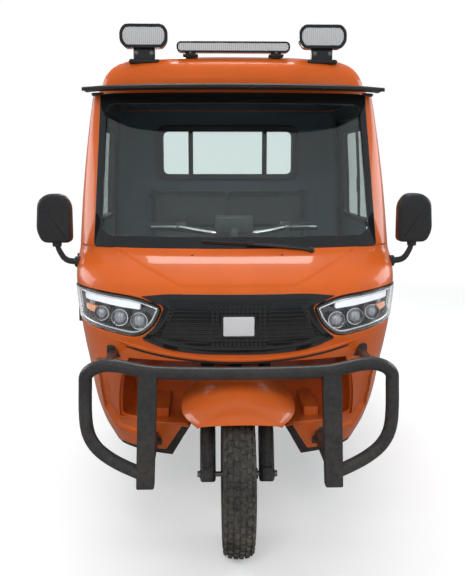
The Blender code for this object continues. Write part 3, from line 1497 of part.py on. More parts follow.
def add_rear_mudguards(paints):
    """Guards over the rear wheels, each on two brackets from its rail."""
    inner, outer = REAR_WHEEL_X - REAR_GUARD_HALF_WIDTH, REAR_WHEEL_X + REAR_GUARD_HALF_WIDTH
    low = REAR_TYRE_RADIUS + REAR_GUARD_CLEARANCE
    high = low + REAR_GUARD_THICKNESS
    for side, sign in SIDES.items():
        rings = []
        for angle in REAR_GUARD_ANGLES:
            turn = math.radians(angle)
            rings.append(
                [
                    (sign * x, REAR_AXLE_Y + reach * math.cos(turn), REAR_TYRE_RADIUS + reach * math.sin(turn))
                    for x, reach in ((inner, high), (outer, high), (outer, low), (inner, low))
                ]
            )
        guard = loft(f"mudguard_rear_{side}", rings, paints["black_plastic"])
        for end in (-1, 1):
            y = REAR_AXLE_Y + end * low * GUARD_BRACKET_SHARE
            bracket = block(
                f"guard_bracket_{side}_{end}_guide",
                (sign * (RAIL_X + RAIL_WIDTH / 2 + GAP), y - BRACKET_WIDTH / 2, RAIL_MIDDLE - BRACKET_THICKNESS / 2),
                (sign * (inner + OVERRUN), y + BRACKET_WIDTH / 2, RAIL_MIDDLE + BRACKET_THICKNESS / 2),
            )
            join(guard, bracket)
        smooth(guard)


def add_rear_lamps(paints):
    """The cross bar behind the rails with a lamp at each end."""
    front = RAIL_REAR + GAP
    low = RAIL_LOW - LAMP_BAR_DROP
    lamp_bar = block(
        "rear_lamp_bar",
        (-LAMP_BAR_HALF_WIDTH, front, low),
        (LAMP_BAR_HALF_WIDTH, front + LAMP_BAR_DEPTH, low + LAMP_BAR_HEIGHT),
        paints["black_paint"],
    )
    middle = low + LAMP_BAR_HEIGHT / 2
    for side, sign in SIDES.items():
        x = sign * (LAMP_BAR_HALF_WIDTH - TAIL_LAMP_WIDTH / 2)
        lamp = block(
            f"tail_lamp_{side}_guide",
            (x - TAIL_LAMP_WIDTH / 2 + OVERLAP, front + LAMP_BAR_DEPTH / 2, middle - TAIL_LAMP_HEIGHT / 2),
            (x + TAIL_LAMP_WIDTH / 2 - OVERLAP, front + LAMP_BAR_DEPTH / 2 + TAIL_LAMP_DEPTH, middle + TAIL_LAMP_HEIGHT / 2),
        )
        tab = block(
            f"lamp_tab_{side}_guide",
            (sign * RAIL_X - RAIL_WIDTH / 2, front, middle),
            (sign * RAIL_X + RAIL_WIDTH / 2, front + LAMP_BAR_DEPTH / 2, RAIL_MIDDLE),
        )
        join(lamp_bar, lamp, tab)
    return lamp_bar


def ribbed(outer, inner, low, high):
    """A wall's profile: flat inside, with long pressed ribs between recesses outside."""
    sign = 1 if outer > inner else -1
    deep = outer - sign * BED_RIB_DEPTH
    pitch = (high - low) / (BED_RIBS * 2 + 1)
    line = []
    for index in range(BED_RIBS * 2 + 1):
        level = outer if index % 2 == 0 else deep
        line.append((level, low + pitch * index + (BED_RIB_DEPTH / 2 if index else 0)))
        line.append((level, low + pitch * (index + 1) - (BED_RIB_DEPTH / 2 if index < BED_RIBS * 2 else 0)))
    return [(inner, low), *line, (inner, high)]


def add_bed_floor(paints):
    """The bed's floor on its bearers, with hinge lugs, hoist ears and the gate's ears."""
    inner = BED_INNER - GAP
    length = BED_SIDE_REAR - BED_FRONT
    floor = block(
        "bed_floor",
        (-inner, BED_FRONT + BED_WALL + GAP, BED_FLOOR_LOW),
        (inner, BED_SIDE_REAR, BED_FLOOR_HIGH),
        paints["bed_paint"],
    )
    crosses = []
    for share in BED_CROSS_SHARES:
        y = BED_FRONT + length * share
        crosses.append(
            block(
                f"bed_cross_{share}_guide",
                (-inner + BED_CROSS_INSET, y - BED_CROSS_WIDTH / 2, BED_SKIRT),
                (inner - BED_CROSS_INSET, y + BED_CROSS_WIDTH / 2, BED_FLOOR_LOW + OVERLAP),
            )
        )
    join(floor, *crosses)
    for side, sign in SIDES.items():
        low_x, high_x = sign * BEARER_X - BEARER_WIDTH / 2, sign * BEARER_X + BEARER_WIDTH / 2
        bearer = block(
            f"bearer_{side}_guide",
            (low_x, BED_FRONT + BED_WALL, BEARER_LOW),
            (high_x, BED_SIDE_REAR - BED_OVERHANG / 3, BED_FLOOR_LOW + OVERLAP),
        )
        lug = block(
            f"bed_lug_{side}_guide",
            (low_x, BED_HINGE_Y - EAR_RADIUS, BED_HINGE_Z - EAR_RADIUS),
            (high_x, BED_HINGE_Y + EAR_RADIUS, BEARER_LOW + OVERLAP),
        )
        inner_x = EYE_WIDTH / 2 + EAR_GAP
        eye = block(
            f"hoist_lug_{side}_guide",
            (sign * inner_x, HOIST_EYE_Y - EYE_RADIUS, HOIST_EYE_Z - EYE_RADIUS),
            (sign * (inner_x + EAR_THICKNESS), HOIST_EYE_Y + EYE_RADIUS, BED_FLOOR_LOW + OVERLAP),
        )
        join(floor, bearer, lug, eye)
    for x in (-GATE_HINGE_X, 0, GATE_HINGE_X):
        ear = block(
            f"gate_ear_{x}_guide",
            (x - GATE_EAR_WIDTH, BED_SIDE_REAR - BED_CROSS_WIDTH, GATE_HINGE_Z - KNUCKLE_RADIUS),
            (x, GATE_HINGE_Y + KNUCKLE_RADIUS, BED_FLOOR_LOW + OVERLAP / 2),
        )
        join(floor, ear)
    cut(
        floor,
        hinge_pin("bed_bore_guide", BED_HINGE_Y, BED_HINGE_Z, RAIL_X, RUNNING),
        cross_rod("gate_bore_guide", GATE_HINGE_Y, GATE_HINGE_Z, BED_HALF_WIDTH, GATE_PIN_RADIUS + RUNNING, 12),
    )
    return floor


def add_bed_sides(paints):
    """The bed's two fixed sides, ribbed outside, with posts and a top rail."""
    length = BED_SIDE_REAR - BED_FRONT
    for side, sign in SIDES.items():
        outer = sign * BED_HALF_WIDTH
        profile = ribbed(outer, sign * BED_INNER, BED_SKIRT, BED_SIDE_HIGH)
        panel = prism(f"bed_side_{side}", profile, "y", BED_FRONT, BED_SIDE_REAR, paints["bed_paint"])
        for index in range(BED_POSTS):
            middle = BED_FRONT + BED_POST_WIDTH / 2 + (length - BED_POST_WIDTH) * index / (BED_POSTS - 1)
            post = block(
                f"bed_post_{side}_{index}_guide",
                (sign * (BED_INNER + BED_WALL / 2), middle - BED_POST_WIDTH / 2, BED_SKIRT),
                (outer, middle + BED_POST_WIDTH / 2, BED_SIDE_HIGH - OVERLAP),
            )
            join(panel, post)
        rail = block(
            f"bed_rail_{side}_guide",
            (sign * (BED_INNER - BED_TOP_RAIL_PROUD), BED_FRONT, BED_SIDE_HIGH - BED_TOP_RAIL),
            (sign * (BED_HALF_WIDTH + BED_TOP_RAIL_PROUD), BED_SIDE_REAR, BED_SIDE_HIGH),
        )
        join(panel, rail)


def add_headboard(paints):
    """The ribbed wall at the front of the bed."""
    half = BED_INNER - BED_TOP_RAIL_PROUD - GAP
    profile = ribbed(BED_FRONT, BED_FRONT + BED_WALL, BED_SKIRT, BED_SKIRT + HEADBOARD_HEIGHT)
    return prism("bed_headboard", profile, "x", -half, half, paints["bed_paint"])


def add_tailgate(paints):
    """The ribbed, bottom-hinged gate with its pins and knuckles."""
    profile = ribbed(BED_REAR, BED_REAR - GATE_THICKNESS, BED_FLOOR_LOW + GATE_LIFT, BED_SIDE_HIGH)
    gate = prism("tailgate", profile, "x", -BED_HALF_WIDTH, BED_HALF_WIDTH, paints["bed_paint"])
    for x in (-GATE_HINGE_X, 0, GATE_HINGE_X):
        low = x + GAP
        knuckle = block(
            f"knuckle_{x}_guide",
            (low, GATE_HINGE_Y - KNUCKLE_RADIUS, GATE_HINGE_Z - KNUCKLE_RADIUS),
            (low + KNUCKLE_WIDTH, GATE_HINGE_Y + KNUCKLE_RADIUS, BED_FLOOR_LOW + GATE_LIFT * 2),
        )
        pin = rod(
            f"gate_pin_{x}_guide",
            (x - GATE_EAR_WIDTH - OVERLAP, GATE_HINGE_Y, GATE_HINGE_Z),
            (low + KNUCKLE_WIDTH / 2, GATE_HINGE_Y, GATE_HINGE_Z),
            GATE_PIN_RADIUS,
            12,
        )
        join(gate, knuckle, pin)
    return gate


def add_hoist(paints):
    """The hydraulic cylinder under the bed: barrel on the chassis, rod to the bed."""
    base = Vector((0, HOIST_BASE_Y, HOIST_BASE_Z))
    eye = Vector((0, HOIST_EYE_Y, HOIST_EYE_Z))
    along = (eye - base).normalized()
    start = base + along * BARREL_START
    mouth = start + along * BARREL_LENGTH
    barrel = rod("cylinder_barrel", start, mouth, BARREL_RADIUS, 16, paints["black_paint"])
    base_eye = cross_rod("base_eye_guide", base.y, base.z, EYE_WIDTH / 2, EYE_RADIUS)
    neck = rod("base_neck_guide", base + along * ROD_RADIUS, start + along * OVERLAP, EYE_WIDTH / 2)
    join(barrel, base_eye, neck)
    chamber = rod("chamber_guide", start + along * OVERRUN, mouth + along * OVERRUN, ROD_RADIUS + RUNNING)
    cut(barrel, hinge_pin("base_hole_guide", base.y, base.z, RAIL_X, RUNNING), chamber)
    smooth(barrel)
    stem = rod("cylinder_rod", base + along * ROD_START, eye - along * ROD_RADIUS, ROD_RADIUS, 12, paints["steel"])
    join(stem, cross_rod("rod_eye_guide", eye.y, eye.z, EYE_WIDTH / 2, EYE_RADIUS))
    cut(stem, hinge_pin("rod_hole_guide", eye.y, eye.z, RAIL_X, RUNNING))
    return smooth(stem)


def hang_on(name, place, children):
    """An empty on a joint's axis that its moving pieces hang from."""
    empty = bpy.data.objects.new(name, None)
    empty.empty_display_size = BAR_HALF_WIDTH / 3
    empty.location = place
    bpy.context.scene.collection.objects.link(empty)
    bpy.context.view_layer.update()
    for child in children:
        obj = bpy.data.objects[child]
        obj.parent = empty
        obj.matrix_parent_inverse = empty.matrix_world.inverted()


def add_joints():
    """An empty on every joint's axis."""
    hang_on("steering_axis", steer_point(HEAD_HIGH), ["fork", "handlebar", "front_mudguard"])
    hang_on("front_axle", (0, FRONT_AXLE_Y, FRONT_TYRE_RADIUS), ["tyre_front", "rim_front"])
    for side, sign in SIDES.items():
        hub = (sign * REAR_WHEEL_X, REAR_AXLE_Y, REAR_TYRE_RADIUS)
        hang_on(f"rear_axle_{side}", hub, [f"tyre_rear_{side}", f"rim_rear_{side}"])
        hinge = (sign * DOOR_HINGE_X, DOOR_FRONT, DOOR_LOW)
        hang_on(f"door_hinge_{side}", hinge, [f"door_{side}", f"door_glass_{side}"])
    bed = ["bed_floor", "bed_side_left", "bed_side_right", "bed_headboard"]
    hang_on("bed_hinge", (0, BED_HINGE_Y, BED_HINGE_Z), bed)
    hang_on("tailgate_hinge", (0, GATE_HINGE_Y, GATE_HINGE_Z), ["tailgate"])
    hang_on("hoist_base", (0, HOIST_BASE_Y, HOIST_BASE_Z), ["cylinder_barrel"])
    hang_on("hoist_slide", (0, HOIST_EYE_Y, HOIST_EYE_Z), ["cylinder_rod"])


def main():
    clear_scene()
    paints = materials()
    makers = (
        add_chassis,
        add_wheels,
        add_fork,
        add_handlebar,
        add_front_mudguard,
        add_nose,
        add_headlights,
        add_grille,
        add_cab_sides,
        add_doors,
        add_windscreen,
        add_roof,
        add_rear_wall,
        add_visor,
        add_roof_lamps,
        add_bull_bar,
        add_wiper,
        add_mirrors,
        add_cab_floor,
        add_seat,
        add_dash,
        add_battery,
        add_rear_axle,
        add_rear_mudguards,
        add_rear_lamps,
        add_bed_floor,
        add_bed_sides,
        add_headboard,
        add_tailgate,
        add_hoist,
    )
    for make in makers:
        make(paints)
    add_joints()


main()
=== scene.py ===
import json
import math

import bpy
import numpy as np
from mathutils import Matrix, Vector
from mathutils.geometry import delaunay_2d_cdt

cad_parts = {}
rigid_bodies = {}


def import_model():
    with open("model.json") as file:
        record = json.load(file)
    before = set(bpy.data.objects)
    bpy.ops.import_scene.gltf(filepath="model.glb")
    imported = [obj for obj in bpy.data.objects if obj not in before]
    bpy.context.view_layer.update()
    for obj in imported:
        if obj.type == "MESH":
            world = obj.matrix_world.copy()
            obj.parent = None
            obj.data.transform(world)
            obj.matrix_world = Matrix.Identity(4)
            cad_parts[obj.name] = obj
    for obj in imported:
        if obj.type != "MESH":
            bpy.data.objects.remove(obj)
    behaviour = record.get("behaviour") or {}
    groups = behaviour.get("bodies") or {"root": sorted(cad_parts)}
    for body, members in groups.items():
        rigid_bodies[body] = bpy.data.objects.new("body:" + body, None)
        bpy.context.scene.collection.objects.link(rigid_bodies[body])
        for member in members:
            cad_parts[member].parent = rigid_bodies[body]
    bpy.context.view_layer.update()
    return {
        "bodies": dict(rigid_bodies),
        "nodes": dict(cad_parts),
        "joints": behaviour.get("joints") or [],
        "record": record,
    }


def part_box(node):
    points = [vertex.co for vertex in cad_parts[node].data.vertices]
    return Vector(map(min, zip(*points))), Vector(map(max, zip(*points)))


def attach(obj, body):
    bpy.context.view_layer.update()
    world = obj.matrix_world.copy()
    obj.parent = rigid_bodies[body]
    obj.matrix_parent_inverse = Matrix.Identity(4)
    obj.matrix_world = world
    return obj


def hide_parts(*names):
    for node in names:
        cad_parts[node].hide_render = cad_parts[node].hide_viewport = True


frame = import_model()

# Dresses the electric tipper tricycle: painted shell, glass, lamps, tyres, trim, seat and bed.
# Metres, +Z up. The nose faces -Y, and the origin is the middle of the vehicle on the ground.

bl_info = {
    "name": "Electric tipper tricycle",
    "version": (1, 0, 0),
    "blender": (4, 5, 0),
    "location": "View3D > Sidebar > Tricycle",
    "description": "Builds the visible pieces of an electric tipper tricycle around its solids",
    "category": "Object",
}

SIDES = {"left": 1, "right": -1}

# The cab's form: height share, half width share, then front, corner depth and rear in nose depths
CAB_STATIONS = np.array((
    (0.000, 0.786, 0.2942, 0.7069, 0.0000),
    (0.060, 0.861, 0.2584, 0.7069, 0.0000),
    (0.127, 0.903, 0.1866, 0.7069, 0.0000),
    (0.227, 0.933, 0.0825, 0.7069, 0.0000),
    (0.274, 0.948, 0.0251, 0.7069, 0.0000),
    (0.328, 0.963, 0.0000, 0.6818, 0.0000),
    (0.395, 0.983, 0.0108, 0.6818, 0.0000),
    (0.428, 0.992, 0.0574, 0.6638, 0.0000),
    (0.468, 1.000, 0.2009, 0.6351, 0.0000),
    (0.500, 0.995, 0.3732, 0.5992, 0.0000),
    (0.620, 0.989, 0.6415, 0.4822, 0.0000),
    (0.750, 0.972, 0.9321, 0.3554, 0.0000),
    (0.850, 0.951, 1.1556, 0.2579, 0.0000),
    (0.897, 0.938, 1.2451, 0.2189, 0.0000),
    (0.908, 0.893, 1.2451, 0.2300, 0.0000),
    (0.936, 0.868, 1.2344, 0.2500, 0.0000),
    (0.963, 0.822, 1.2595, 0.2300, 0.0359),
    (0.987, 0.715, 1.3528, 0.1866, 0.1148),
    (1.000, 0.520, 1.5429, 0.1651, 0.2871),
))
CREASE_ROWS = (0, 9, 13, 18)
CAB_BASE = 0.360
CAB_HEIGHT = 1.495
CAB_TOP = CAB_BASE + CAB_HEIGHT
CAB_HALF_WIDTH = 0.598
CAB_FRONT = -1.555
CAB_REAR = -0.030
NOSE_DEPTH = 0.425
SPLIT_Y = CAB_FRONT + NOSE_DEPTH
COWL_Z = 1.125
ROOF_Z = 1.700
SIDE_LOW = 0.500
SCREEN_X = 0.522
CORNER = 0.050
NOSE_ARC = 0.750
ROUNDNESS = 2.1
GAP = 0.0003
FRONT_AXLE = Vector((0, -1.435, 0.300))
REAR_AXLE_Y = 0.870
REAR_AXLE_Z = 0.283
REAR_WHEEL_X = 0.500
RAKE = math.radians(22)
FORK_OFFSET = 0.012
DOOR_FRONT = -1.089
DOOR_REAR = -0.246
DOOR_LOW = 0.562
DOOR_HIGH = 1.640
DOOR_BELT = 1.130
DOOR_SLOPE = 0.164
SILL_Z = 1.185
BED_FRONT = 0.030
BED_REAR = 1.735
BED_SIDE_REAR = 1.700
BED_SKIRT = 0.618
BED_HIGH = 1.040
BED_HALF = 0.590
BED_INNER = 0.560
FLOOR_Z = 0.660


# Flat outlines

def corner_rounded(outline, radius, steps=5):
    """A closed outline with its corners rounded, all to one radius or each to its own."""
    points = [Vector(point) for point in outline]
    radii = [radius] * len(points) if isinstance(radius, float) else radius
    result = []
    for index, here in enumerate(points):
        before, after = points[index - 1], points[(index + 1) % len(points)]
        into, out = before - here, after - here
        reach = min(radii[index], into.length * 0.48, out.length * 0.48)
        first, last = here + into.normalized() * reach, here + out.normalized() * reach
        for step in range(steps + 1):
            part = step / steps
            result.append(first * (1 - part) ** 2 + here * 2 * part * (1 - part) + last * part**2)
    return np.array([tuple(point) for point in result])


def resampled(outline, step, closed=True):
    """The same line with no edge longer than a step."""
    outline = np.asarray(outline, float)
    after = np.roll(outline, -1, axis=0) if closed else outline[1:]
    result = []
    for start, end in zip(outline, after):
        count = max(1, math.ceil(np.linalg.norm(end - start) / step))
        result += [start + (end - start) * part / count for part in range(count)]
    if not closed:
        result.append(outline[-1])
    return np.array(result)


def unique_points(outline):
    """A closed outline without points that fall together."""
    keep = np.linalg.norm(outline - np.roll(outline, 1, axis=0), axis=1) > 1e-6
    return outline[keep]


def counter_clockwise(outline):
    outline = np.asarray(outline, float)
    x, y = outline[:, 0], outline[:, 1]
    area = np.sum(x * np.roll(y, -1) - np.roll(x, -1) * y)
    return outline if area > 0 else outline[::-1]


def outward(outline):
    """The outward direction at each point of a counter-clockwise outline, stretched at its corners."""
    into = outline - np.roll(outline, 1, axis=0)
    out = np.roll(outline, -1, axis=0) - outline
    into /= np.linalg.norm(into, axis=1)[:, None]
    out /= np.linalg.norm(out, axis=1)[:, None]
    first = np.stack([into[:, 1], -into[:, 0]], 1)
    second = np.stack([out[:, 1], -out[:, 0]], 1)
    middle = first + second
    middle /= np.linalg.norm(middle, axis=1)[:, None]
    return middle / np.maximum((middle * first).sum(1), 0.5)[:, None]


def grown(outline, distance):
    """A counter-clockwise outline moved outwards by a distance."""
    return outline + outward(outline) * distance


def inside(points, outline):
    """Which points lie within an outline."""
    x, y = points[:, 0][:, None], points[:, 1][:, None]
    ax, ay = outline[:, 0], outline[:, 1]
    bx, by = np.roll(ax, -1), np.roll(ay, -1)
    crosses = (ay > y) != (by > y)
    with np.errstate(divide="ignore", invalid="ignore"):
        at = ax + (y - ay) * (bx - ax) / (by - ay)
    return (crosses & (x < at)).sum(1) % 2 == 1


def edge_distance(points, outline):
    """How far each point is from an outline, counted positive inside it."""
    start, end = outline, np.roll(outline, -1, axis=0)
    along = end - start
    length = np.maximum((along**2).sum(1), 1e-12)
    offset = points[:, None, :] - start[None]
    part = np.clip((offset * along[None]).sum(2) / length, 0, 1)
    nearest = np.sqrt(((offset - along[None] * part[..., None]) ** 2).sum(2)).min(1)
    return np.where(inside(points, outline), nearest, -nearest)


def ease(value):
    value = np.clip(value, 0, 1)
    return value * value * (3 - 2 * value)


def mirrored(outline):
    """An outline on the other side of the vehicle."""
    return np.asarray(outline)[::-1] * (-1, 1)


def rectangle(low, high):
    return [(low[0], low[1]), (high[0], low[1]), (high[0], high[1]), (low[0], high[1])]


def circle(centre, radius, steps=24, start=0.0):
    turn = start + np.arange(steps) / steps * math.tau
    return np.stack([centre[0] + radius * np.cos(turn), centre[1] + radius * np.sin(turn)], 1)


def spread(shares, low, high):
    """An outline's shares laid out in the box between two corners."""
    shares = np.asarray(shares, float)
    return np.asarray(low) + shares * (np.asarray(high) - np.asarray(low))


# The cab's skin

def monotone(at, places, values):
    """A smooth curve through a table that never overshoots it."""
    step = np.diff(places)
    slope = np.diff(values) / step
    tangent = np.empty(len(values))
    tangent[0], tangent[-1] = slope[0], slope[-1]
    for row in range(1, len(values) - 1):
        before, after = slope[row - 1], slope[row]
        if before * after <= 0:
            tangent[row] = 0
        else:
            first = 2 * step[row] + step[row - 1]
            second = step[row] + 2 * step[row - 1]
            tangent[row] = (first + second) / (first / before + second / after)
    row = np.clip(np.searchsorted(places, at) - 1, 0, len(step) - 1)
    part = (at - places[row]) / step[row]
    return (
        values[row] * (1 + 2 * part) * (1 - part) ** 2
        + values[row + 1] * part**2 * (3 - 2 * part)
        + tangent[row] * step[row] * part * (1 - part) ** 2
        - tangent[row + 1] * step[row] * part**2 * (1 - part)
    )


def station(level):
    """Half width, front edge, corner depth and rear edge of the cab at each height."""
    share = np.clip((np.atleast_1d(level) - CAB_BASE) / CAB_HEIGHT, 0, 1)
    found = np.empty((4, *share.shape))
    for low, high in zip(CREASE_ROWS, CREASE_ROWS[1:]):
        rows = CAB_STATIONS[low : high + 1]
        within = (share >= rows[0, 0]) & (share <= rows[-1, 0])
        for column in range(4):
            found[column][within] = monotone(share[within], rows[:, 0], rows[:, column + 1])
    half, front, depth, rear = found
    back = CAB_REAR - NOSE_DEPTH * rear
    return CAB_HALF_WIDTH * half, CAB_FRONT + NOSE_DEPTH * front, NOSE_DEPTH * depth, back


def skin(around, level, out=0.0):
    """Points of the cab's skin: around is the way from the middle of the nose, positive to the left side."""
    around, level = np.broadcast_arrays(np.atleast_1d(around), np.atleast_1d(level))
    half, nose, deep, back = station(level)
    half, nose, back = half + out, nose - out, back + out
    way = np.abs(around)
    turn = np.clip(way / NOSE_ARC, 0, 1) * math.pi / 2
    power = 2 / ROUNDNESS
    x = half * np.sin(turn) ** power
    y = nose + deep * (1 - np.maximum(np.cos(turn), 0) ** power)
    straight = back - CORNER - nose - deep
    beyond = way - NOSE_ARC
    y = np.where(beyond > 0, nose + deep + np.minimum(beyond, straight), y)
    bend = np.clip((beyond - straight) / (CORNER * math.pi / 2), 0, 1) * math.pi / 2
    past = beyond > straight
    x = np.where(past, half - CORNER * (1 - np.cos(bend)), x)
    y = np.where(past, back - CORNER + CORNER * np.sin(bend), y)
    rear = beyond - straight - CORNER * math.pi / 2
    x = np.where(rear > 0, half - CORNER - rear, x)
    return np.stack([np.sign(around) * x, y, level], -1)


def around_at_x(x, level):
    """The way around the nose to a place across the cab's width."""
    half = station(level)[0]
    share = np.clip(np.abs(x) / half, 0, 1) ** (ROUNDNESS / 2)
    return np.sign(x) * np.arcsin(share) / (math.pi / 2) * NOSE_ARC


def around_at_y(y, level):
    """The way around the cab's left side to a place along its length."""
    _, nose, deep, back = station(level)
    share = np.clip(1 - (y - nose) / deep, 0, 1) ** (ROUNDNESS / 2)
    front = np.arccos(share) / (math.pi / 2) * NOSE_ARC
    edge = back - CORNER
    bend = np.arcsin(np.clip((y - edge) / CORNER, 0, 1)) * CORNER
    side = NOSE_ARC + np.minimum(y, edge) - nose - deep + bend
    return np.where(y < nose + deep, front, side)


def seen_from_front(outline, step=0.012, closed=True):
    """An outline of (x, z) points laid on the skin."""
    line = resampled(outline, step, closed)
    return np.stack([around_at_x(line[:, 0], line[:, 1]), line[:, 1]], 1)


def seen_from_side(outline, step=0.014, closed=True):
    """An outline of (y, z) points laid on the skin's left side."""
    line = resampled(outline, step, closed)
    return np.stack([around_at_y(line[:, 0], line[:, 1]), line[:, 1]], 1)


def on_skin(out=0.0, relief=None):
    """A placing function for sheets that lie on the cab's skin."""
    def place(flat):
        points = skin(flat[:, 0], flat[:, 1], out)
        if relief is None:
            return points
        step = 0.001
        across = skin(flat[:, 0] + step, flat[:, 1], out) - skin(flat[:, 0] - step, flat[:, 1], out)
        rise = skin(flat[:, 0], flat[:, 1] + step, out) - skin(flat[:, 0], flat[:, 1] - step, out)
        normal = np.cross(across, rise)
        normal /= np.linalg.norm(normal, axis=1)[:, None]
        return points + normal * relief(points)[:, None]
    return place


# Shapes

class Shape:
    """The points, faces and normals of one piece while it is put together."""

    def __init__(self):
        self.points = []
        self.normals = []
        self.faces = []
        self.finishes = []

    def add(self, points, faces, finish=0, normals=None):
        start = len(self.points)
        points = np.asarray(points, float).reshape(-1, 3)
        self.points += points.tolist()
        self.normals += (np.zeros(points.shape) if normals is None else np.asarray(normals)).tolist()
        self.faces += [[start + int(corner) for corner in face] for face in faces]
        self.finishes += [finish] * len(faces)
        return self

    def copy_mirrored(self):
        """Adds the same piece on the other side of the vehicle."""
        flip = np.array((-1, 1, 1))
        faces = [face[::-1] for face in self.faces]
        other = Shape()
        other.points = (np.array(self.points) * flip).tolist()
        other.normals = (np.array(self.normals) * flip).tolist()
        other.faces, other.finishes = faces, list(self.finishes)
        return other

    def moved(self, matrix):
        """The shape after a rigid move."""
        turn = np.array(matrix.to_3x3())
        shift = np.array(matrix.translation)
        self.points = (np.array(self.points) @ turn.T + shift).tolist()
        self.normals = (np.array(self.normals) @ turn.T).tolist()
        return self

    def join(self, other, finish=None):
        start = len(self.points)
        self.points += other.points
        self.normals += other.normals
        self.faces += [[start + corner for corner in face] for face in other.faces]
        self.finishes += other.finishes if finish is None else [finish] * len(other.faces)
        return self


def grid_faces(rows, columns, wrap=True, close=False):
    """The quads between rows of points; wrap joins each row's ends, close joins the last row to the first."""
    faces = []
    for row in range(rows if close else rows - 1):
        for column in range(columns if wrap else columns - 1):
            low, high = row * columns, (row + 1) % rows * columns
            after = (column + 1) % columns
            faces.append((low + column, low + after, high + after, high + column))
    return faces


def panel(outline, holes, place, thickness, edge=0.0025, step=0.016, lines=(), rings=3, finishes=(0, 0, 0)):
    """A closed sheet with rolled edges. Outlines are flat, and place lays flat points in space."""
    loops = [counter_clockwise(unique_points(np.asarray(outline, float)))]
    loops += [counter_clockwise(unique_points(np.asarray(hole, float)))[::-1] for hole in holes]
    tiny = 0.0004

    def frame_at(flat):
        right, up = np.array((tiny, 0)), np.array((0, tiny))
        across = place(flat + right) - place(flat - right)
        rise = place(flat + up) - place(flat - up)
        normal = np.cross(across, rise)
        return normal / np.linalg.norm(normal, axis=1)[:, None]

    def lay(flat, deep):
        return place(flat) - frame_at(flat) * deep

    shape = Shape()
    inner = [loop - outward(loop) * edge for loop in loops]
    low = loops[0].min(0)
    high = loops[0].max(0)
    columns = np.arange(low[0] + step / 2, high[0], step)
    rows = np.arange(low[1] + step / 2, high[1], step)
    grid = np.stack(np.meshgrid(columns, rows), -1).reshape(-1, 2)
    grid[:, 0] += np.where(np.round((grid[:, 1] - low[1]) / step) % 2 > 0.5, step / 4, -step / 4)
    margin = step * 0.45
    keep = edge_distance(grid, inner[0]) > margin
    for loop in inner[1:]:
        keep &= edge_distance(grid, loop[::-1]) < -margin
    extra = [np.asarray(line, float) for line in lines]
    for line in extra:
        near = np.sqrt(((grid[:, None] - line[None]) ** 2).sum(2)).min(1)
        keep &= near > margin
    flat = np.concatenate([*inner, grid[keep], *extra])
    count = sum(len(loop) for loop in inner)
    edges = []
    start = 0
    for loop in inner:
        size = len(loop)
        edges += [(start + index, start + (index + 1) % size) for index in range(size)]
        start += size
    vertices, _, triangles, _, _, _ = delaunay_2d_cdt([Vector(point) for point in flat], edges, [], 0, 1e-7)
    flat = np.array([tuple(point) for point in vertices])
    triangles = np.array([tuple(face) for face in triangles])
    if not np.allclose(flat[:count], np.concatenate(inner), atol=1e-6):
        raise RuntimeError("a sheet's outline crosses itself")
    a, b, c = (flat[triangles[:, corner]] for corner in range(3))
    turned = (b[:, 0] - a[:, 0]) * (c[:, 1] - a[:, 1]) - (b[:, 1] - a[:, 1]) * (c[:, 0] - a[:, 0])
    triangles[turned < 0] = triangles[turned < 0][:, ::-1]
    triangles = triangles[np.abs(turned) > 1e-12]
    middle = flat[triangles].mean(1)
    kept = inside(middle, inner[0])
    for loop in inner[1:]:
        kept &= ~inside(middle, loop)
    triangles = triangles[kept]
    normals = frame_at(flat)
    points = place(flat)
    shape.add(points, triangles, finishes[0], normals)
    shape.add(points - normals * thickness, triangles[:, ::-1], finishes[2], -normals)
    total = len(flat)
    start = 0
    for loop in loops:
        size = len(loop)
        base = frame_at(loop)
        outer = outward(loop)
        outer /= np.linalg.norm(outer, axis=1)[:, None]
        side = place(loop + outer * tiny) - place(loop)
        side /= np.linalg.norm(side, axis=1)[:, None]
        all_points, all_normals = [], []
        for index in range(1, rings + 1):
            turn = index / rings * math.pi / 2
            flat_ring = loop - outward(loop) * edge * (1 - math.sin(turn))
            all_points.append(lay(flat_ring, edge * (1 - math.cos(turn))))
            all_normals.append(base * math.cos(turn) + side * math.sin(turn))
        all_points.append(lay(loop, max(thickness - edge / 2, edge)))
        all_normals.append(side)
        first = len(shape.points)
        shape.add(np.concatenate(all_points), [], 0, np.concatenate(all_normals))
        rows_of = [list(range(start, start + size))]
        rows_of += [list(range(first + row * size, first + (row + 1) * size)) for row in range(rings + 1)]
        rows_of.append(list(range(total + start, total + start + size)))
        for near, far in zip(rows_of, rows_of[1:]):
            for index in range(size):
                after = (index + 1) % size
                shape.faces.append([near[after], near[index], far[index], far[after]])
                shape.finishes.append(finishes[1])
        start += size
    return shape


def flat_place(origin, right, up, bulge=None):
    """A placing function for sheets that lie in a plane."""
    origin, right, up = (np.asarray(part, float) for part in (origin, right, up))
    normal = np.cross(right, up)

    def place(flat):
        points = origin + flat[:, :1] * right + flat[:, 1:] * up
        if bulge is not None:
            points = points + normal * bulge(flat)[:, None]
        return points
    return place


def plate(outline, holes, origin, right, up, thickness, edge=0.002, step=0.05, finish=0, bulge=None):
    """A flat sheet with rolled edges."""
    return panel(
        outline, holes, flat_place(origin, right, up, bulge), thickness, edge, step, finishes=(finish,) * 3
    )


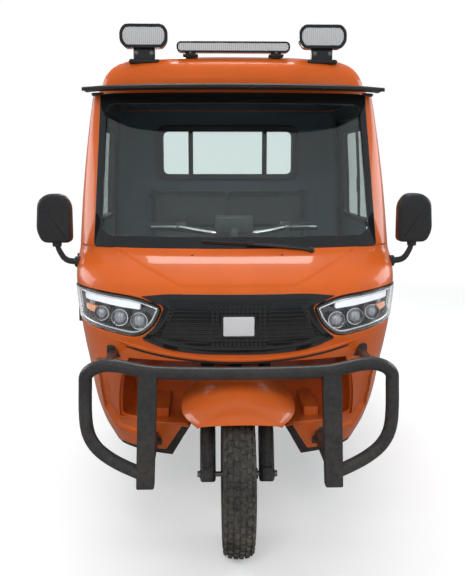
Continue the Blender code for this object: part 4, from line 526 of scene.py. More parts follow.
def soft_prism(outline, axis, low, high, edge=0.004, rings=3, finish=0):
    """An outline carried along an axis, with both its ends rounded. Its numbers are the other axes in order."""
    outline = counter_clockwise(unique_points(np.asarray(outline, float)))
    levels = [
        (low + edge * (1 - math.cos(t)), -edge * (1 - math.sin(t)))
        for t in np.linspace(0, math.pi / 2, rings + 1)
    ]
    levels += [(high - (level - low), shift) for level, shift in reversed(levels)]
    order = {
        "x": lambda ring, level: np.stack([np.full(len(ring), level), ring[:, 0], ring[:, 1]], 1),
        "y": lambda ring, level: np.stack([ring[:, 0], np.full(len(ring), level), ring[:, 1]], 1),
        "z": lambda ring, level: np.stack([ring[:, 0], ring[:, 1], np.full(len(ring), level)], 1)
    }[axis]
    points = np.concatenate([order(grown(outline, shift), level) for level, shift in levels])
    size, rows = len(outline), len(levels)
    faces = grid_faces(rows, size)
    faces += [list(range(size))[::-1], list(range((rows - 1) * size, rows * size))]
    if axis == "y":
        faces = [face[::-1] for face in faces]
    return Shape().add(points, faces, finish)


def soft_box(low, high, edge=0.004, corner=None, axis="z", rings=2, finish=0):
    """A box with rounded edges."""
    low, high = np.minimum(low, high), np.maximum(low, high)
    index = "xyz".index(axis)
    others = [number for number in range(3) if number != index]
    outline = rectangle(low[others], high[others])
    outline = corner_rounded(outline, corner or edge, 3 if corner is None or corner < 0.01 else 5)
    return soft_prism(outline, axis, low[index], high[index], edge, rings, finish)


def lathe(profile, centre, axis="x", steps=48, close=True, finish=0, caps=False):
    """A profile of (along, radius) points turned about an axis through a centre."""
    profile = np.asarray(profile, float)
    turn = np.arange(steps) / steps * math.tau
    along = np.repeat(profile[None, :, 0], steps, 0)
    first = profile[None, :, 1] * np.cos(turn)[:, None]
    second = profile[None, :, 1] * np.sin(turn)[:, None]
    parts = {"x": (along, first, second), "y": (second, along, first), "z": (first, second, along)}[axis]
    points = np.stack(parts, -1).reshape(-1, 3) + np.asarray(centre, float)
    faces = [face[::-1] for face in grid_faces(steps, len(profile), wrap=close, close=True)]
    size = len(profile)
    if caps:
        faces += [
            [row * size for row in range(steps)][::-1], [row * size + size - 1 for row in range(steps)]
        ]
    return Shape().add(points, faces, finish)


def turned_to(shape, origin, direction):
    """A shape made along +Z, moved to an origin and turned to a direction."""
    turn = Vector((0, 0, 1)).rotation_difference(Vector(direction).normalized()).to_matrix().to_4x4()
    return shape.moved(Matrix.Translation(Vector(origin)) @ turn)


def filleted(path, radius, steps=6):
    """An open path with its bends rounded."""
    path = [Vector(point) for point in path]
    result = [path[0]]
    for before, here, after in zip(path, path[1:], path[2:]):
        into, out = before - here, after - here
        reach = min(radius, into.length * 0.49, out.length * 0.49)
        first, last = here + into.normalized() * reach, here + out.normalized() * reach
        for step in range(steps + 1):
            part = step / steps
            result.append(first * (1 - part) ** 2 + here * 2 * part * (1 - part) + last * part**2)
    return result + [path[-1]]


def curved(points, per_span=6):
    """A smooth open path through points."""
    points = [np.asarray(point, float) for point in points]
    padded = [2 * points[0] - points[1], *points, 2 * points[-1] - points[-2]]
    result = []
    for a, b, c, d in zip(padded, padded[1:], padded[2:], padded[3:]):
        for step in range(per_span):
            t = step / per_span
            result.append(
                0.5
                * (
                    2 * b + (c - a) * t + (2 * a - 5 * b + 4 * c - d) * t**2
                    + (3 * b - a - 3 * c + d) * t**3
                )
            )
    return result + [points[-1]]


def swept(path, section, closed=False, finish=0, up=None, sizes=None, dome=True):
    """A closed section of (across, up) points carried along a path."""
    path = np.array([tuple(point) for point in path], float)
    section = np.asarray(section, float)
    before, after = np.roll(path, 1, axis=0), np.roll(path, -1, axis=0)
    if not closed:
        before[0], after[-1] = path[0], path[-1]
    along = after - before
    along /= np.linalg.norm(along, axis=1)[:, None]
    if up is None:
        seed = np.eye(3)[np.argmin(np.abs(along[0]))]
    else:
        seed = np.asarray(up, float)
    rings = []
    for index, direction in enumerate(along):
        if up is not None:
            seed = np.asarray(up, float)
        seed = seed - direction * seed.dot(direction)
        seed /= np.linalg.norm(seed)
        side = np.cross(direction, seed)
        size = 1 if sizes is None else sizes[index]
        rings.append(path[index] + (section[:, :1] * side + section[:, 1:] * seed) * size)
    count = len(section)
    if not closed and dome:
        for end, sign in ((0, -1), (len(rings) - 1, 1)):
            reach = np.abs(section).max() * (1 if sizes is None else sizes[end])
            tip = [
                path[end] + (
                    rings[end] - path[end]
                ) * math.cos(t) + along[end] * sign * reach * 0.35 * math.sin(t)
                for t in (0.45, 0.9, 1.3)
            ]
            rings = tip[::-1] + rings if end == 0 else rings + tip
    points = np.concatenate(rings)
    faces = [face[::-1] for face in grid_faces(len(rings), count, close=closed)]
    if not closed:
        faces += [list(range(count)), list(range(len(points) - count, len(points)))[::-1]]
    return Shape().add(points, faces, finish)


def bar(path, radius, steps=16, closed=False, finish=0, sizes=None, dome=True):
    """A round bar along a path."""
    return swept(path, circle((0, 0), radius, steps), closed, finish, sizes=sizes, dome=dome)


def skin_line(line, out, radius, closed=False, steps=8, finish=0):
    """A round cord laid along a flat line on the cab's skin."""
    line = np.asarray(line, float)
    return bar(skin(line[:, 0], line[:, 1], out), radius, steps, closed, finish)


def bolt(place, direction, size=0.008, finish=0):
    """A hexagonal bolt head on its washer."""
    washer = [(0, size / 9), (0, size * 1.25), (size * 0.22, size * 1.25), (size * 0.25, size / 9)]
    head = lathe(washer, (0, 0, 0), "z", 18, False, finish, True)
    body = soft_prism(circle((0, 0), size, 6), "z", size * 0.2, size * 0.95, size * 0.14, 2, finish)
    return turned_to(head.join(body), place, direction)


def dome(place, direction, radius, height, steps=16, finish=0):
    """A round rivet or button."""
    profile = [(-height, radius / 9), (-height, radius), (0, radius)]
    profile += [(height * math.sin(t), radius * math.cos(t)) for t in np.linspace(0.25, 1.45, 5)]
    return turned_to(lathe(profile, (0, 0, 0), "z", steps, False, finish, True), place, direction)


# Objects

def finish_piece(name, shape, body, paints, replaces=(), angle=38):
    """Makes an object of a shape, hangs it on its body and gives it its finishes."""
    mesh = bpy.data.meshes.new(name)
    mesh.from_pydata(shape.points, [], shape.faces)
    paints = [paints] if isinstance(paints, str) else paints
    for paint in paints:
        mesh.materials.append(material(paint))
    mesh.polygons.foreach_set("material_index", shape.finishes)
    mesh.shade_smooth()
    mesh.set_sharp_from_angle(angle=math.radians(angle))
    normals = np.array(shape.normals)
    if np.abs(normals).max() > 0:
        mesh.normals_split_custom_set_from_vertices(normals)
    obj = bpy.data.objects.new(name, mesh)
    bpy.context.scene.collection.objects.link(obj)
    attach(obj, body)
    if replaces:
        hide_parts(*([replaces] if isinstance(replaces, str) else replaces))
    return obj


def finish_pair(name, shape, body, paints, replaces="", angle=38):
    """Makes the left piece and its mirror image; {} in a name stands for the side."""
    for side, form in (("left", shape), ("right", shape.copy_mirrored())):
        nodes = [node.format(side) for node in replaces.split()]
        finish_piece(name.format(side), form, body.format(side), paints, nodes, angle)


# Materials

def wired(tree, kind, inputs=None, **settings):
    """One node with its settings; an input that is a socket is linked, and any other is set."""
    made = tree.nodes.new(kind)
    for key, value in settings.items():
        setattr(made, key, value)
    for key, value in (inputs or {}).items():
        socket = made.inputs[key]
        if isinstance(value, bpy.types.NodeSocket):
            tree.links.new(value, socket)
        elif isinstance(value, tuple) and len(value) == 3 and socket.type == "RGBA":
            socket.default_value = (*value, 1)
        else:
            socket.default_value = value
    return made


def effect(name, inputs, outputs):
    """A new node group with its sockets, ready to be wired: (tree, input node, output node)."""
    tree = bpy.data.node_groups.new(name, "ShaderNodeTree")
    for direction, sockets in (("INPUT", inputs), ("OUTPUT", outputs)):
        for socket, (kind, default) in sockets.items():
            made = tree.interface.new_socket(socket, in_out=direction, socket_type=f"NodeSocket{kind}")
            if default is not None:
                made.default_value = default
    return tree, tree.nodes.new("NodeGroupInput"), tree.nodes.new("NodeGroupOutput")


def where(tree):
    """The place on the piece, in metres."""
    return wired(tree, "ShaderNodeTexCoord").outputs["Object"]


def maths(tree, operation, first, second=0.0, third=0.0, clamp=False):
    made = wired(
        tree, "ShaderNodeMath", {0: first, 1: second, 2: third}, operation=operation, use_clamp=clamp
    )
    return made.outputs[0]


def ramp(tree, value, low, high, start=0.0, end=1.0):
    made = wired(
        tree, "ShaderNodeMapRange",
        {"Value": value, "From Min": low, "From Max": high, "To Min": start, "To Max": end}
    )
    return made.outputs[0]


def noise(tree, vector, scale, detail=2.0, roughness=0.5):
    inputs = {"Vector": vector, "Scale": scale, "Detail": detail, "Roughness": roughness}
    return wired(tree, "ShaderNodeTexNoise", inputs).outputs["Fac"]


def blended(tree, factor, first, second):
    made = wired(tree, "ShaderNodeMix", {0: factor, 6: first, 7: second}, data_type="RGBA")
    return made.outputs[2]


def make_grain():
    """Fine moulded or powder-coated grain, as a height."""
    tree, put, out = effect(
        "fine_grain", {"Scale": ("Float", 900.0), "Softness": ("Float", 0.5)},
        {"Height": ("Float", None), "Tone": ("Float", None)}
    )
    here = where(tree)
    fine = noise(tree, here, put.outputs["Scale"], 3.0, put.outputs["Softness"])
    broad = noise(tree, here, 9.0, 3.0)
    tree.links.new(fine, out.inputs["Height"])
    tree.links.new(broad, out.inputs["Tone"])
    return tree


def make_dust():
    """Road dust that lies thicker low down, and in soft patches."""
    tree, put, out = effect(
        "road_dust",
        {
            "Colour": ("Color", (0.5, 0.5, 0.5, 1)), "Dust": ("Color", (0.32, 0.28, 0.23, 1)),
            "Amount": ("Float", 0.2), "Low": ("Float", 0.1), "High": ("Float", 0.9),
            "Clean": ("Float", 0.3), "Dull": ("Float", 0.7)
        },
        {"Colour": ("Color", None), "Roughness": ("Float", None), "Mask": ("Float", None)},
    )
    here = where(tree)
    height = wired(tree, "ShaderNodeSeparateXYZ", {0: here}).outputs["Z"]
    lowness = wired(
        tree, "ShaderNodeMapRange",
        {"Value": height, "From Min": put.outputs["High"], "From Max": put.outputs["Low"]}
    ).outputs[0]
    patches = maths(tree, "MULTIPLY", noise(tree, here, 7.0, 5.0, 0.65), noise(tree, here, 60.0, 4.0, 0.6))
    patches = ramp(tree, patches, 0.12, 0.42)
    mask = maths(
        tree, "MULTIPLY", maths(tree, "MULTIPLY", patches, maths(tree, "ADD", lowness, 0.15)),
        put.outputs["Amount"], clamp=True
    )
    tree.links.new(blended(tree, mask, put.outputs["Colour"], put.outputs["Dust"]), out.inputs["Colour"])
    rough = wired(
        tree, "ShaderNodeMapRange",
        {"Value": mask, "To Min": put.outputs["Clean"], "To Max": put.outputs["Dull"]}
    ).outputs[0]
    tree.links.new(rough, out.inputs["Roughness"])
    tree.links.new(mask, out.inputs["Mask"])
    return tree


def make_peel():
    """The slow waviness of sprayed paint, as a height."""
    tree, put, out = effect("orange_peel", {"Scale": ("Float", 220.0)}, {"Height": ("Float", None)})
    here = where(tree)
    wave = maths(
        tree, "ADD", noise(tree, here, put.outputs["Scale"], 1.0),
        maths(tree, "MULTIPLY", noise(tree, here, 14.0, 1.0), 1.6)
    )
    tree.links.new(wave, out.inputs["Height"])
    return tree


def make_scuffs():
    """Scratches in two directions with worn patches, as a mask."""
    tree, put, out = effect(
        "scuffs", {"Amount": ("Float", 0.5), "Scale": ("Float", 1.0)}, {"Mask": ("Float", None)}
    )
    here = where(tree)
    masks = []
    for stretch in ((240, 9, 240), (11, 260, 200)):
        scaled = wired(tree, "ShaderNodeVectorMath", {0: here, 1: stretch}, operation="MULTIPLY").outputs[0]
        scaled = wired(
            tree, "ShaderNodeVectorMath", {0: scaled, "Scale": put.outputs["Scale"]}, operation="SCALE"
        ).outputs[0]
        line = noise(tree, scaled, 1.0, 3.0, 0.7)
        masks.append(ramp(tree, line, 0.66, 0.74))
    both = maths(tree, "MAXIMUM", masks[0], masks[1])
    patches = ramp(tree, noise(tree, here, 5.0, 4.0, 0.6), 0.42, 0.66)
    tree.links.new(
        maths(tree, "MULTIPLY", maths(tree, "MULTIPLY", both, patches), put.outputs["Amount"], clamp=True),
        out.inputs["Mask"]
    )
    return tree


def make_brushed():
    """The fine lines of drawn or polished metal, as a height and a roughness."""
    tree, put, out = effect(
        "brushed", {"Scale": ("Float", 1.0), "Smooth": ("Float", 0.15), "Rough": ("Float", 0.4)},
        {"Height": ("Float", None), "Roughness": ("Float", None)}
    )
    here = where(tree)
    scaled = wired(
        tree, "ShaderNodeVectorMath", {0: here, 1: (40, 900, 900)}, operation="MULTIPLY"
    ).outputs[0]
    scaled = wired(
        tree, "ShaderNodeVectorMath", {0: scaled, "Scale": put.outputs["Scale"]}, operation="SCALE"
    ).outputs[0]
    line = noise(tree, scaled, 1.0, 2.0)
    tree.links.new(line, out.inputs["Height"])
    rough = wired(
        tree, "ShaderNodeMapRange",
        {
            "Value": noise(tree, here, 18.0, 4.0), "To Min": put.outputs["Smooth"],
            "To Max": put.outputs["Rough"]
        }
    ).outputs[0]
    tree.links.new(rough, out.inputs["Roughness"])
    return tree


def make_hide():
    """Embossed leathercloth: pebbles between fine creases, as a height and a tone."""
    tree, put, out = effect(
        "pebbled_hide", {"Scale": ("Float", 260.0)}, {"Height": ("Float", None), "Tone": ("Float", None)}
    )
    here = where(tree)
    swirl = wired(tree, "ShaderNodeTexNoise", {"Vector": here, "Scale": 90.0}).outputs["Color"]
    bent = wired(
        tree, "ShaderNodeVectorMath", {0: swirl, 1: (0.004, 0.004, 0.004), 2: here},
        operation="MULTIPLY_ADD"
    )
    cells = wired(
        tree, "ShaderNodeTexVoronoi", {"Vector": bent.outputs[0], "Scale": put.outputs["Scale"]},
        feature="DISTANCE_TO_EDGE"
    )
    pebble = ramp(tree, cells.outputs["Distance"], 0.0, 0.22)
    tree.links.new(pebble, out.inputs["Height"])
    tree.links.new(noise(tree, here, 6.0, 4.0), out.inputs["Tone"])
    return tree


EFFECTS = {
    "fine_grain": make_grain,
    "road_dust": make_dust,
    "orange_peel": make_peel,
    "scuffs": make_scuffs,
    "brushed": make_brushed,
    "pebbled_hide": make_hide,
}


def placed(tree, name, **values):
    """An effect placed in a material with its own values; a name's underscores stand for spaces."""
    group = bpy.data.node_groups.get(name) or EFFECTS[name]()
    inputs = {key.replace("_", " "): value for key, value in values.items()}
    return wired(tree, "ShaderNodeGroup", inputs, node_tree=group)


def bumped(tree, height, distance, strength=1.0, after=None):
    inputs = {"Height": height, "Distance": distance, "Strength": strength}
    if after is not None:
        inputs["Normal"] = after
    return wired(tree, "ShaderNodeBump", inputs).outputs["Normal"]


def new_material(name, colour, **settings):
    """A Principled material with constants on its own sockets: (material, tree, shader)."""
    made = bpy.data.materials.new(name)
    made.use_nodes = True
    tree = made.node_tree
    shader = tree.nodes["Principled BSDF"]
    shader.inputs["Base Color"].default_value = (*colour, 1)
    made.diffuse_color = (*colour, 1)
    for key, value in settings.items():
        shader.inputs[key.replace("_", " ")].default_value = value
    return made, tree, shader


def gloss_paint(name, colour):
    """Two-layer body paint: colour under clear coat, with a little waviness and dust."""
    made, tree, shader = new_material(
        name, colour, Metallic=0.0, Coat_Weight=0.5, Coat_Roughness=0.05, Specular_IOR_Level=0.3
    )
    tone = placed(tree, "fine_grain", Scale=1500.0)
    deep = tuple(part * 0.90 for part in colour)
    colours = blended(tree, tone.outputs["Tone"], deep, tuple(min(part * 1.08, 1) for part in colour))
    dust = placed(tree, "road_dust", Colour=colours, Amount=0.16, Low=0.30, High=1.1, Clean=0.34, Dull=0.6)
    peel = placed(tree, "orange_peel", Scale=210.0)
    tree.links.new(dust.outputs["Colour"], shader.inputs["Base Color"])
    tree.links.new(dust.outputs["Roughness"], shader.inputs["Roughness"])
    tree.links.new(bumped(tree, peel.outputs["Height"], 0.00012, 0.5), shader.inputs["Normal"])
    return made


def coated(
    name, colour, rough, grain, dust, metallic=0.0, coat=0.0, tone=0.25, height=0.0002, specular=0.5
):
    """Powder coat, moulded plastic or rubber: a fine grain, patchy tone and dust."""
    made, tree, shader = new_material(
        name, colour, Metallic=metallic, Coat_Weight=coat, Specular_IOR_Level=specular
    )
    fine = placed(tree, "fine_grain", Scale=grain)
    dark = tuple(part * (1 - tone) for part in colour)
    light = tuple(min(part * (1 + tone) + 0.002, 1) for part in colour)
    colours = blended(tree, fine.outputs["Tone"], dark, light)
    film = placed(
        tree, "road_dust", Colour=colours, Amount=dust, Low=0.05, High=0.95, Clean=rough,
        Dull=min(rough + 0.3, 0.95)
    )
    tree.links.new(film.outputs["Colour"], shader.inputs["Base Color"])
    tree.links.new(film.outputs["Roughness"], shader.inputs["Roughness"])
    tree.links.new(bumped(tree, fine.outputs["Height"], height, 0.6), shader.inputs["Normal"])
    return made


def bed_coat(name, colour, bare=(0.30, 0.29, 0.28), amount=0.75):
    """Bed paint with a load's scratches down to the metal."""
    made, tree, shader = new_material(name, colour)
    fine = placed(tree, "fine_grain", Scale=700.0)
    scuffs = placed(tree, "scuffs", Amount=amount)
    dark = tuple(part * 0.8 for part in colour)
    colours = blended(tree, fine.outputs["Tone"], dark, tuple(part * 1.2 for part in colour))
    worn = blended(tree, scuffs.outputs["Mask"], colours, bare)
    film = placed(tree, "road_dust", Colour=worn, Amount=0.35, Low=0.3, High=1.3, Clean=0.42, Dull=0.8)
    tree.links.new(film.outputs["Colour"], shader.inputs["Base Color"])
    tree.links.new(film.outputs["Roughness"], shader.inputs["Roughness"])
    tree.links.new(scuffs.outputs["Mask"], shader.inputs["Metallic"])
    depth = maths(
        tree, "SUBTRACT", maths(tree, "MULTIPLY", fine.outputs["Height"], 0.25), scuffs.outputs["Mask"]
    )
    tree.links.new(bumped(tree, depth, 0.0003, 0.6), shader.inputs["Normal"])
    return made


def metal(name, colour, smooth, rough, scale=1.0, dust=0.1):
    """Bare, plated or drawn metal."""
    made, tree, shader = new_material(name, colour, Metallic=1.0)
    lines = placed(tree, "brushed", Scale=scale, Smooth=smooth, Rough=rough)
    film = placed(
        tree, "road_dust", Colour=colour, Amount=dust, Low=0.05, High=0.9, Clean=smooth, Dull=rough + 0.2
    )
    tree.links.new(film.outputs["Colour"], shader.inputs["Base Color"])
    tree.links.new(lines.outputs["Roughness"], shader.inputs["Roughness"])
    tree.links.new(bumped(tree, lines.outputs["Height"], 0.00004, 0.4), shader.inputs["Normal"])
    return made


def hide_cover(name, colour):
    """Leathercloth of the seat, with painted shade that darkens the creases between its pebbles."""
    made, tree, shader = new_material(name, colour, Sheen_Weight=0.15, Sheen_Roughness=0.5)
    hide = placed(tree, "pebbled_hide", Scale=300.0)
    worn = tuple(part * 1.9 + 0.01 for part in colour)
    colours = blended(tree, hide.outputs["Tone"], colour, worn)
    # Painted shade: the pebbles' height also darkens the colour in the creases between them.
    tree.links.new(
        blended(tree, hide.outputs["Height"], tuple(part * 0.55 for part in colour), colours),
        shader.inputs["Base Color"]
    )
    tree.links.new(ramp(tree, hide.outputs["Tone"], 0.3, 0.7, 0.42, 0.62), shader.inputs["Roughness"])
    tree.links.new(bumped(tree, hide.outputs["Height"], 0.0004, 0.7), shader.inputs["Normal"])
    return made


def see_through(name, colour, rough=0.0, dusty=0.0):
    """Clear glass or a clear lens, which lets plain light through to what is behind it."""
    made, tree, shader = new_material(
        name, colour, Transmission_Weight=1.0, Roughness=rough, IOR=1.45, Metallic=0.0
    )
    output = tree.nodes["Material Output"]
    path = wired(tree, "ShaderNodeLightPath")
    clear = wired(tree, "ShaderNodeBsdfTransparent", {"Color": colour})
    mixed = wired(
        tree, "ShaderNodeMixShader",
        {0: path.outputs["Is Shadow Ray"], 1: shader.outputs[0], 2: clear.outputs[0]}
    )
    tree.links.new(mixed.outputs[0], output.inputs["Surface"])
    if dusty:
        film = placed(
            tree, "road_dust", Colour=colour, Amount=dusty, Low=0.9, High=1.7, Clean=rough, Dull=0.3
        )
        tree.links.new(film.outputs["Roughness"], shader.inputs["Roughness"])
    else:
        wave = placed(tree, "orange_peel", Scale=30.0)
        tree.links.new(bumped(tree, wave.outputs["Height"], 0.0001, 0.2), shader.inputs["Normal"])
    return made


def tinted(name, colour, glow, ribs=0.0):
    """A coloured or frosted lens over a lamp. With ribs, its colour is darker in the rib grooves, which is
    painted shade.
    """
    made, tree, shader = new_material(
        name, colour, Roughness=0.12, Coat_Weight=1.0, Coat_Roughness=0.03, Emission_Strength=glow,
        Subsurface_Weight=0.0
    )
    shader.inputs["Emission Color"].default_value = (*colour, 1)
    here = where(tree)
    if ribs:
        wave = wired(
            tree, "ShaderNodeTexWave", {"Vector": here, "Scale": ribs, "Distortion": 0.0},
            bands_direction="X"
        ).outputs["Fac"]
        # Painted shade: the colour darkens in the rib grooves, where the bump sinks.
        colours = blended(tree, wave, tuple(part * 0.72 for part in colour), colour)
        tree.links.new(bumped(tree, wave, 0.0012, 0.8), shader.inputs["Normal"])
    else:
        fine = placed(tree, "fine_grain", Scale=500.0)
        colours = blended(tree, fine.outputs["Tone"], tuple(part * 0.85 for part in colour), colour)
        tree.links.new(bumped(tree, fine.outputs["Height"], 0.0002, 0.3), shader.inputs["Normal"])
    tree.links.new(colours, shader.inputs["Base Color"])
    return made


def seen_directly(tree):
    """1 for what the camera sees, also through glass, and 0 for light that only bounces."""
    path = wired(tree, "ShaderNodeLightPath")
    return maths(tree, "MAXIMUM", path.outputs["Is Camera Ray"], path.outputs["Is Transmission Ray"])


def studio_floor(name, colour):
    """A pale floor that fades to white far away and throws little of its light back on the vehicle."""
    made, tree, shader = new_material(
        name, colour, Roughness=0.9, Specular_IOR_Level=0.1, Emission_Strength=1.0
    )
    fine = placed(tree, "fine_grain", Scale=40.0)
    tone = blended(tree, fine.outputs["Tone"], tuple(part * 0.985 for part in colour), colour)
    far = ramp(
        tree, wired(tree, "ShaderNodeVectorMath", {0: where(tree)}, operation="LENGTH").outputs["Value"],
        2.6, 6.5
    )
    tree.links.new(blended(tree, far, tone, (0.0, 0.0, 0.0)), shader.inputs["Base Color"])
    tree.links.new(blended(tree, far, (0.26, 0.26, 0.26), (1.0, 1.0, 1.0)), shader.inputs["Emission Color"])
    dull = wired(tree, "ShaderNodeBsdfDiffuse", {"Color": (0.30, 0.29, 0.28)})
    mixed = wired(
        tree, "ShaderNodeMixShader", {0: seen_directly(tree), 1: dull.outputs[0], 2: shader.outputs[0]}
    )
    tree.links.new(mixed.outputs[0], tree.nodes["Material Output"].inputs["Surface"])
    return made


def finish_table():
    """How each finish is made, with the colours that a user has chosen."""
    colours = bpy.context.scene.tricycle_colours
    body = tuple(colours.body)
    dark = tuple(colours.dark)
    return {
        "orange_paint": lambda name: gloss_paint(name, body),
        "black_paint": lambda name: coated(
            name, dark, 0.38, 620.0, 0.25, coat=0.15, tone=0.3, height=0.00025
        ),
        "black_plastic": lambda name: coated(
            name, (0.020, 0.021, 0.023), 0.42, 1100.0, 0.22, height=0.0002
        ),
        "gloss_black": lambda name: coated(
            name, (0.008, 0.009, 0.010), 0.12, 300.0, 0.10, coat=0.6, height=0.00003
        ),
        "dull_black": lambda name: coated(name, (0.012, 0.012, 0.013), 0.8, 500.0, 0.4),
        "trim": lambda name: coated(name, tuple(colours.trim), 0.62, 800.0, 0.08, tone=0.15),
        "rubber": lambda name: coated(name, (0.016, 0.016, 0.016), 0.6, 1400.0, 0.15),
        "tyre": lambda name: coated(
            name, tuple(colours.tyre), 0.78, 420.0, 0.5, tone=0.35, height=0.0006, specular=0.35
        ),
        "mat": lambda name: coated(name, (0.03, 0.03, 0.03), 0.75, 240.0, 0.5, height=0.0006),
        "cast": lambda name: coated(
            name, (0.20, 0.20, 0.20), 0.45, 380.0, 0.3, metallic=0.7, height=0.0004
        ),
        "rim": lambda name: coated(
            name, tuple(colours.rim), 0.32, 900.0, 0.35, metallic=0.6, coat=0.3, height=0.0001
        ),
        "bed_paint": lambda name: bed_coat(name, tuple(colours.bed)),
        "bed_floor_paint": lambda name: bed_coat(name, tuple(colours.bed), amount=1.0),
        "steel": lambda name: metal(name, (0.46, 0.46, 0.45), 0.22, 0.5, dust=0.3),
        "spring_steel": lambda name: coated(
            name, (0.05, 0.048, 0.046), 0.5, 300.0, 0.5, metallic=0.6, height=0.0004
        ),
        "chrome": lambda name: metal(name, (0.80, 0.80, 0.80), 0.05, 0.16, 0.4, 0.05),
        "silver": lambda name: metal(name, (0.62, 0.63, 0.64), 0.16, 0.30, 0.5, 0.06),
        "reflector": lambda name: metal(name, (0.70, 0.71, 0.73), 0.08, 0.2, 0.3, 0.0),
        "mirror_glass": lambda name: metal(name, (0.88, 0.89, 0.90), 0.01, 0.04, 0.1, 0.0),
        "brass": lambda name: metal(name, (0.60, 0.42, 0.18), 0.2, 0.4, 1.0, 0.1),
        "seat": lambda name: hide_cover(name, tuple(colours.seat)),
        "glass": lambda name: see_through(name, tuple(colours.glass), 0.0),
        "lens": lambda name: see_through(name, (0.95, 0.96, 0.97), 0.01),
        "led": lambda name: tinted(name, (0.80, 0.82, 0.86), 0.05),
        "lamp_face": lambda name: tinted(name, (0.20, 0.21, 0.23), 0.03, 26.0),
        "work_face": lambda name: tinted(name, (0.62, 0.64, 0.67), 0.12, 26.0),
        "plate_white": lambda name: tinted(name, (0.78, 0.78, 0.80), 0.0),
        "red_lens": lambda name: tinted(name, (0.50, 0.012, 0.010), 0.05, 40.0),
        "amber_lens": lambda name: tinted(name, (0.75, 0.22, 0.01), 0.05, 40.0),
        "clear_lens": lambda name: tinted(name, (0.70, 0.71, 0.72), 0.0, 40.0),
        "screen": lambda name: tinted(name, (0.01, 0.015, 0.02), 0.0),
        "cable_orange": lambda name: coated(name, (0.55, 0.14, 0.01), 0.5, 500.0, 0.1),
        "floor": lambda name: studio_floor(name, tuple(colours.floor)),
    }


def material(name):
    """A finish by its name, made the first time that a piece asks for it."""
    return bpy.data.materials.get("finish_" + name) or finish_table()[name]("finish_" + name)


# Sizes and colours that a user would change

def size(name, description, default, low=0.0, high=1.0):
    return bpy.props.FloatProperty(
        name=name, description=description, default=default, min=low, max=high, unit="LENGTH",
        subtype="DISTANCE"
    )


def colour(name, description, default):
    return bpy.props.FloatVectorProperty(
        name=name, description=description, default=default, min=0.0, max=1.0, size=3, subtype="COLOR"
    )


class TricycleSizes(bpy.types.PropertyGroup):
    """Sizes of the dressed pieces."""
    shell: size("Shell", "Thickness of the painted cab panels", 0.010, 0.003, 0.024)
    door: size("Door", "Thickness of a door", 0.028, 0.010, 0.030)
    panel_edge: size("Panel edge", "Radius of the rolled edge of a cab panel", 0.0035, 0.001, 0.006)
    pocket: size("Pocket", "Depth of the pressed pockets beside the wheel arch", 0.014, 0.0, 0.02)
    crown: size("Bonnet crown", "How far the bonnet stands proud between its creases", 0.004, 0.0, 0.01)
    screen_band: size(
        "Screen band", "Width of the black band at the sides of the windscreen", 0.028, 0.01, 0.06
    )
    bar: size("Bull bar", "Radius of the bull bar's tube", 0.0225, 0.015, 0.024)
    knob: size("Tread knob", "Height of the front tyre's tread knobs", 0.009, 0.003, 0.015)
    groove: size("Tread groove", "Depth of the rear tyres' tread", 0.008, 0.003, 0.012)
    seat_swell: size("Seat swell", "How far a seat pad may swell past its cut shape", 0.020, 0.005, 0.03)
    light: bpy.props.FloatProperty(
        name="Light", description="Strength of the studio lights, as a share", default=1.0, min=0.0, max=4.0
    )


class TricycleColours(bpy.types.PropertyGroup):
    """Colours of the finishes."""
    body: colour("Body", "Orange body paint", (0.730, 0.125, 0.010))
    dark: colour("Frame", "Black coat of the chassis, fork and bull bar", (0.022, 0.022, 0.024))
    bed: colour("Bed", "Blue-grey paint of the tipping bed", (0.036, 0.046, 0.060))
    trim: colour("Trim", "Moulded trim inside the cab", (0.052, 0.072, 0.092))
    seat: colour("Seat", "Leathercloth of the seat", (0.022, 0.023, 0.026))
    tyre: colour("Tyre", "Rubber of the tyres", (0.026, 0.027, 0.027))
    rim: colour("Rim", "Paint of the wheel rims", (0.055, 0.056, 0.060))
    glass: colour("Glass", "Tint of the windows", (0.80, 0.87, 0.86))
    floor: colour("Floor", "Pale studio floor", (0.86, 0.86, 0.86))


# Front of the cab

POCKET = spread(
    ((0, 0.06), (0.10, 0), (0.62, 0.05), (0.90, 0.30), (1, 0.95), (0.92, 1), (0.06, 1)), (0.345, 0.430),
    (0.510, 0.725)
)
BONNET = np.array(
    ((-0.20, 1.010), (0.20, 1.010), (0.46, 1.128), (0.46, 1.20), (-0.46, 1.20), (-0.46, 1.128))
)
HEADLIGHT = spread(
    ((0, 0.66), (0.079, 0.27), (0.233, 0), (0.630, 0.12), (1, 0.32), (1, 1), (0.233, 0.85)), (0.262, 0.826),
    (0.640, 0.994)
)
GRILLE = spread(
    (
        (0.38, 0), (0.75, 0.07), (1, 0.235), (0.853, 0.438), (0.762, 0.757), (0.785, 0.815), (1, 0.945),
        (0.72, 1)
    ),
    (0, 0.776), (0.334, 0.986)
)
SWEEP = 0.437
RECESS_LOW = 0.492
ARCH_TOP = 0.745


def steering_point(along, forward=0.0, across=0.0):
    """A point by its distance up the raked steering axis, ahead of it and to the side."""
    up = Vector((0, math.sin(RAKE), math.cos(RAKE)))
    ahead = Vector((0, -math.cos(RAKE), math.sin(RAKE)))
    return FRONT_AXLE + up * along + ahead * (forward - FORK_OFFSET) + Vector((across, 0, 0))


def axis_y(level):
    """Where the steering axis passes a height."""
    foot = steering_point(0)
    return foot.y + (level - foot.z) * math.tan(RAKE)


def front_at(x, z, out=0.0):
    """The y of the shell's front at one place of the front view."""
    level = np.array([z])
    return float(skin(around_at_x(np.array([x]), level), level, out)[0, 1])


def recess_x(level):
    """Half width of the recess that the steered wheel turns in, where it meets the skin."""
    low, high = 0.20, 0.55
    for _ in range(30):
        middle = (low + high) / 2
        within = math.hypot(middle, (front_at(middle, level) - axis_y(level)) * math.cos(RAKE)) < SWEEP
        low, high = (middle, high) if within else (low, middle)
    return low


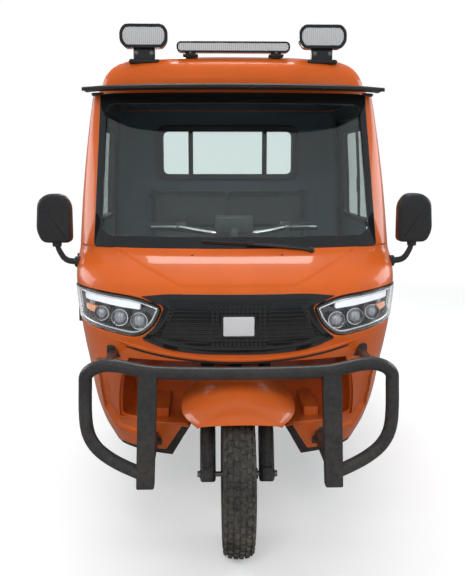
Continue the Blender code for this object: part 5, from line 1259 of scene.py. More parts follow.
def headlight_flat(grow=0.0):
    """The outline of the left headlight on the skin. Its outer end wraps round the corner."""
    outline = corner_rounded(HEADLIGHT, [0.02, 0.03, 0.035, 0.05, 0.0005, 0.0005, 0.05])
    outline = resampled(outline, 0.012)
    around = around_at_x(np.minimum(outline[:, 0], 0.535), outline[:, 1])
    end = around_at_y(np.full(len(outline), -1.236), outline[:, 1])
    part = np.clip((outline[:, 0] - 0.535) / (0.640 - 0.535), 0, 1)
    flat = np.stack([around + (end - around) * part, outline[:, 1]], 1)
    flat = corner_rounded(flat, 0.006, 2)
    return grown(counter_clockwise(unique_points(flat)), grow)


def nose_relief(sizes):
    """Pressed forms of the nose: side pockets in raised rims and bonnet creases."""
    def relief(points):
        x, z = np.abs(points[:, 0]), points[:, 2]
        flat = np.stack([x, z], 1)
        deep = edge_distance(flat, POCKET)
        height = -sizes.pocket * ease(deep / 0.012) + 0.005 * ease(1 + deep / 0.022) * (deep < 0)
        height += sizes.crown * ease(edge_distance(np.stack([points[:, 0], z], 1), BONNET) / 0.014 + 0.5)
        return height
    return relief


class TRICYCLE_OT_nose(bpy.types.Operator):
    """Builds the painted nose with its pockets, its wheel recess and the black strips along its arch, which are
    painted shade.
    """
    bl_idname = "tricycle.nose"
    bl_label = "Nose"

    def execute(self, context):
        sizes = context.scene.tricycle_sizes
        level = np.linspace(CAB_BASE, COWL_Z - GAP, 60)
        right = seen_from_side(np.stack([np.full(60, SPLIT_Y - GAP), level], 1), 1.0, closed=False)
        rise = np.linspace(RECESS_LOW, ARCH_TOP, 14)
        recess = [(recess_x(float(z)), float(z)) for z in rise]
        foot = [(0.240, CAB_BASE), (0.169, RECESS_LOW)]
        half = [(x, z, 0) for x, z in [*foot, *recess]]
        arch = np.array([tuple(point)[:2] for point in filleted(half, 0.018, 3)])
        arch = np.concatenate([arch, [(0.0, ARCH_TOP)]])
        arch_flat = seen_from_front(arch, 0.012, closed=False)
        left_half = np.concatenate([right, [(0, COWL_Z - GAP)]])
        left_half = np.concatenate([resampled(left_half, 0.016, closed=False)])
        down = np.concatenate([arch_flat[::-1], right[:1]])
        half_line = np.concatenate([resampled(down, 0.014, closed=False)[:-1], left_half])
        outline = np.concatenate([half_line, mirrored(half_line)[1:-1]])
        lamp = headlight_flat(0.002)
        lines = []
        for distance in (0.012, 0.006, 0.0, -0.010, -0.020):
            pocket = seen_from_front(resampled(grown(POCKET, -distance), 0.010), 0.02)
            lines += [pocket, mirrored(pocket)]
        for shift in (-0.015, -0.009, -0.004, 0.0, 0.004, 0.009, 0.015):
            x = np.linspace(-0.42, 0.42, 84)
            z = 0.757 + 0.10 * np.maximum(np.abs(x) - 0.20, 0) ** 1.3 + shift
            keep = z > ARCH_TOP + 0.006
            lines.append(seen_from_front(np.stack([x, z], 1)[keep], 1.0, closed=False))
        for shift in (-0.007, 0.0, 0.007):
            edge = resampled(grown(BONNET, shift), 0.012)
            edge = edge[(edge[:, 1] < COWL_Z - 0.008)]
            lines.append(seen_from_front(edge, 1.0, closed=False))
        lines = [
            line[
                [
                    inside(line, outline)[row] and abs(edge_distance(line, outline)[row]) > 0.006 and max(
                        edge_distance(line, lamp)[row], edge_distance(line, mirrored(lamp))[row]
                    ) < -0.006
                    for row in range(len(line))
                ]
            ]
            for line in lines
        ]
        place = on_skin(0.0, nose_relief(sizes))
        nose = panel(
            outline, [lamp, mirrored(lamp)], place, sizes.shell, sizes.panel_edge, 0.014,
            thinned(lines, 0.005)
        )
        finish_piece("nose_panel", nose, "chassis", "orange_paint", "cab_nose")
        self.make_wheelhouse()
        self.make_edges()
        return {"FINISHED"}

    def make_wheelhouse(self):
        """The orange recess behind the opening: two curved walls, a back wall and a shelf."""
        house = Shape()
        back_y = -1.098
        rows = []
        for z in np.linspace(RECESS_LOW - 0.002, ARCH_TOP + 0.004, 8):
            middle = axis_y(z)
            deep = SWEEP / math.cos(RAKE)
            first = math.acos(max(-1, (front_at(recess_x(z), z, -0.006) - middle) / deep))
            last = math.acos((back_y - middle) / deep)
            turn = np.linspace(first, last, 14)
            wall = np.stack([SWEEP * np.sin(turn), middle + deep * np.cos(turn)], 1)
            line = [(x, y, 0) for x, y in wall] + [(-x, y, 0) for x, y in wall[::-1]]
            bent = filleted([line[12], (line[13][0] + 0.012, back_y, 0), (0, back_y, 0)], 0.05, 5)
            half = np.array([*wall[:12], *[tuple(point)[:2] for point in bent]])
            plan = np.concatenate([half, half[::-1][1:] * (-1, 1)])
            rows.append(np.column_stack([plan, np.full(len(plan), z)]))
        count = len(rows[0])
        outer = [row + (0, 0.004, 0) for row in rows]
        points = np.concatenate(rows + outer)
        faces = [face[::-1] for face in grid_faces(len(rows), count, wrap=False)]
        faces += [[corner + len(rows) * count for corner in face[::-1]] for face in faces]
        total = len(rows) * count
        rim = [*range(count), *[row * count + count - 1 for row in range(1, len(rows))]]
        rim += [
            *range(total - 2, total - count - 1, -1), *[row * count for row in range(len(rows) - 2, 0, -1)]
        ]
        faces += [(a, b, b + total, a + total) for a, b in zip(rim, rim[1:] + rim[:1])]
        house.add(points, faces)
        side = rows[0][:(count + 1) // 2, :2]
        shelf = np.concatenate([[(0.174, -1.46)], side[side[:, 0] > 0.18], [(0.174, back_y)]])
        for sign in (1, -1):
            outline = grown(counter_clockwise(shelf * (sign, 1)), 0.002)
            house.join(soft_prism(outline, "z", RECESS_LOW - 0.005, RECESS_LOW - 0.001, 0.001, 1))
            house.join(
                soft_box((sign * 0.252, -1.346, 0.4895), (sign * 0.308, -1.096, 0.526), 0.006, 0.008, "y")
            )
        finish_piece("wheelhouse", house, "chassis", "orange_paint")

    def make_edges(self):
        """Black rubber strips along the splayed legs of the arch and along the legs' lower edges. Their black
        is painted shade, standing in for the shadowed inner faces of the arch.
        """
        edge = [
            (0.240, CAB_BASE + 0.002), (0.169, RECESS_LOW - 0.002), (0.197, RECESS_LOW - 0.002),
            (0.262, CAB_BASE + 0.020), (0.440, CAB_BASE + 0.012), (0.440, CAB_BASE + 0.002)
        ]
        flat = seen_from_front(corner_rounded(edge, 0.004, 2), 0.014)
        # Painted shade: this black strip stands in for the shade on the arch's inner faces and under the legs.
        strip = panel(flat, [], on_skin(0.002), 0.014, 0.0015, 0.02)
        finish_pair("arch_shade_strip_{}", strip, "chassis", "rubber")


def thinned(lines, spacing):
    """Extra points of a sheet, without any that fall close to one another."""
    kept = []
    for line in lines:
        for point in line:
            if not kept or np.abs(np.array(kept) - point).max(1).min() > spacing * 0.6:
                kept.append(point)
    return [np.array(kept)]


class TRICYCLE_OT_grille(bpy.types.Operator):
    """Builds the black band between the headlights, its ribs, its boss and the bare plate."""
    bl_idname = "tricycle.grille"
    bl_label = "Grille"

    def execute(self, context):
        outline = np.concatenate([GRILLE, mirrored(GRILLE)])
        radii = [0.10, 0.05, 0.012, 0.05, 0.01, 0.01, 0.008, 0.10]
        outline = corner_rounded(outline, radii + radii[::-1], 4)

        def surface(points):
            x, z = points[:, 0], points[:, 2]
            flat = np.stack([x, z], 1)
            well = edge_distance(flat, outline)
            return -0.006 * ease((well - 0.016) / 0.010)

        lines = [
            seen_from_front(resampled(grown(outline, -distance), 0.010), 1.0)
            for distance in (0.016, 0.021, 0.026)
        ]
        band = panel(
            seen_from_front(outline), [], on_skin(0.009, surface), 0.011, 0.003, 0.014,
            thinned(lines, 0.006)
        )
        finish_piece("grille_panel", band, "chassis", "gloss_black", "grille")
        ribs = Shape()
        well = grown(outline, -0.028)
        x = np.linspace(-0.33, 0.33, 133)
        for z in np.arange(0.792, 0.975, 0.0135):
            line = np.stack([x, np.full(len(x), z)], 1)
            clear = inside(line, well) & ~inside(line, np.array(rectangle((-0.098, 0.806), (0.098, 0.948))))
            for part in np.split(np.arange(len(x)), np.flatnonzero(np.diff(clear.astype(int))) + 1):
                if clear[part[0]] and len(part) > 3:
                    run = line[part][::2]
                    flat = seen_from_front(run, 1.0, closed=False)
                    path = skin(flat[:, 0], flat[:, 1], 0.0055)
                    ribs.join(
                        swept(
                            path,
                            [(-0.0022, -0.0035), (0.0035, -0.0015), (0.0035, 0.0015), (-0.0022, 0.0035)],
                            up=(0, 0, 1), dome=False
                        )
                    )
        finish_piece("grille_ribs", ribs, "chassis", "black_plastic")
        x = np.linspace(-0.455, 0.455, 121)
        flat = seen_from_front(np.stack([x, 0.7555 + 0.30 * x ** 2], 1), 1.0, closed=False)
        lip = [
            (-0.004, -0.008), (0.0035, -0.008), (0.0075, -0.005), (0.0090, 0.0005), (0.0065, 0.0055),
            (0.001, 0.0085), (-0.004, 0.009)
        ]
        taper = 0.25 + 0.75 * ease((0.46 - np.abs(x)) / 0.16)
        shape = swept(skin(flat[:, 0], flat[:, 1], 0.0), lip, up=(0, 0, 1), sizes=taper, dome=False)
        finish_piece("grille_lip", shape, "chassis", "orange_paint")
        # Painted shadow: a black strip under the lip stands in for the shade line below it.
        under = seen_from_front(np.stack([x, 0.7435 + 0.30 * x ** 2], 1), 1.0, closed=False)[8:-8]
        path = skin(under[:, 0], under[:, 1], 0.0)
        section = [(-0.003, -0.0045), (0.0020, -0.0035), (0.0020, 0.0045), (-0.003, 0.0045)]
        shape = swept(path, section, up=(0, 0, 1), sizes=taper[8:-8], dome=False)
        finish_piece("grille_lip_shadow_strip", shape, "chassis", "rubber")
        tiles = Shape()
        for column in range(13):
            for row in range(10):
                x, z = -0.0885 + column * 0.01475, 0.813 + row * 0.0142
                if abs(x) < 0.064 and 0.831 < z < 0.922:
                    continue
                y = front_at(x, z)
                tiles.join(
                    soft_box(
                        np.array((x - 0.006, y - 0.0075, z - 0.0058)),
                        np.array((x + 0.006, y + 0.002, z + 0.0058)), 0.0015, axis="y", rings=1
                    )
                )
        finish_piece("grille_tiles", tiles, "chassis", "black_plastic")
        front = float(skin(np.array([0.0]), np.array([0.876]))[0, 1])
        surround = corner_rounded(rectangle((-0.062, 0.834), (0.062, 0.919)), 0.008, 3)
        boss = soft_prism(surround, "y", front - 0.0085, front + 0.004, 0.003)
        finish_piece("plate_surround", boss, "chassis", "gloss_black")
        plain = soft_prism(
            corner_rounded(rectangle((-0.053, 0.843), (0.053, 0.910)), 0.005, 3), "y", front - 0.0105,
            front - 0.006, 0.0015
        )
        finish_piece("bare_plate", plain, "chassis", "plate_white")
        return {"FINISHED"}


class TRICYCLE_OT_headlights(bpy.types.Operator):
    """Builds the headlights: dark tubs, silver bezels, projectors, light strips and clear lenses."""
    bl_idname = "tricycle.headlights"
    bl_label = "Headlights"

    def execute(self, context):
        ring = panel(
            headlight_flat(-0.0008), [headlight_flat(-0.010)], on_skin(0.0005), 0.030, 0.0012, 0.02
        )
        finish_pair("headlight_bezel_{}", ring, "chassis", "gloss_black", "headlight_{}")
        tub = panel(headlight_flat(-0.009), [], on_skin(-0.030), 0.003, 0.001, 0.016)
        finish_pair("headlight_tub_{}", tub, "chassis", "gloss_black")
        lens = panel(headlight_flat(-0.0035), [], on_skin(0.003), 0.003, 0.0014, 0.014)
        finish_pair("headlight_lens_{}", lens, "chassis", "lens")
        inner = headlight_flat(-0.014)
        inner = inner[
            np.argsort((np.arange(len(inner)) - int(np.argmax(inner[:, 0] - inner[:, 1] * 3))) % len(inner))
        ]
        trim = skin_line(inner, -0.006, 0.0042, closed=True, steps=10)
        finish_pair("headlight_trim_{}", trim, "chassis", "silver")
        top = [(0.345, 0.953), (0.42, 0.966), (0.50, 0.973), (0.556, 0.976)]
        low = [(0.556, 0.944), (0.50, 0.940), (0.42, 0.930), (0.345, 0.924)]
        blade = seen_from_front(corner_rounded(top + low, 0.008, 3), 0.01)
        strip = panel(counter_clockwise(blade), [], on_skin(-0.008), 0.010, 0.003, 0.012)
        finish_pair("light_strip_{}", strip, "chassis", "led")
        bowls = Shape()
        glasses = Shape()
        for x, z, radius in ((0.345, 0.886, 0.030), (0.415, 0.893, 0.030), (0.484, 0.902, 0.027)):
            y = front_at(x, z)
            rings = [
                (0.004, radius * 0.74), (-0.016, radius), (-0.019, radius), (-0.019, radius * 0.93),
                (-0.004, radius * 0.72), (0.002, radius * 0.30)
            ]
            bowls.join(lathe(rings, (x, y + 0.022, z), "y", 32, True))
            ball = [(0.004, radius * 0.68)] + [
                (-0.008 - 0.009 * math.sin(t), radius * 0.62 * math.cos(t))
                for t in np.linspace(0.1, 1.5, 6)
            ]
            glasses.join(lathe(ball[::-1], (x, y + 0.020, z), "y", 32, False, 0, True))
        finish_pair("projector_rims_{}", bowls, "chassis", "reflector")
        finish_pair("projector_glass_{}", glasses, "chassis", "lamp_face")
        blinker = [(0.515, 0.895), (0.560, 0.905), (0.560, 0.928), (0.515, 0.922)]
        flat = counter_clockwise(seen_from_front(corner_rounded(blinker, 0.006, 2), 0.01))
        finish_pair(
            "turn_lamp_{}", panel(flat, [], on_skin(-0.012), 0.012, 0.002, 0.012), "chassis",
            "amber_lens"
        )
        return {"FINISHED"}


def door_outline(grow=0.0):
    """A door in the side view."""
    corners = [
        (DOOR_FRONT, DOOR_LOW), (DOOR_REAR, DOOR_LOW), (DOOR_REAR, DOOR_HIGH),
        (DOOR_FRONT + DOOR_SLOPE, DOOR_HIGH), (DOOR_FRONT, DOOR_BELT)
    ]
    outline = corner_rounded(corners, [0.035, 0.035, 0.045, 0.055, 0.06], 5)
    return grown(outline, grow)


def window_outline(grow=0.0):
    """The window of a door in the side view."""
    slope = DOOR_SLOPE / (DOOR_HIGH - DOOR_BELT)
    high, rear = DOOR_HIGH - 0.058, DOOR_REAR - 0.058
    low_front = DOOR_FRONT + slope * (SILL_Z - DOOR_BELT) + 0.058
    high_front = DOOR_FRONT + slope * (high - DOOR_BELT) + 0.058
    corners = [(low_front, SILL_Z), (rear, SILL_Z), (rear, high), (high_front, high)]
    return grown(corner_rounded(corners, [0.03, 0.045, 0.05, 0.05], 5), grow)


def hinge_leaves(way):
    """Half of each of a door's hinges: -1 for the halves on the cab, 1 for the halves on the door."""
    pin_x, pin_radius, leaf_x = 0.610, 0.0078, 0.6035
    hinges = Shape()
    for share in (0.49, 0.86):
        level = DOOR_LOW + (DOOR_BELT - DOOR_LOW) * share
        pin = [(end, pin_radius) for end in sorted((way * 0.0004, way * 0.030))]
        hinges.join(lathe(pin, (pin_x, DOOR_FRONT, level), "z", 20, False, 0, True))
        near, far = sorted((DOOR_FRONT + way * 0.004, DOOR_FRONT + way * 0.036))
        low, high = sorted((level + way * 0.003, level + way * 0.028))
        hinges.join(soft_box((0.594, near, low), (leaf_x, far, high), 0.002, 0.006, "x"))
        for deep in sorted((way * 0.014, way * 0.028)):
            hinges.join(dome((leaf_x, DOOR_FRONT + deep, level + way * 0.016), (1, 0, 0), 0.0035, 0.0015))
    return hinges


class TRICYCLE_OT_cab_sides(bpy.types.Operator):
    """Builds the side panels with their pillars, door seals and hinges."""
    bl_idname = "tricycle.cab_sides"
    bl_label = "Cab sides"

    def execute(self, context):
        sizes = context.scene.tricycle_sizes
        rear = CAB_REAR - 0.0303
        low = seen_from_side(np.array([(SPLIT_Y, SIDE_LOW), (rear, SIDE_LOW)]), 0.014, closed=False)
        back = seen_from_side(np.array([(rear, SIDE_LOW), (rear, ROOF_Z - GAP)]), 0.02, closed=False)
        screen_top = around_at_x(np.array([SCREEN_X]), np.array([ROOF_Z - GAP]))[0]
        top = resampled(np.array([back[-1], (screen_top, ROOF_Z - GAP)]), 0.014, closed=False)
        pillar = seen_from_front(
            np.array([(SCREEN_X, ROOF_Z - GAP), (SCREEN_X, COWL_Z)]), 0.014, closed=False
        )
        split = around_at_y(np.array([SPLIT_Y]), np.array([COWL_Z]))[0]
        belt = resampled(np.array([pillar[-1], (split, COWL_Z)]), 0.014, closed=False)
        front = seen_from_side(np.array([(SPLIT_Y, COWL_Z), (SPLIT_Y, SIDE_LOW)]), 0.014, closed=False)
        outline = np.concatenate([low[:-1], back[:-1], top[:-1], pillar[:-1], belt[:-1], front[:-1]])
        hole = seen_from_side(door_outline(0.006))

        def swage(points):
            flat = np.stack([points[:, 1], points[:, 2]], 1)
            quarter = np.array(rectangle((-0.205, 0.640), (-0.105, 1.050)))
            return -0.004 * ease(edge_distance(flat, quarter) / 0.012 + 0.5)

        shell = panel(
            outline, [hole], on_skin(0.0, swage), 0.022, sizes.panel_edge, 0.020, finishes=(0, 0, 1)
        )
        finish_pair(
            "side_panel_{}", shell, "chassis", ["orange_paint", "trim"], "cab_side_{}"
        )
        seal = panel(
            seen_from_side(door_outline(0.0068)), [seen_from_side(door_outline(-0.010))], on_skin(-0.0285),
            0.010, 0.003, 0.02
        )
        finish_pair("door_seal_{}", seal, "chassis", "rubber")
        finish_pair("hinge_fixed_{}", hinge_leaves(-1), "chassis", "black_paint")
        gutter = resampled(
            np.array([(screen_top * 0.97, ROOF_Z + 0.002), (2.12, ROOF_Z + 0.002)]), 0.02, closed=False
        )
        rail = swept(
            skin(gutter[:, 0], gutter[:, 1], 0.0),
            [
                (-0.004, -0.004), (0.007, -0.004), (0.010, 0.005), (0.007, 0.006), (0.004, -0.001),
                (-0.004, 0.001)
            ],
            up=(0, 0, 1), dome=False
        )
        finish_pair("gutter_{}", rail, "chassis", "rubber")
        vent = Shape()
        for row in range(6):
            z = 1.30 + row * 0.026
            line = resampled(np.array([(-0.165, z), (-0.095, z)]), 0.01, closed=False)
            flat = seen_from_side(line, 1.0, closed=False)
            vent.join(bar(skin(flat[:, 0], flat[:, 1], 0.0012), 0.0042, 10))
        finish_pair("quarter_vent_{}", vent, "chassis", "black_plastic")
        return {"FINISHED"}


class TRICYCLE_OT_doors(bpy.types.Operator):
    """Builds the doors with their frames, glass, seals, handles and hinge halves."""
    bl_idname = "tricycle.doors"
    bl_label = "Doors"

    def execute(self, context):
        sizes = context.scene.tricycle_sizes
        window = seen_from_side(window_outline())
        swell = np.array([(-1.030, 0.620), (-0.305, 0.620), (-0.305, 1.035), (-1.030, 1.060)])

        def swage(points):
            flat = np.stack([points[:, 1], points[:, 2]], 1)
            return -0.005 * ease(edge_distance(flat, swell) / 0.016 + 0.5)

        lines = [
            seen_from_side(resampled(grown(swell, shift), 0.016), 1.0) for shift in (-0.008, 0.0, 0.008)
        ]
        door = panel(
            seen_from_side(door_outline()), [window], on_skin(0.0, swage), sizes.door, sizes.panel_edge,
            0.020, thinned(lines, 0.006), finishes=(0, 0, 1)
        )
        finish_pair("door_panel_{}", door, "door_{}", ["orange_paint", "trim"], "door_{}")
        seal = panel(
            seen_from_side(window_outline(0.010)), [seen_from_side(window_outline(-0.011))],
            on_skin(0.0025), 0.034, 0.004, 0.02
        )
        finish_pair("window_seal_{}", seal, "door_{}", "rubber")
        glass = panel(seen_from_side(window_outline(-0.004)), [], on_skin(-0.010), 0.005, 0.001, 0.03)
        finish_pair("door_window_{}", glass, "door_{}", "glass", "door_glass_{}")
        bars = panel(
            seen_from_side(np.array(rectangle((-0.640, SILL_Z + 0.004), (-0.618, DOOR_HIGH - 0.062)))), [],
            on_skin(-0.004), 0.014, 0.002, 0.03
        )
        latch = panel(
            seen_from_side(corner_rounded(rectangle((-0.600, 1.30), (-0.572, 1.37)), 0.008, 3), 0.01), [],
            on_skin(0.002), 0.012, 0.002, 0.02
        )
        finish_pair("window_divider_{}", bars.join(latch), "door_{}", "black_plastic")
        cup = panel(
            seen_from_side(corner_rounded(rectangle((-0.425, 1.060), (-0.290, 1.108)), 0.014, 4), 0.01), [],
            on_skin(0.004), 0.012, 0.003, 0.014
        )
        grip = panel(
            seen_from_side(corner_rounded(rectangle((-0.415, 1.072), (-0.315, 1.097)), 0.010, 4), 0.01), [],
            on_skin(0.013), 0.009, 0.004, 0.012
        )
        y = -0.301
        lock = lathe(
            [(0.0, 0.009), (0.0045, 0.009), (0.0055, 0.0075), (0.0055, 0.001)],
            (
                float(skin(around_at_y(np.array([y]), np.array([1.084])), np.array([1.084]))[0, 0]) + 0.003,
                y, 1.084
            ),
            "x", 24, False, 0, True
        )
        finish_pair(
            "door_handle_{}", cup.join(grip).join(lock, 1), "door_{}",
            ["black_plastic", "chrome"]
        )
        pull = bar(
            filleted(
                [(0.556, -0.42, 0.98), (0.520, -0.42, 0.98), (0.520, -0.62, 0.94), (0.556, -0.62, 0.94)],
                0.03
            ),
            0.009, 12
        )
        finish_pair("door_pull_{}", pull, "door_{}", "black_plastic")
        finish_pair("hinge_moving_{}", hinge_leaves(1), "door_{}", "black_paint")
        return {"FINISHED"}


class TRICYCLE_OT_glazing(bpy.types.Operator):
    """Builds the windscreen in its black band, and the three-pane rear window in its frame."""
    bl_idname = "tricycle.glazing"
    bl_label = "Windscreen and rear window"

    def execute(self, context):
        sizes = context.scene.tricycle_sizes
        side = SCREEN_X + 0.004
        outer = corner_rounded(rectangle((-side, COWL_Z + 0.0005), (side, ROOF_Z + 0.004)), 0.012, 3)
        band = sizes.screen_band
        clear = corner_rounded(
            rectangle((-side + band, COWL_Z + 0.042), (side - band, ROOF_Z - 0.040)),
            [0.05, 0.05, 0.035, 0.035], 6
        )
        frit = panel(seen_from_front(outer), [seen_from_front(clear)], on_skin(0.003), 0.009, 0.0025, 0.02)
        finish_piece("windscreen_band", frit, "chassis", "gloss_black")
        glass = panel(seen_from_front(grown(outer, -0.010)), [], on_skin(-0.004), 0.005, 0.001, 0.035)
        finish_piece("windscreen_glass", glass, "chassis", "glass", "windshield")
        y = CAB_REAR + 0.004
        hole = corner_rounded(rectangle((-0.331, 1.378), (0.331, 1.594)), 0.030, 6)
        rim = corner_rounded(rectangle((-0.360, 1.349), (0.360, 1.622)), 0.045, 6)
        frame = Shape()
        for level, turn in ((y, -1), (CAB_REAR - 0.038, 1)):
            frame.join(plate(rim, [hole], (0, level, 0), (-turn, 0, 0), (0, 0, 1), 0.020, 0.004))
        for x in (-0.190, 0.190):
            frame.join(
                soft_box((x - 0.012, CAB_REAR - 0.030, 1.376), (x + 0.012, CAB_REAR, 1.596), 0.002, 0.003)
            )
        finish_piece("rear_window_frame", frame, "chassis", "rubber")
        panes = plate(grown(hole, 0.004), [], (0, CAB_REAR - 0.012, 0), (-1, 0, 0), (0, 0, 1), 0.005, 0.001)
        finish_piece("rear_glass", panes, "chassis", "glass", "rear_window")
        return {"FINISHED"}


class TRICYCLE_OT_roof(bpy.types.Operator):
    """Builds the roof pan with its raised middle, its ribs and the cab's rear wall."""
    bl_idname = "tricycle.roof"
    bl_label = "Roof and rear wall"

    def execute(self, context):
        count = 260
        rings, upper = [], []
        for level in np.concatenate(
            [np.linspace(ROOF_Z, 1.721, 8), np.linspace(1.727, 1.79, 7), np.linspace(1.80, CAB_TOP, 16)]
        ):
            half, nose, deep, back = (float(part[0]) for part in station(level))
            far = NOSE_ARC + (back - CORNER - nose - deep) + CORNER * math.pi / 2 + half - CORNER
            around = np.linspace(-far, far, count, endpoint=False)
            rings.append(skin(around, np.full(count, level)))
        edge = rings[-1]
        middle = np.array((0, (edge[:, 1].min() + edge[:, 1].max()) / 2, CAB_TOP))
        for part in np.linspace(0, 1, 12)[1:]:
            ring = middle + (edge - middle) * (1 - part * 0.97)
            ring[:, 2] = CAB_TOP + 0.004 * math.sin(part * math.pi / 2)
            rings.append(ring)
        for ring in rings:
            rise = np.clip((ring[:, 2] - 1.83) / 0.02, 0, 1)
            rib = np.exp(
                -(((np.abs(ring[:, 0]) - 0.165) / 0.016) ** 2)
            ) * ease((ring[:, 1] + 0.82) / 0.06) * ease((-0.16 - ring[:, 1]) / 0.06)
            ring[:, 2] += rib * rise * 0.007
            upper.append(ring)
        points = np.concatenate(upper)
        faces = grid_faces(len(upper), count)
        faces.append(list(range(len(points) - count, len(points))))
        inner = [
            np.column_stack(
                [
                    ring[:, 0] * 0.955, (ring[:, 1] + 0.5) * 0.955 - 0.5,
                    np.minimum(ring[:, 2], CAB_TOP - 0.030)
                ]
            )
            for ring in upper[::4]
        ]
        total = len(points)
        points = np.concatenate([points, *inner])
        faces += [[corner + total for corner in face[::-1]] for face in grid_faces(len(inner), count)]
        faces.append([total + (len(inner) - 1) * count + corner for corner in range(count)][::-1])
        faces += [
            (after, index, index + total, after + total)
            for index, after in ((row, (row + 1) % count) for row in range(count))
        ]
        roof = Shape().add(points, faces)
        roof.finishes = [1 if max(face) >= total else 0 for face in faces]
        finish_piece(
            "roof_panel", roof, "chassis", ["orange_paint", "trim"], "cab_roof", 30
        )
        wall_low, wall_high = 0.522, ROOF_Z - GAP
        hole = corner_rounded(rectangle((-0.338, 1.371), (0.338, 1.601)), 0.035, 5)
        z = np.linspace(wall_low, wall_high, 40)
        edge_line = np.stack([station(z)[0] - 0.004, z], 1)
        outline = np.concatenate([edge_line, edge_line[::-1] * (-1, 1)])

        def wall(flat):
            x, z = flat[:, 0], flat[:, 1]
            half, _, _, back = station(z)
            over = np.maximum(np.abs(x) - (half - CORNER), 0)
            y = back - CORNER + np.sqrt(np.maximum(CORNER**2 - over**2, 0))
            ribs = [np.array(rectangle((low, 0.62), (low + 0.26, 1.27))) for low in (-0.46, -0.13, 0.20)]
            press = sum(ease(edge_distance(flat, rib) / 0.014 + 0.5) for rib in ribs) * 0.005
            return np.stack([-x, y - press, z], 1)

        lines = [
            resampled(grown(np.array(rectangle((low, 0.62), (low + 0.26, 1.27))), shift), 0.02)
            for low in (-0.46, -0.13, 0.20) for shift in (-0.007, 0.0, 0.007)
        ]
        back = panel(outline, [hole], wall, 0.018, 0.003, 0.03, thinned(lines, 0.006), finishes=(0, 0, 1))
        finish_piece(
            "rear_panel", back, "chassis", ["orange_paint", "trim"], "cab_rear_wall"
        )
        return {"FINISHED"}


class TRICYCLE_OT_visor(bpy.types.Operator):
    """Builds the thin black visor over the windscreen."""
    bl_idname = "tricycle.visor"
    bl_label = "Visor"

    def execute(self, context):
        low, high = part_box("visor")
        share = np.array(((0.0, 0.0), (0.30, 0.04), (0.55, 0.13), (0.78, 0.32), (0.92, 0.58), (1.0, 0.85)))
        across = np.linspace(-1, 1, 121)
        way = np.interp(np.abs(across), share[:, 0], share[:, 1])
        way = np.convolve(np.pad(way, 5, mode="edge"), np.ones(11) / 11, "valid")
        half = high.x
        rings = []
        for x, back in zip(across, way):
            front = low.y + 0.160 * back + 0.001
            level = ROOF_Z + 0.0105 + 0.0035 * (1 - x**2)
            y = front_at(x * half * 0.97, ROOF_Z) - 0.001
            y = max(min(y, high.y), front + 0.030)
            profile = [
                (y, 0.0), (y, 0.011), (front + 0.020, 0.0115), (front + 0.006, 0.010), (front, 0.005),
                (front + 0.002, -0.004), (front + 0.006, -0.005), (front + 0.009, 0.0)
            ]
            rings.append([(x * half, level_y, level + rise) for level_y, rise in profile])
        points = np.array(rings).reshape(-1, 3)
        count = len(profile)
        faces = [face[::-1] for face in grid_faces(len(rings), count, close=False)]
        faces += [list(range(count)), list(range(len(points) - count, len(points)))[::-1]]
        visor = Shape().add(points, faces)
        finish_piece("visor_blade", visor, "chassis", "black_plastic", "visor")
        return {"FINISHED"}


# Fittings outside the cab

LAMP_SPREAD = ((0, 0.30), (0.11, 0), (0.89, 0), (1, 0.30), (1, 0.73), (0.89, 1), (0.11, 1), (0, 0.73))
MIRROR_SPREAD = ((0, 0), (0.84, 0), (1, 0.25), (0.95, 0.85), (0.68, 1), (0.22, 1), (0, 0.79))
LOOP = (
    (0.299, 0, 0.747), (0.402, 0.005, 0.766), (0.463, 0.013, 0.764), (0.507, 0.021, 0.737),
    (0.515, 0.026, 0.690), (0.515, 0.026, 0.560), (0.489, 0.021, 0.490), (0.430, 0.013, 0.440),
    (0.345, 0.003, 0.400), (0.299, 0, 0.385)
)
FACING_FRONT = ((1, 0, 0), (0, 0, 1))
FACING_REAR = ((-1, 0, 0), (0, 0, 1))
ROOF_LAMP_X = 0.353
ROOF_LAMP_Y = -0.950


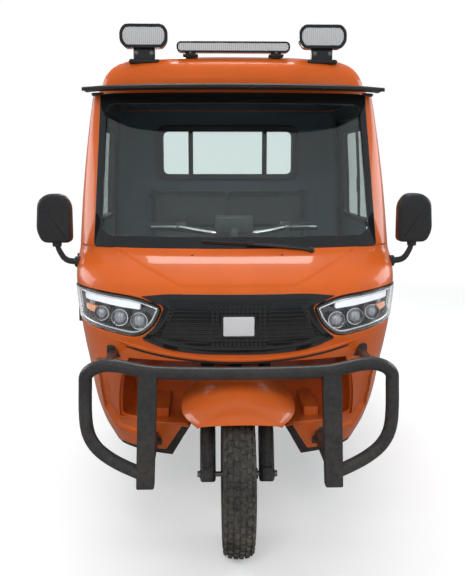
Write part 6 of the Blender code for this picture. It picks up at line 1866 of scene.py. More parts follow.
class TRICYCLE_OT_roof_lamps(bpy.types.Operator):
    """Builds the two work lamps and the light bar on the roof."""
    bl_idname = "tricycle.roof_lamps"
    bl_label = "Roof lamps"

    def execute(self, context):
        x, front, rear = ROOF_LAMP_X, ROOF_LAMP_Y - 0.040, ROOF_LAMP_Y + 0.040
        outline = corner_rounded(spread(LAMP_SPREAD, (x - 0.095, 1.877), (x + 0.095, 1.970)), 0.014, 4)
        case = soft_prism(grown(outline, -0.003), "y", front + 0.008, rear - 0.004, 0.012, 4)
        for row in range(9):
            place = x - 0.064 + row * 0.016
            case.join(soft_box((place - 0.002, rear - 0.010, 1.895), (place + 0.002, rear, 1.952), 0.0012))
        case.join(soft_box((x - 0.042, -0.9725, 1.812), (x + 0.042, -0.9275, 1.884), 0.006, 0.008))
        case.join(
            soft_box(
                (x - 0.060, -0.986, 1.828), (x + 0.060, -0.914, 1.842), 0.005, 0.010
            ).moved(Matrix.Translation((0, 0, -0.007)))
        )
        for sign in (-1, 1):
            case.join(bolt((x + sign * 0.030, -0.9725, 1.860), (0, -1, 0), 0.0065, 1))
            case.join(bolt((x + sign * 0.051, -0.950, 1.834), (0, 0, 1), 0.006, 1))
        finish_pair(
            "work_lamp_case_{}", case, "chassis", ["black_plastic", "steel"],
            "spot_lamp_{}"
        )
        ring = plate(outline, [grown(outline, -0.0135)], (0, front, 0), *FACING_FRONT, 0.014, 0.004, 0.012)
        finish_pair("work_lamp_ring_{}", ring, "chassis", "gloss_black")
        face = plate(grown(outline, -0.012), [], (0, front + 0.012, 0), *FACING_FRONT, 0.003, 0.001, 0.03)
        for column in range(5):
            for row in range(2):
                at = (x - 0.056 + column * 0.028, front + 0.0125, 1.905 + row * 0.037)
                face.join(
                    lathe(
                        [(0.0, 0.0128), (-0.003, 0.0125), (-0.0015, 0.0085), (0.0, 0.002)], at, "y", 20,
                        False, 1, False
                    )
                )
                face.join(dome((at[0], at[1] - 0.0005, at[2]), (0, -1, 0), 0.0066, 0.004, 16, 2))
        finish_pair("work_lamp_reflector_{}", face, "chassis", ["work_face", "work_face", "led"])
        lens = plate(grown(outline, -0.0128), [], (0, front + 0.003, 0), *FACING_FRONT, 0.003, 0.001, 0.012,
                     bulge=lambda flat: 0.002 * ease(edge_distance(flat, outline) / 0.05))
        finish_pair("work_lamp_lens_{}", lens, "chassis", "clear_lens")
        pill = corner_rounded(rectangle((-0.225, 1.863), (0.225, 1.906)), 0.0205, 8)
        light = soft_prism(grown(pill, -0.0015), "y", -0.974, -0.9225, 0.008, 3)
        for sign in (-1, 1):
            light.join(soft_box((sign * 0.150, -0.970, 1.842), (sign * 0.190, -0.930, 1.870), 0.004, 0.006))
            light.join(soft_box((sign * 0.140, -0.976, 1.848), (sign * 0.200, -0.926, 1.857), 0.003, 0.006))
            light.join(bolt((sign * 0.170, -0.974, 1.863), (0, -1, 0), 0.004, 1))
        finish_piece(
            "light_bar_case", light, "chassis", ["black_plastic", "steel"], "light_bar"
        )
        ring = plate(pill, [grown(pill, -0.0075)], (0, -0.978, 0), *FACING_FRONT, 0.012, 0.003, 0.02)
        finish_piece("light_bar_ring", ring, "chassis", "gloss_black")
        row = plate(grown(pill, -0.006), [], (0, -0.970, 0), *FACING_FRONT, 0.003, 0.001, 0.03)
        for column in range(16):
            at = -0.195 + column * 0.026
            row.join(
                soft_box(
                    (at - 0.0105, -0.9735, 1.8745), (at + 0.0105, -0.969, 1.8945), 0.0018, 0.004, "y", 2, 1
                )
            )
        finish_piece("light_bar_cells", row, "chassis", ["work_face", "led"])
        finish_piece(
            "light_bar_lens",
            plate(grown(pill, -0.007), [], (0, -0.9765, 0), *FACING_FRONT, 0.0025, 0.001, 0.02), "chassis",
            "clear_lens"
        )
        return {"FINISHED"}


class TRICYCLE_OT_bull_bar(bpy.types.Operator):
    """Builds the bent bar round the nose with its two flat posts, its arms and their bolted feet."""
    bl_idname = "tricycle.bull_bar"
    bl_label = "Bull bar"

    def execute(self, context):
        sizes = context.scene.tricycle_sizes
        front = -1.665
        half = [(x, front + back, z) for x, back, z in LOOP]
        path = [(-x, y, z) for x, y, z in half[::-1]] + [
            (-0.15, front, 0.7405), (0, front, 0.7385), (0.15, front, 0.7405)
        ] + half
        shape = bar(curved(path, 5), sizes.bar, 20)
        for sign in (-1, 1):
            post = np.array(
                [
                    (0.276, 0.760), (0.332, 0.760), (0.338, 0.700), (0.349, 0.345), (0.289, 0.345),
                    (0.274, 0.700)
                ]
            ) * (sign, 1)
            shape.join(
                soft_prism(
                    corner_rounded(counter_clockwise(post), 0.006, 3), "y", front - 0.020, front + 0.020,
                    0.004
                )
            )
            for x, level, deep in ((0.304, 0.430, 0.020), (0.440, 0.766, 0.010)):
                y = front_at(x, level)
                shape.join(
                    soft_box(
                        (sign * (x - 0.014), front, level - deep),
                        (sign * (x + 0.014), y + 0.012, level + deep), 0.003, 0.004, "y"
                    )
                )
                shape.join(
                    soft_box(
                        (sign * (x - 0.026), y - 0.008, level - deep - 0.012),
                        (sign * (x + 0.026), y + 0.006, level + deep + 0.012), 0.003, 0.006, "y"
                    )
                )
                if level < 0.5:
                    for turn in (-1, 1):
                        shape.join(
                            bolt(
                                (sign * (x + turn * 0.0195), y - 0.008, level + turn * deep * 0.6),
                                (0, -1, 0), 0.0055
                            )
                        )
            for level in (0.400, 0.640):
                shape.join(
                    dome(
                        (sign * (0.312 - (level - 0.345) * 0.04), front - 0.020, level), (0, -1, 0), 0.008,
                        0.003, 20, 0
                    )
                )
        finish_piece("bull_bar_loop", shape, "chassis", "black_paint", "bull_bar")
        return {"FINISHED"}


class TRICYCLE_OT_wiper(bpy.types.Operator):
    """Builds the wiper at rest on the foot of the windscreen, with its washer jets."""
    bl_idname = "tricycle.wiper"
    bl_label = "Wiper"

    def execute(self, context):
        def over_glass(x, z, out):
            flat = np.array([x]), np.array([z])
            return tuple(skin(around_at_x(*flat), flat[1], out)[0])

        boss = over_glass(0.268, 1.116, 0.0)
        shape = turned_to(
            lathe(
                [(-0.020, 0.013), (0.006, 0.013), (0.012, 0.010), (0.016, 0.0035)], (0, 0, 0), "z", 24,
                False, 0, True
            ),
            boss, (0, -0.80, 0.60)
        )
        arm = [
            over_glass(0.268, 1.118, 0.012), over_glass(0.225, 1.126, 0.016),
            over_glass(0.130, 1.136, 0.019), over_glass(0.045, 1.143, 0.017)
        ]
        shape.join(
            swept(
                curved(arm, 6), [(-0.006, -0.003), (0.006, -0.003), (0.005, 0.003), (-0.005, 0.003)],
                up=(0, -0.7, 0.7), sizes=np.linspace(1.2, 0.7, 19)
            )
        )
        blade = [over_glass(x, 1.132 + (0.215 - x) * 0.055, 0.009) for x in np.linspace(0.215, -0.122, 14)]
        shape.join(
            swept(
                blade,
                [
                    (-0.0045, -0.004), (0.0045, -0.004), (0.003, 0.003), (0.0015, 0.007), (-0.0015, 0.007),
                    (-0.003, 0.003)
                ],
                up=(0, -0.7, 0.7)
            )
        )
        rubber = [over_glass(x, 1.132 + (0.215 - x) * 0.055, 0.003) for x in np.linspace(0.213, -0.120, 14)]
        shape.join(bar(rubber, 0.0032, 8))
        shape.join(
            soft_box((0.035, -0.010, -0.006), (0.060, 0.010, 0.006), 0.003).moved(
                Matrix.Translation(Vector(over_glass(0.0, 1.145, 0.013)))
            )
        )
        finish_piece("wiper_arm", shape, "chassis", "black_plastic", "wiper")
        jets = Shape()
        for x in (-0.16, 0.16):
            place = over_glass(x, 1.100, -0.001)
            jets.join(dome(place, (0, -0.6, 0.8), 0.008, 0.006, 20))
        finish_piece("washer_jets", jets, "chassis", "black_plastic")
        return {"FINISHED"}


class TRICYCLE_OT_mirrors(bpy.types.Operator):
    """Builds the door mirrors: domed shells, glass, ball joints and bent arms."""
    bl_idname = "tricycle.mirrors"
    bl_label = "Mirrors"

    def execute(self, context):
        outline = corner_rounded(spread(MIRROR_SPREAD, (0.612, 1.135), (0.7418, 1.318)), 0.022, 5)
        shell = soft_prism(outline, "y", -1.262, -1.2045, 0.020, 6)
        rim = counter_clockwise(mirrored(outline))
        ring = plate(rim, [grown(rim, -0.009)], (0, -1.202, 0), *FACING_REAR, 0.020, 0.004, 0.012)
        finish_pair(
            "mirror_shell_{}", shell.join(ring), "chassis", "black_plastic", "mirror_{}"
        )
        glass = plate(
            grown(rim, -0.0085), [], (0, -1.2035, 0), *FACING_REAR, 0.003, 0.001, 0.02,
            bulge=lambda flat: -0.0006 * ease(edge_distance(flat, rim) / 0.05)
        )
        finish_pair("mirror_pane_{}", glass, "chassis", "mirror_glass")
        path = filleted(
            [
                (0.585, -1.232, 1.062), (0.640, -1.232, 1.068), (0.666, -1.232, 1.112),
                (0.674, -1.232, 1.160)
            ],
            0.022, 6
        )
        arm = bar(path, 0.0105, 16, sizes=np.linspace(1.12, 0.90, len(path)))
        arm.join(
            lathe(
                [(0.586, 0.021), (0.6005, 0.021), (0.6045, 0.016), (0.6045, 0.004)], (0, -1.232, 1.063),
                "x", 28, False, 0, True
            )
        )
        arm.join(
            lathe(
                [(1.120, 0.006), (1.121, 0.0165), (1.133, 0.0175), (1.144, 0.0165), (1.150, 0.006)],
                (0.669, -1.232, 0), "z", 24, False, 0, True
            )
        )
        for turn in (0.6, 2.7, 4.8):
            arm.join(
                bolt(
                    (0.602, -1.232 + 0.0145 * math.cos(turn), 1.063 + 0.0145 * math.sin(turn)), (1, 0, 0),
                    0.003, 1
                )
            )
        finish_pair("mirror_arm_{}", arm, "chassis", ["black_plastic", "steel"])
        return {"FINISHED"}


# Steering and wheels

def steered(shape):
    """A shape made upright about the steering axis, with z up it and y to the rear, leaned into place."""
    foot = steering_point(0.0)
    turn = Matrix.Rotation(-RAKE, 4, "X")
    return shape.moved(Matrix.Translation(foot) @ turn)


class TRICYCLE_OT_fork(bpy.types.Operator):
    """Builds the fork: covered tubes, sliders with their feet, clamps, stem, axle and brake."""
    bl_idname = "tricycle.fork"
    bl_label = "Fork"

    def execute(self, context):
        ahead, leg_x, leg_top, stem_top = -FORK_OFFSET, 0.108, 0.557, 0.906
        shape = Shape()
        for sign in (-1, 1):
            x = sign * leg_x
            tube = [
                (0.150, 0.020), (0.196, 0.0225), (0.200, 0.0240), (0.400, 0.0240),
                (leg_top - 0.004, 0.0240), (leg_top, 0.020), (leg_top + 0.0005, 0.004)
            ]
            shape.join(lathe(tube, (x, ahead, 0), "z", 32, False, 0, True))
            slider = [
                (-0.029, 0.006), (-0.029, 0.022), (-0.024, 0.0275), (-0.012, 0.029), (0.150, 0.029),
                (0.170, 0.0285), (0.178, 0.0265), (0.180, 0.0225)
            ]
            shape.join(lathe(slider, (x, ahead, 0), "z", 32, False, 1, True))
            shape.join(
                lathe(
                    [(0.178, 0.022), (0.180, 0.0275), (0.190, 0.0275), (0.196, 0.0235)], (x, ahead, 0), "z",
                    32, False, 2, True
                )
            )
            foot = soft_box(
                (x - 0.022, ahead - 0.034, -0.028), (x + 0.022, ahead + 0.034, 0.026), 0.008, 0.012, "x", 3,
                1
            )
            shape.join(foot)
            shape.join(bolt((x, ahead + 0.0335, -0.014), (0, 1, 0), 0.0055, 3))
            shape.join(bolt((x + sign * 0.0285, ahead, 0.0), (sign, 0, 0), 0.011, 3))
            for level in (0.418, 0.531):
                shape.join(bolt((x * 0.74, ahead - 0.040, level), (0, -1, 0), 0.006, 3))
        for level in (0.418, 0.531):
            outline = [
                (-0.135, -0.030), (-0.110, -0.050), (0.110, -0.050), (0.135, -0.030), (0.135, 0.012),
                (0.090, 0.024), (0.040, 0.052), (-0.040, 0.052), (-0.090, 0.024), (-0.135, 0.012)
            ]
            outline = [(x, y + ahead / 2) for x, y in outline]
            shape.join(
                soft_prism(
                    corner_rounded(outline, 0.014, 5), "z", level - 0.013, level + 0.013, 0.003, 3, 0
                )
            )
        shape.join(
            lathe(
                [(0.418, 0.0198), (stem_top - 0.003, 0.0198), (stem_top, 0.017)], (0, 0, 0), "z", 32, False,
                0, True
            )
        )
        shape.join(
            lathe(
                [(0.5445, 0.021), (0.5445, 0.030), (0.556, 0.030), (0.558, 0.021)], (0, 0, 0), "z", 6,
                False, 3, True
            )
        )
        shape.join(
            lathe([(0.437, 0.021), (0.437, 0.031), (0.4385, 0.031)], (0, 0, 0), "z", 24, False, 2, True)
        )
        shape.join(lathe([(-0.140, 0.0095), (0.140, 0.0095)], (0, ahead, 0), "x", 24, False, 3, True))
        hose = curved(
            [(0.104, 0.020, 0.050), (0.098, 0.026, 0.180), (0.094, 0.028, 0.300), (0.090, 0.014, 0.408)], 6
        )
        shape.join(bar(hose, 0.0035, 8, finish=2))
        shape.join(
            soft_box((0.060, ahead - 0.006, -0.020), (0.076, ahead + 0.050, 0.020), 0.003, 0.006, "x", 2, 1)
        )
        finish_piece(
            "fork_assembly", steered(shape), "steering",
            ["black_paint", "black_paint", "rubber", "steel"], "fork"
        )
        return {"FINISHED"}


class TRICYCLE_OT_handlebar(bpy.types.Operator):
    """Builds the handlebar with grips, levers, switches and the display."""
    bl_idname = "tricycle.handlebar"
    bl_label = "Handlebar"

    def execute(self, context):
        top = steering_point(0.906 + 0.012 + 0.008)
        half = [
            (0.335 * across, top.y + 0.080 * back, top.z + 0.022 * up)
            for across, back, up in ((0.22, 0, 0), (0.45, 0.35, 0.5), (0.66, 0.85, 1), (1, 1.10, 1))
        ]
        path = [(-x, y, z) for x, y, z in half[::-1]] + half
        tube = bar(filleted(path, 0.045, 6), 0.0115, 20)
        tube.join(
            lathe(
                [
                    (-0.022, 0.010), (-0.022, 0.0235), (-0.018, 0.0245), (0.016, 0.0245), (0.020, 0.0225),
                    (0.020, 0.010)
                ],
                (0, top.y, top.z), "z", 28, False, 1, True
            )
        )
        for sign in (-1, 1):
            tube.join(bolt((sign * 0.016, top.y - 0.001, top.z + 0.018), (0, 0, 1), 0.0045, 2))
        finish_piece(
            "handlebar_tube", tube, "steering", ["chrome", "black_paint", "steel"], "handlebar"
        )
        end = Vector(half[-1])
        along = (end - Vector(half[-2])).normalized()
        grip = Shape()
        profile = [(-0.105, 0.0125), (-0.105, 0.0178), (-0.100, 0.0178), (-0.098, 0.0160)]
        for step in range(20):
            profile += [
                (-0.096 + step * 0.0046, 0.0152), (-0.0945 + step * 0.0046, 0.0168),
                (-0.0925 + step * 0.0046, 0.0168)
            ]
        profile += [(0.000, 0.0178), (0.003, 0.0170), (0.004, 0.006)]
        grip.join(turned_to(lathe(profile, (0, 0, 0), "z", 28, False, 0, True), end, along))
        inner = end - along * 0.128
        pod = soft_box((-0.020, -0.019, -0.019), (0.020, 0.019, 0.019), 0.006, 0.010, "x", 3, 1)
        turn = Vector((1, 0, 0)).rotation_difference(along).to_matrix().to_4x4()
        for place, paint in (((-0.006, 0.019, 0.006), 2), ((0.008, 0.019, -0.004), 3)):
            pod.join(
                soft_box(
                    Vector(place) - Vector((0.005, 0.004, 0.004)),
                    Vector(place) + Vector((0.005, 0.003, 0.004)), 0.0015, 0.002, "y", 2, paint
                )
            )
        grip.join(pod.moved(Matrix.Translation(inner) @ turn))
        start = inner + Vector((0, -0.014, 0.004))
        lever = curved(
            [
                start, start + Vector((0.030, -0.030, 0.0)), start + Vector((0.080, -0.030, 0.001)),
                start + Vector((0.120, -0.022, 0.0))
            ],
            6
        )
        grip.join(
            swept(
                lever, [(-0.0045, -0.003), (0.0045, -0.003), (0.0045, 0.003), (-0.0045, 0.003)], finish=4,
                up=(0, 0, 1),
                sizes=np.concatenate([np.linspace(1.5, 0.9, 12), np.linspace(0.9, 1.1, len(lever) - 12)])
            )
        )
        finish_pair(
            "grip_{}", grip, "steering",
            ["rubber", "black_plastic", "amber_lens", "plate_white", "silver"]
        )
        low, high = Vector((-0.075, top.y - 0.020, top.z)), Vector((0.075, top.y + 0.020, top.z + 0.070))
        display = soft_box(low, high, 0.007, 0.012, "y", 4)
        hood = soft_box(
            (low.x + 0.004, high.y - 0.004, high.z - 0.010),
            (high.x - 0.004, high.y + 0.012, high.z - 0.002), 0.003, 0.004, "z"
        )
        finish_piece("display_case", display.join(hood), "steering", "black_plastic")
        face = corner_rounded(rectangle((-0.064, low.z + 0.010), (0.064, high.z - 0.011)), 0.006, 3)
        finish_piece(
            "display_screen",
            plate(counter_clockwise(face), [], (0, high.y + 0.001, 0), *FACING_REAR, 0.003, 0.001),
            "steering", "screen"
        )
        return {"FINISHED"}


class TRICYCLE_OT_front_mudguard(bpy.types.Operator):
    """Builds the wide domed front mudguard with its rolled edge, its narrow tail and its bolts."""
    bl_idname = "tricycle.front_mudguard"
    bl_label = "Front mudguard"

    def execute(self, context):
        knots = (131, 122, 113, 104, 95, 86, 79)
        wide = (0.72, 0.90, 0.98, 1.0, 1.0, 0.98, 0.94)

        def shell(angles, widths, flange):
            rings = []
            for index, (angle, width) in enumerate(zip(angles, widths)):
                end = min(index, len(angles) - 1 - index)
                thick = (0.0025, 0.0055, 0.0074, 0.008)[min(end, 3)]
                shares = np.linspace(-1, 1, 41)
                x = shares * width
                reach = 0.385 - 0.086 * (x / 0.200) ** 2 - flange * ease(
                    (np.abs(shares) - 0.90) / 0.10
                ) - (0.0028, 0.0010, 0.0002, 0)[min(end, 3)]
                outer = np.stack([x, reach], 1)
                inner = np.stack([x[::-1] * 0.992, reach[::-1] - thick], 1)
                loop = np.concatenate(
                    [
                        outer, [(x[-1] * 1.004, reach[-1] - thick / 2)], inner,
                        [(x[0] * 1.004, reach[0] - thick / 2)]
                    ]
                )
                droop = 3.4 * np.clip((angle - 105) / 26, 0, 1) * (1 - 1.6 * (loop[:, 0] / 0.200) ** 2)
                turn = np.radians(angle + droop)
                rings.append(
                    np.stack(
                        [
                            loop[:, 0], FRONT_AXLE.y + loop[:, 1] * np.cos(turn),
                            FRONT_AXLE.z + loop[:, 1] * np.sin(turn)
                        ],
                        1
                    )
                )
            points = np.concatenate(rings)
            count = len(rings[0])
            faces = grid_faces(len(rings), count)
            return Shape().add(
                points, faces + [list(range(count))[::-1], list(range(len(points) - count, len(points)))]
            )

        angles = np.linspace(131, 79, 45)
        widths = 0.1995 * monotone(131 - angles, 131 - np.array(knots), np.array(wide))
        guard = shell(angles, widths, 0.006)
        tail = shell(np.linspace(96, 60, 25), np.full(25, 0.0745), 0.002)
        guard.join(tail.moved(Matrix.Translation((0, 0, -0.0015))))
        finish_piece(
            "front_mudguard_shell", guard, "steering", "orange_paint", "front_mudguard", 30
        )
        stay = lathe([(0.376, 0.024), (0.4045, 0.024)], (0, 0, 0), "z", 28, False, 0, True)
        for sign in (-1, 1):
            stay.join(bolt((sign * 0.050, 0, 0.3795), (0, 0, 1), 0.006, 1))
        finish_piece("mudguard_stay", steered(stay), "steering", ["black_paint", "steel"])
        return {"FINISHED"}


def tyre_profile(half, low, radius, sunk):
    """A carcass's closed profile; its tread face lies below the tyre's full radius."""
    shares = (
        (-0.62, 0.0), (-0.86, 0.14), (-1.0, 0.40), (-0.985, 0.62), (-0.90, 0.80), (-0.66, 0.935),
        (-0.35, 0.985), (0, 1.0)
    )
    points = [(half * x, low + (radius - sunk - low) * up) for x, up in shares]
    line = np.array(curved([(x, r) for x, r in points], 5))
    line = np.concatenate([line, (line[::-1] * (-1, 1))[1:]])
    seat = [
        (half * 0.60, low - 0.001), (half * 0.40, low + 0.006), (-half * 0.40, low + 0.006),
        (-half * 0.60, low - 0.001)
    ]
    return np.concatenate([line, seat])


def tread_blocks(centre, blocks, around, height, surface):
    """Blocks on a tyre: each an outline of (turn, across) standing on the carcass, its top a little smaller."""
    points, faces = [], []
    for turn in np.arange(around) / around * math.tau:
        for block in blocks:
            block = np.asarray(block, float)
            middle = block.mean(0)
            start = len(points)
            for part, rise in ((1.0, -0.004), (0.97, 0.74), (0.86, 1.0)):
                ring = middle + (block - middle) * part
                for angle, across in ring:
                    x, radius = surface(across)
                    lift = radius + (height * rise if rise > 0 else rise)
                    lean = across * height * max(rise, 0) * 0.35
                    points.append(
                        (
                            centre[0] + x + lean, centre[1] + lift * math.cos(turn + angle),
                            centre[2] + lift * math.sin(turn + angle)
                        )
                    )
            count = len(block)
            for row in range(2):
                for corner in range(count):
                    after = (corner + 1) % count
                    faces.append(
                        [
                            start + row * count + corner, start + row * count + after,
                            start + (row + 1) * count + after, start + (row + 1) * count + corner
                        ]
                    )
            faces.append([start + 2 * count + corner for corner in range(count)])
            faces.append([start + corner for corner in range(count)][::-1])
    return Shape().add(points, faces)


class TRICYCLE_OT_tyres(bpy.types.Operator):
    """Builds the front tyre with its knobs and the rear tyres with their road tread."""
    bl_idname = "tricycle.tyres"
    bl_label = "Tyres"

    def execute(self, context):
        sizes = context.scene.tricycle_sizes
        for name, centre, half, low, radius, sunk in (
            ("front", tuple(FRONT_AXLE), 0.057, 0.203, 0.300, sizes.knob),
            ("rear_left", (REAR_WHEEL_X, REAR_AXLE_Y, REAR_AXLE_Z), 0.0625, 0.1525, 0.283, sizes.groove),
            ("rear_right", (-REAR_WHEEL_X, REAR_AXLE_Y, REAR_AXLE_Z), 0.0625, 0.1525, 0.283, sizes.groove)
        ):
            profile = tyre_profile(half, low, radius, sunk)
            tyre = lathe(profile, centre, "x", 96, True)
            crown = profile[:len(profile) - 4]

            def surface(across, crown=crown, half=half):
                x = across * half
                top = crown[np.abs(crown[:, 1] - low) > (radius - low) * 0.35]
                return x, float(np.interp(x, top[:, 0], top[:, 1]))

            if name == "front":
                pitch = math.tau / 40
                long = pitch * 0.30
                blocks = [
                    [(-long, 0.03), (long * 0.7, 0.03), (long, 0.30), (-long * 0.7, 0.30)],
                    [
                        (-long + pitch / 2, -0.30), (long * 0.7 + pitch / 2, -0.30),
                        (long + pitch / 2, -0.03), (-long * 0.7 + pitch / 2, -0.03)
                    ],
                    [
                        (-long * 0.9 + pitch * 0.4, 0.40), (long * 0.9 + pitch * 0.4, 0.40),
                        (long * 0.9 + pitch * 0.4, 0.66), (-long * 0.9 + pitch * 0.4, 0.66)
                    ],
                    [
                        (-long * 0.9 + pitch * 0.9, -0.66), (long * 0.9 + pitch * 0.9, -0.66),
                        (long * 0.9 + pitch * 0.9, -0.40), (-long * 0.9 + pitch * 0.9, -0.40)
                    ],
                    [(-long, 0.74), (long, 0.74), (long * 0.8, 0.925), (-long * 0.8, 0.925)],
                    [
                        (-long * 0.8 + pitch / 2, -0.925), (long * 0.8 + pitch / 2, -0.925),
                        (long + pitch / 2, -0.74), (-long + pitch / 2, -0.74)
                    ]
                ]
                around = 40
            else:
                around = 48
                pitch = math.tau / around
                long = pitch * 0.46
                blocks = []
                for low_x, high_x, slant in (
                    (-0.88, -0.60, 0.2), (-0.52, -0.20, 0.5), (-0.13, 0.13, 0.0), (0.20, 0.52, -0.5),
                    (0.60, 0.88, -0.2)
                ):
                    shift = pitch * slant * 0.4
                    blocks.append(
                        [
                            (-long - shift, low_x), (long * 0.92 - shift, low_x),
                            (long * 0.92 + shift, high_x), (-long + shift, high_x)
                        ]
                    )
            tyre.join(tread_blocks(centre, blocks, around, sunk - 0.0008, surface))
            for side in (-1, 1):
                for share, bump in ((0.55, 0.0015), (0.20, 0.0025)):
                    level = low + (radius - low) * share
                    wall = crown[crown[:, 0] * side >= 0]
                    x = float(
                        np.interp(level, *(wall[wall[:, 1].argsort()][:, column] for column in (1, 0)))
                    )
                    x = side * min(abs(x), half - 0.0008)
                    tyre.join(
                        lathe(
                            [
                                (x - side * 0.003, level - 0.003), (x + side * 0.0006, level - bump),
                                (x + side * 0.0006, level + bump), (x - side * 0.003, level + 0.003)
                            ][::side],
                            centre, "x", 96, True
                        )
                    )
            body = "wheel_" + name
            finish_piece("tyre_" + name + "_rubber", tyre, body, "tyre", "tyre_" + name, 34)
        return {"FINISHED"}


class TRICYCLE_OT_rims(bpy.types.Operator):
    """Builds the cast front rim and the steel rear rims with their hubs, drums and nuts."""
    bl_idname = "tricycle.rims"
    bl_label = "Rims"

    def execute(self, context):
        finish_piece(
            "rim_front_casting", self.make_front(), "wheel_front", ["rim", "cast", "steel", "brass"],
            "rim_front"
        )
        for side, sign in SIDES.items():
            shape = self.make_rear()
            shape = shape if sign > 0 else shape.copy_mirrored()
            shape.moved(Matrix.Translation((sign * REAR_WHEEL_X, REAR_AXLE_Y, REAR_AXLE_Z)))
            finish_piece(
                f"rim_rear_{side}_disc", shape, f"wheel_rear_{side}",
                ["rim", "cast", "steel", "brass"], f"rim_rear_{side}"
            )
        return {"FINISHED"}

    def barrel(self, half, seat):
        line = [
            (-half, seat + 0.0115), (-half + 0.003, seat + 0.012), (-half + 0.006, seat + 0.0005),
            (-half * 0.55, seat - 0.004), (-half * 0.42, seat - 0.014), (half * 0.42, seat - 0.014),
            (half * 0.55, seat - 0.004), (half - 0.006, seat + 0.0005), (half - 0.003, seat + 0.012),
            (half, seat + 0.0115), (half - 0.001, seat - 0.004), (half * 0.62, seat - 0.009),
            (half * 0.46, seat - 0.019), (-half * 0.46, seat - 0.019), (-half * 0.62, seat - 0.009),
            (-half + 0.001, seat - 0.004)
        ]
        return lathe(line, (0, 0, 0), "x", 72, True)

    def make_front(self):
        shape = self.barrel(0.0395, 0.2027)
        windows = []
        for index in range(5):
            turn = math.tau * (index + 0.5) / 5 + math.pi / 2
            spots = []
            for radius, width in (
                (0.066, 0.20), (0.100, 0.36), (0.165, 0.46), (0.165, -0.46), (0.100, -0.36), (0.066, -0.20)
            ):
                spots.append((radius * math.cos(turn + width), radius * math.sin(turn + width)))
            arc = [
                (0.172 * math.cos(turn + width), 0.172 * math.sin(turn + width))
                for width in (-0.30, 0, 0.30)
            ]
            spots = spots[:3] + arc[::-1] + spots[3:]
            windows.append(corner_rounded(counter_clockwise(spots), 0.014, 4))
        disc = circle((0, 0), 0.1865, 72)
        for side in (1, -1):
            right = (0, side, 0)
            holes = windows if side > 0 else [counter_clockwise(mirrored(window)) for window in windows]
            shape.join(
                plate(
                    disc, holes, (side * 0.013, 0, 0), right, (0, 0, 1), 0.0132, 0.004, 0.03, 0,
                    bulge=lambda flat: 0.006 * ease(1 - np.hypot(*flat.T) / 0.16)
                )
            )
        for side in (-1, 1):
            shape.join(
                lathe(
                    [
                        (side * 0.010, 0.060), (side * 0.024, 0.056), (side * 0.040, 0.047),
                        (side * 0.0455, 0.043), (side * 0.0455, 0.0106), (side * 0.010, 0.0106)
                    ][::side],
                    (0, 0, 0), "x", 40, True, 1
                )
            )
        for index in range(5):
            turn = math.tau * index / 5 + math.pi / 2
            shape.join(bolt((0.0245, 0.050 * math.cos(turn), 0.050 * math.sin(turn)), (1, 0, 0), 0.0055, 2))
        shape.join(
            turned_to(
                lathe(
                    [(0, 0.004), (0.018, 0.004), (0.020, 0.003), (0.026, 0.003)], (0, 0, 0), "z", 12, False,
                    3, True
                ),
                (0.006, 0, 0.184), (0.15, 0, -1)
            )
        )
        return shape.moved(Matrix.Translation(FRONT_AXLE))

    def make_rear(self):
        shape = self.barrel(0.043, 0.1522)
        holes = []
        for index in range(8):
            turn = math.tau * (index + 0.5) / 8
            holes.append(circle((0.106 * math.cos(turn), 0.106 * math.sin(turn)), 0.014, 20))
        disc = circle((0, 0), 0.1355, 64)
        shape.join(
            plate(
                disc, holes, (0.006, 0, 0), (0, 1, 0), (0, 0, 1), 0.010, 0.003, 0.02, 0,
                bulge=lambda flat: 0.014 * ease((0.098 - np.hypot(*flat.T)) / 0.022) - 0.006 * ease(
                    (np.hypot(*flat.T) - 0.118) / 0.014
                )
            )
        )
        shape.join(
            lathe(
                [
                    (-0.048, 0.0165), (-0.048, 0.085), (-0.044, 0.093), (-0.010, 0.095), (-0.006, 0.088),
                    (-0.006, 0.0165)
                ],
                (0, 0, 0), "x", 56, True, 1
            )
        )
        shape.join(
            lathe(
                [
                    (0.010, 0.0165), (0.010, 0.060), (0.022, 0.058), (0.026, 0.036), (0.044, 0.033),
                    (0.0495, 0.026), (0.0495, 0.0165)
                ],
                (0, 0, 0), "x", 40, True, 1
            )
        )
        for index in range(5):
            turn = math.tau * index / 5 + math.pi / 2
            shape.join(bolt((0.0205, 0.074 * math.cos(turn), 0.074 * math.sin(turn)), (1, 0, 0), 0.0095, 2))
        shape.join(
            turned_to(
                lathe(
                    [(0, 0.004), (0.016, 0.004), (0.018, 0.003), (0.022, 0.003)], (0, 0, 0), "z", 12, False,
                    3, True
                ),
                (0.012, 0, 0.132), (0.5, 0, -1)
            )
        )
        return shape


# Inside the cab

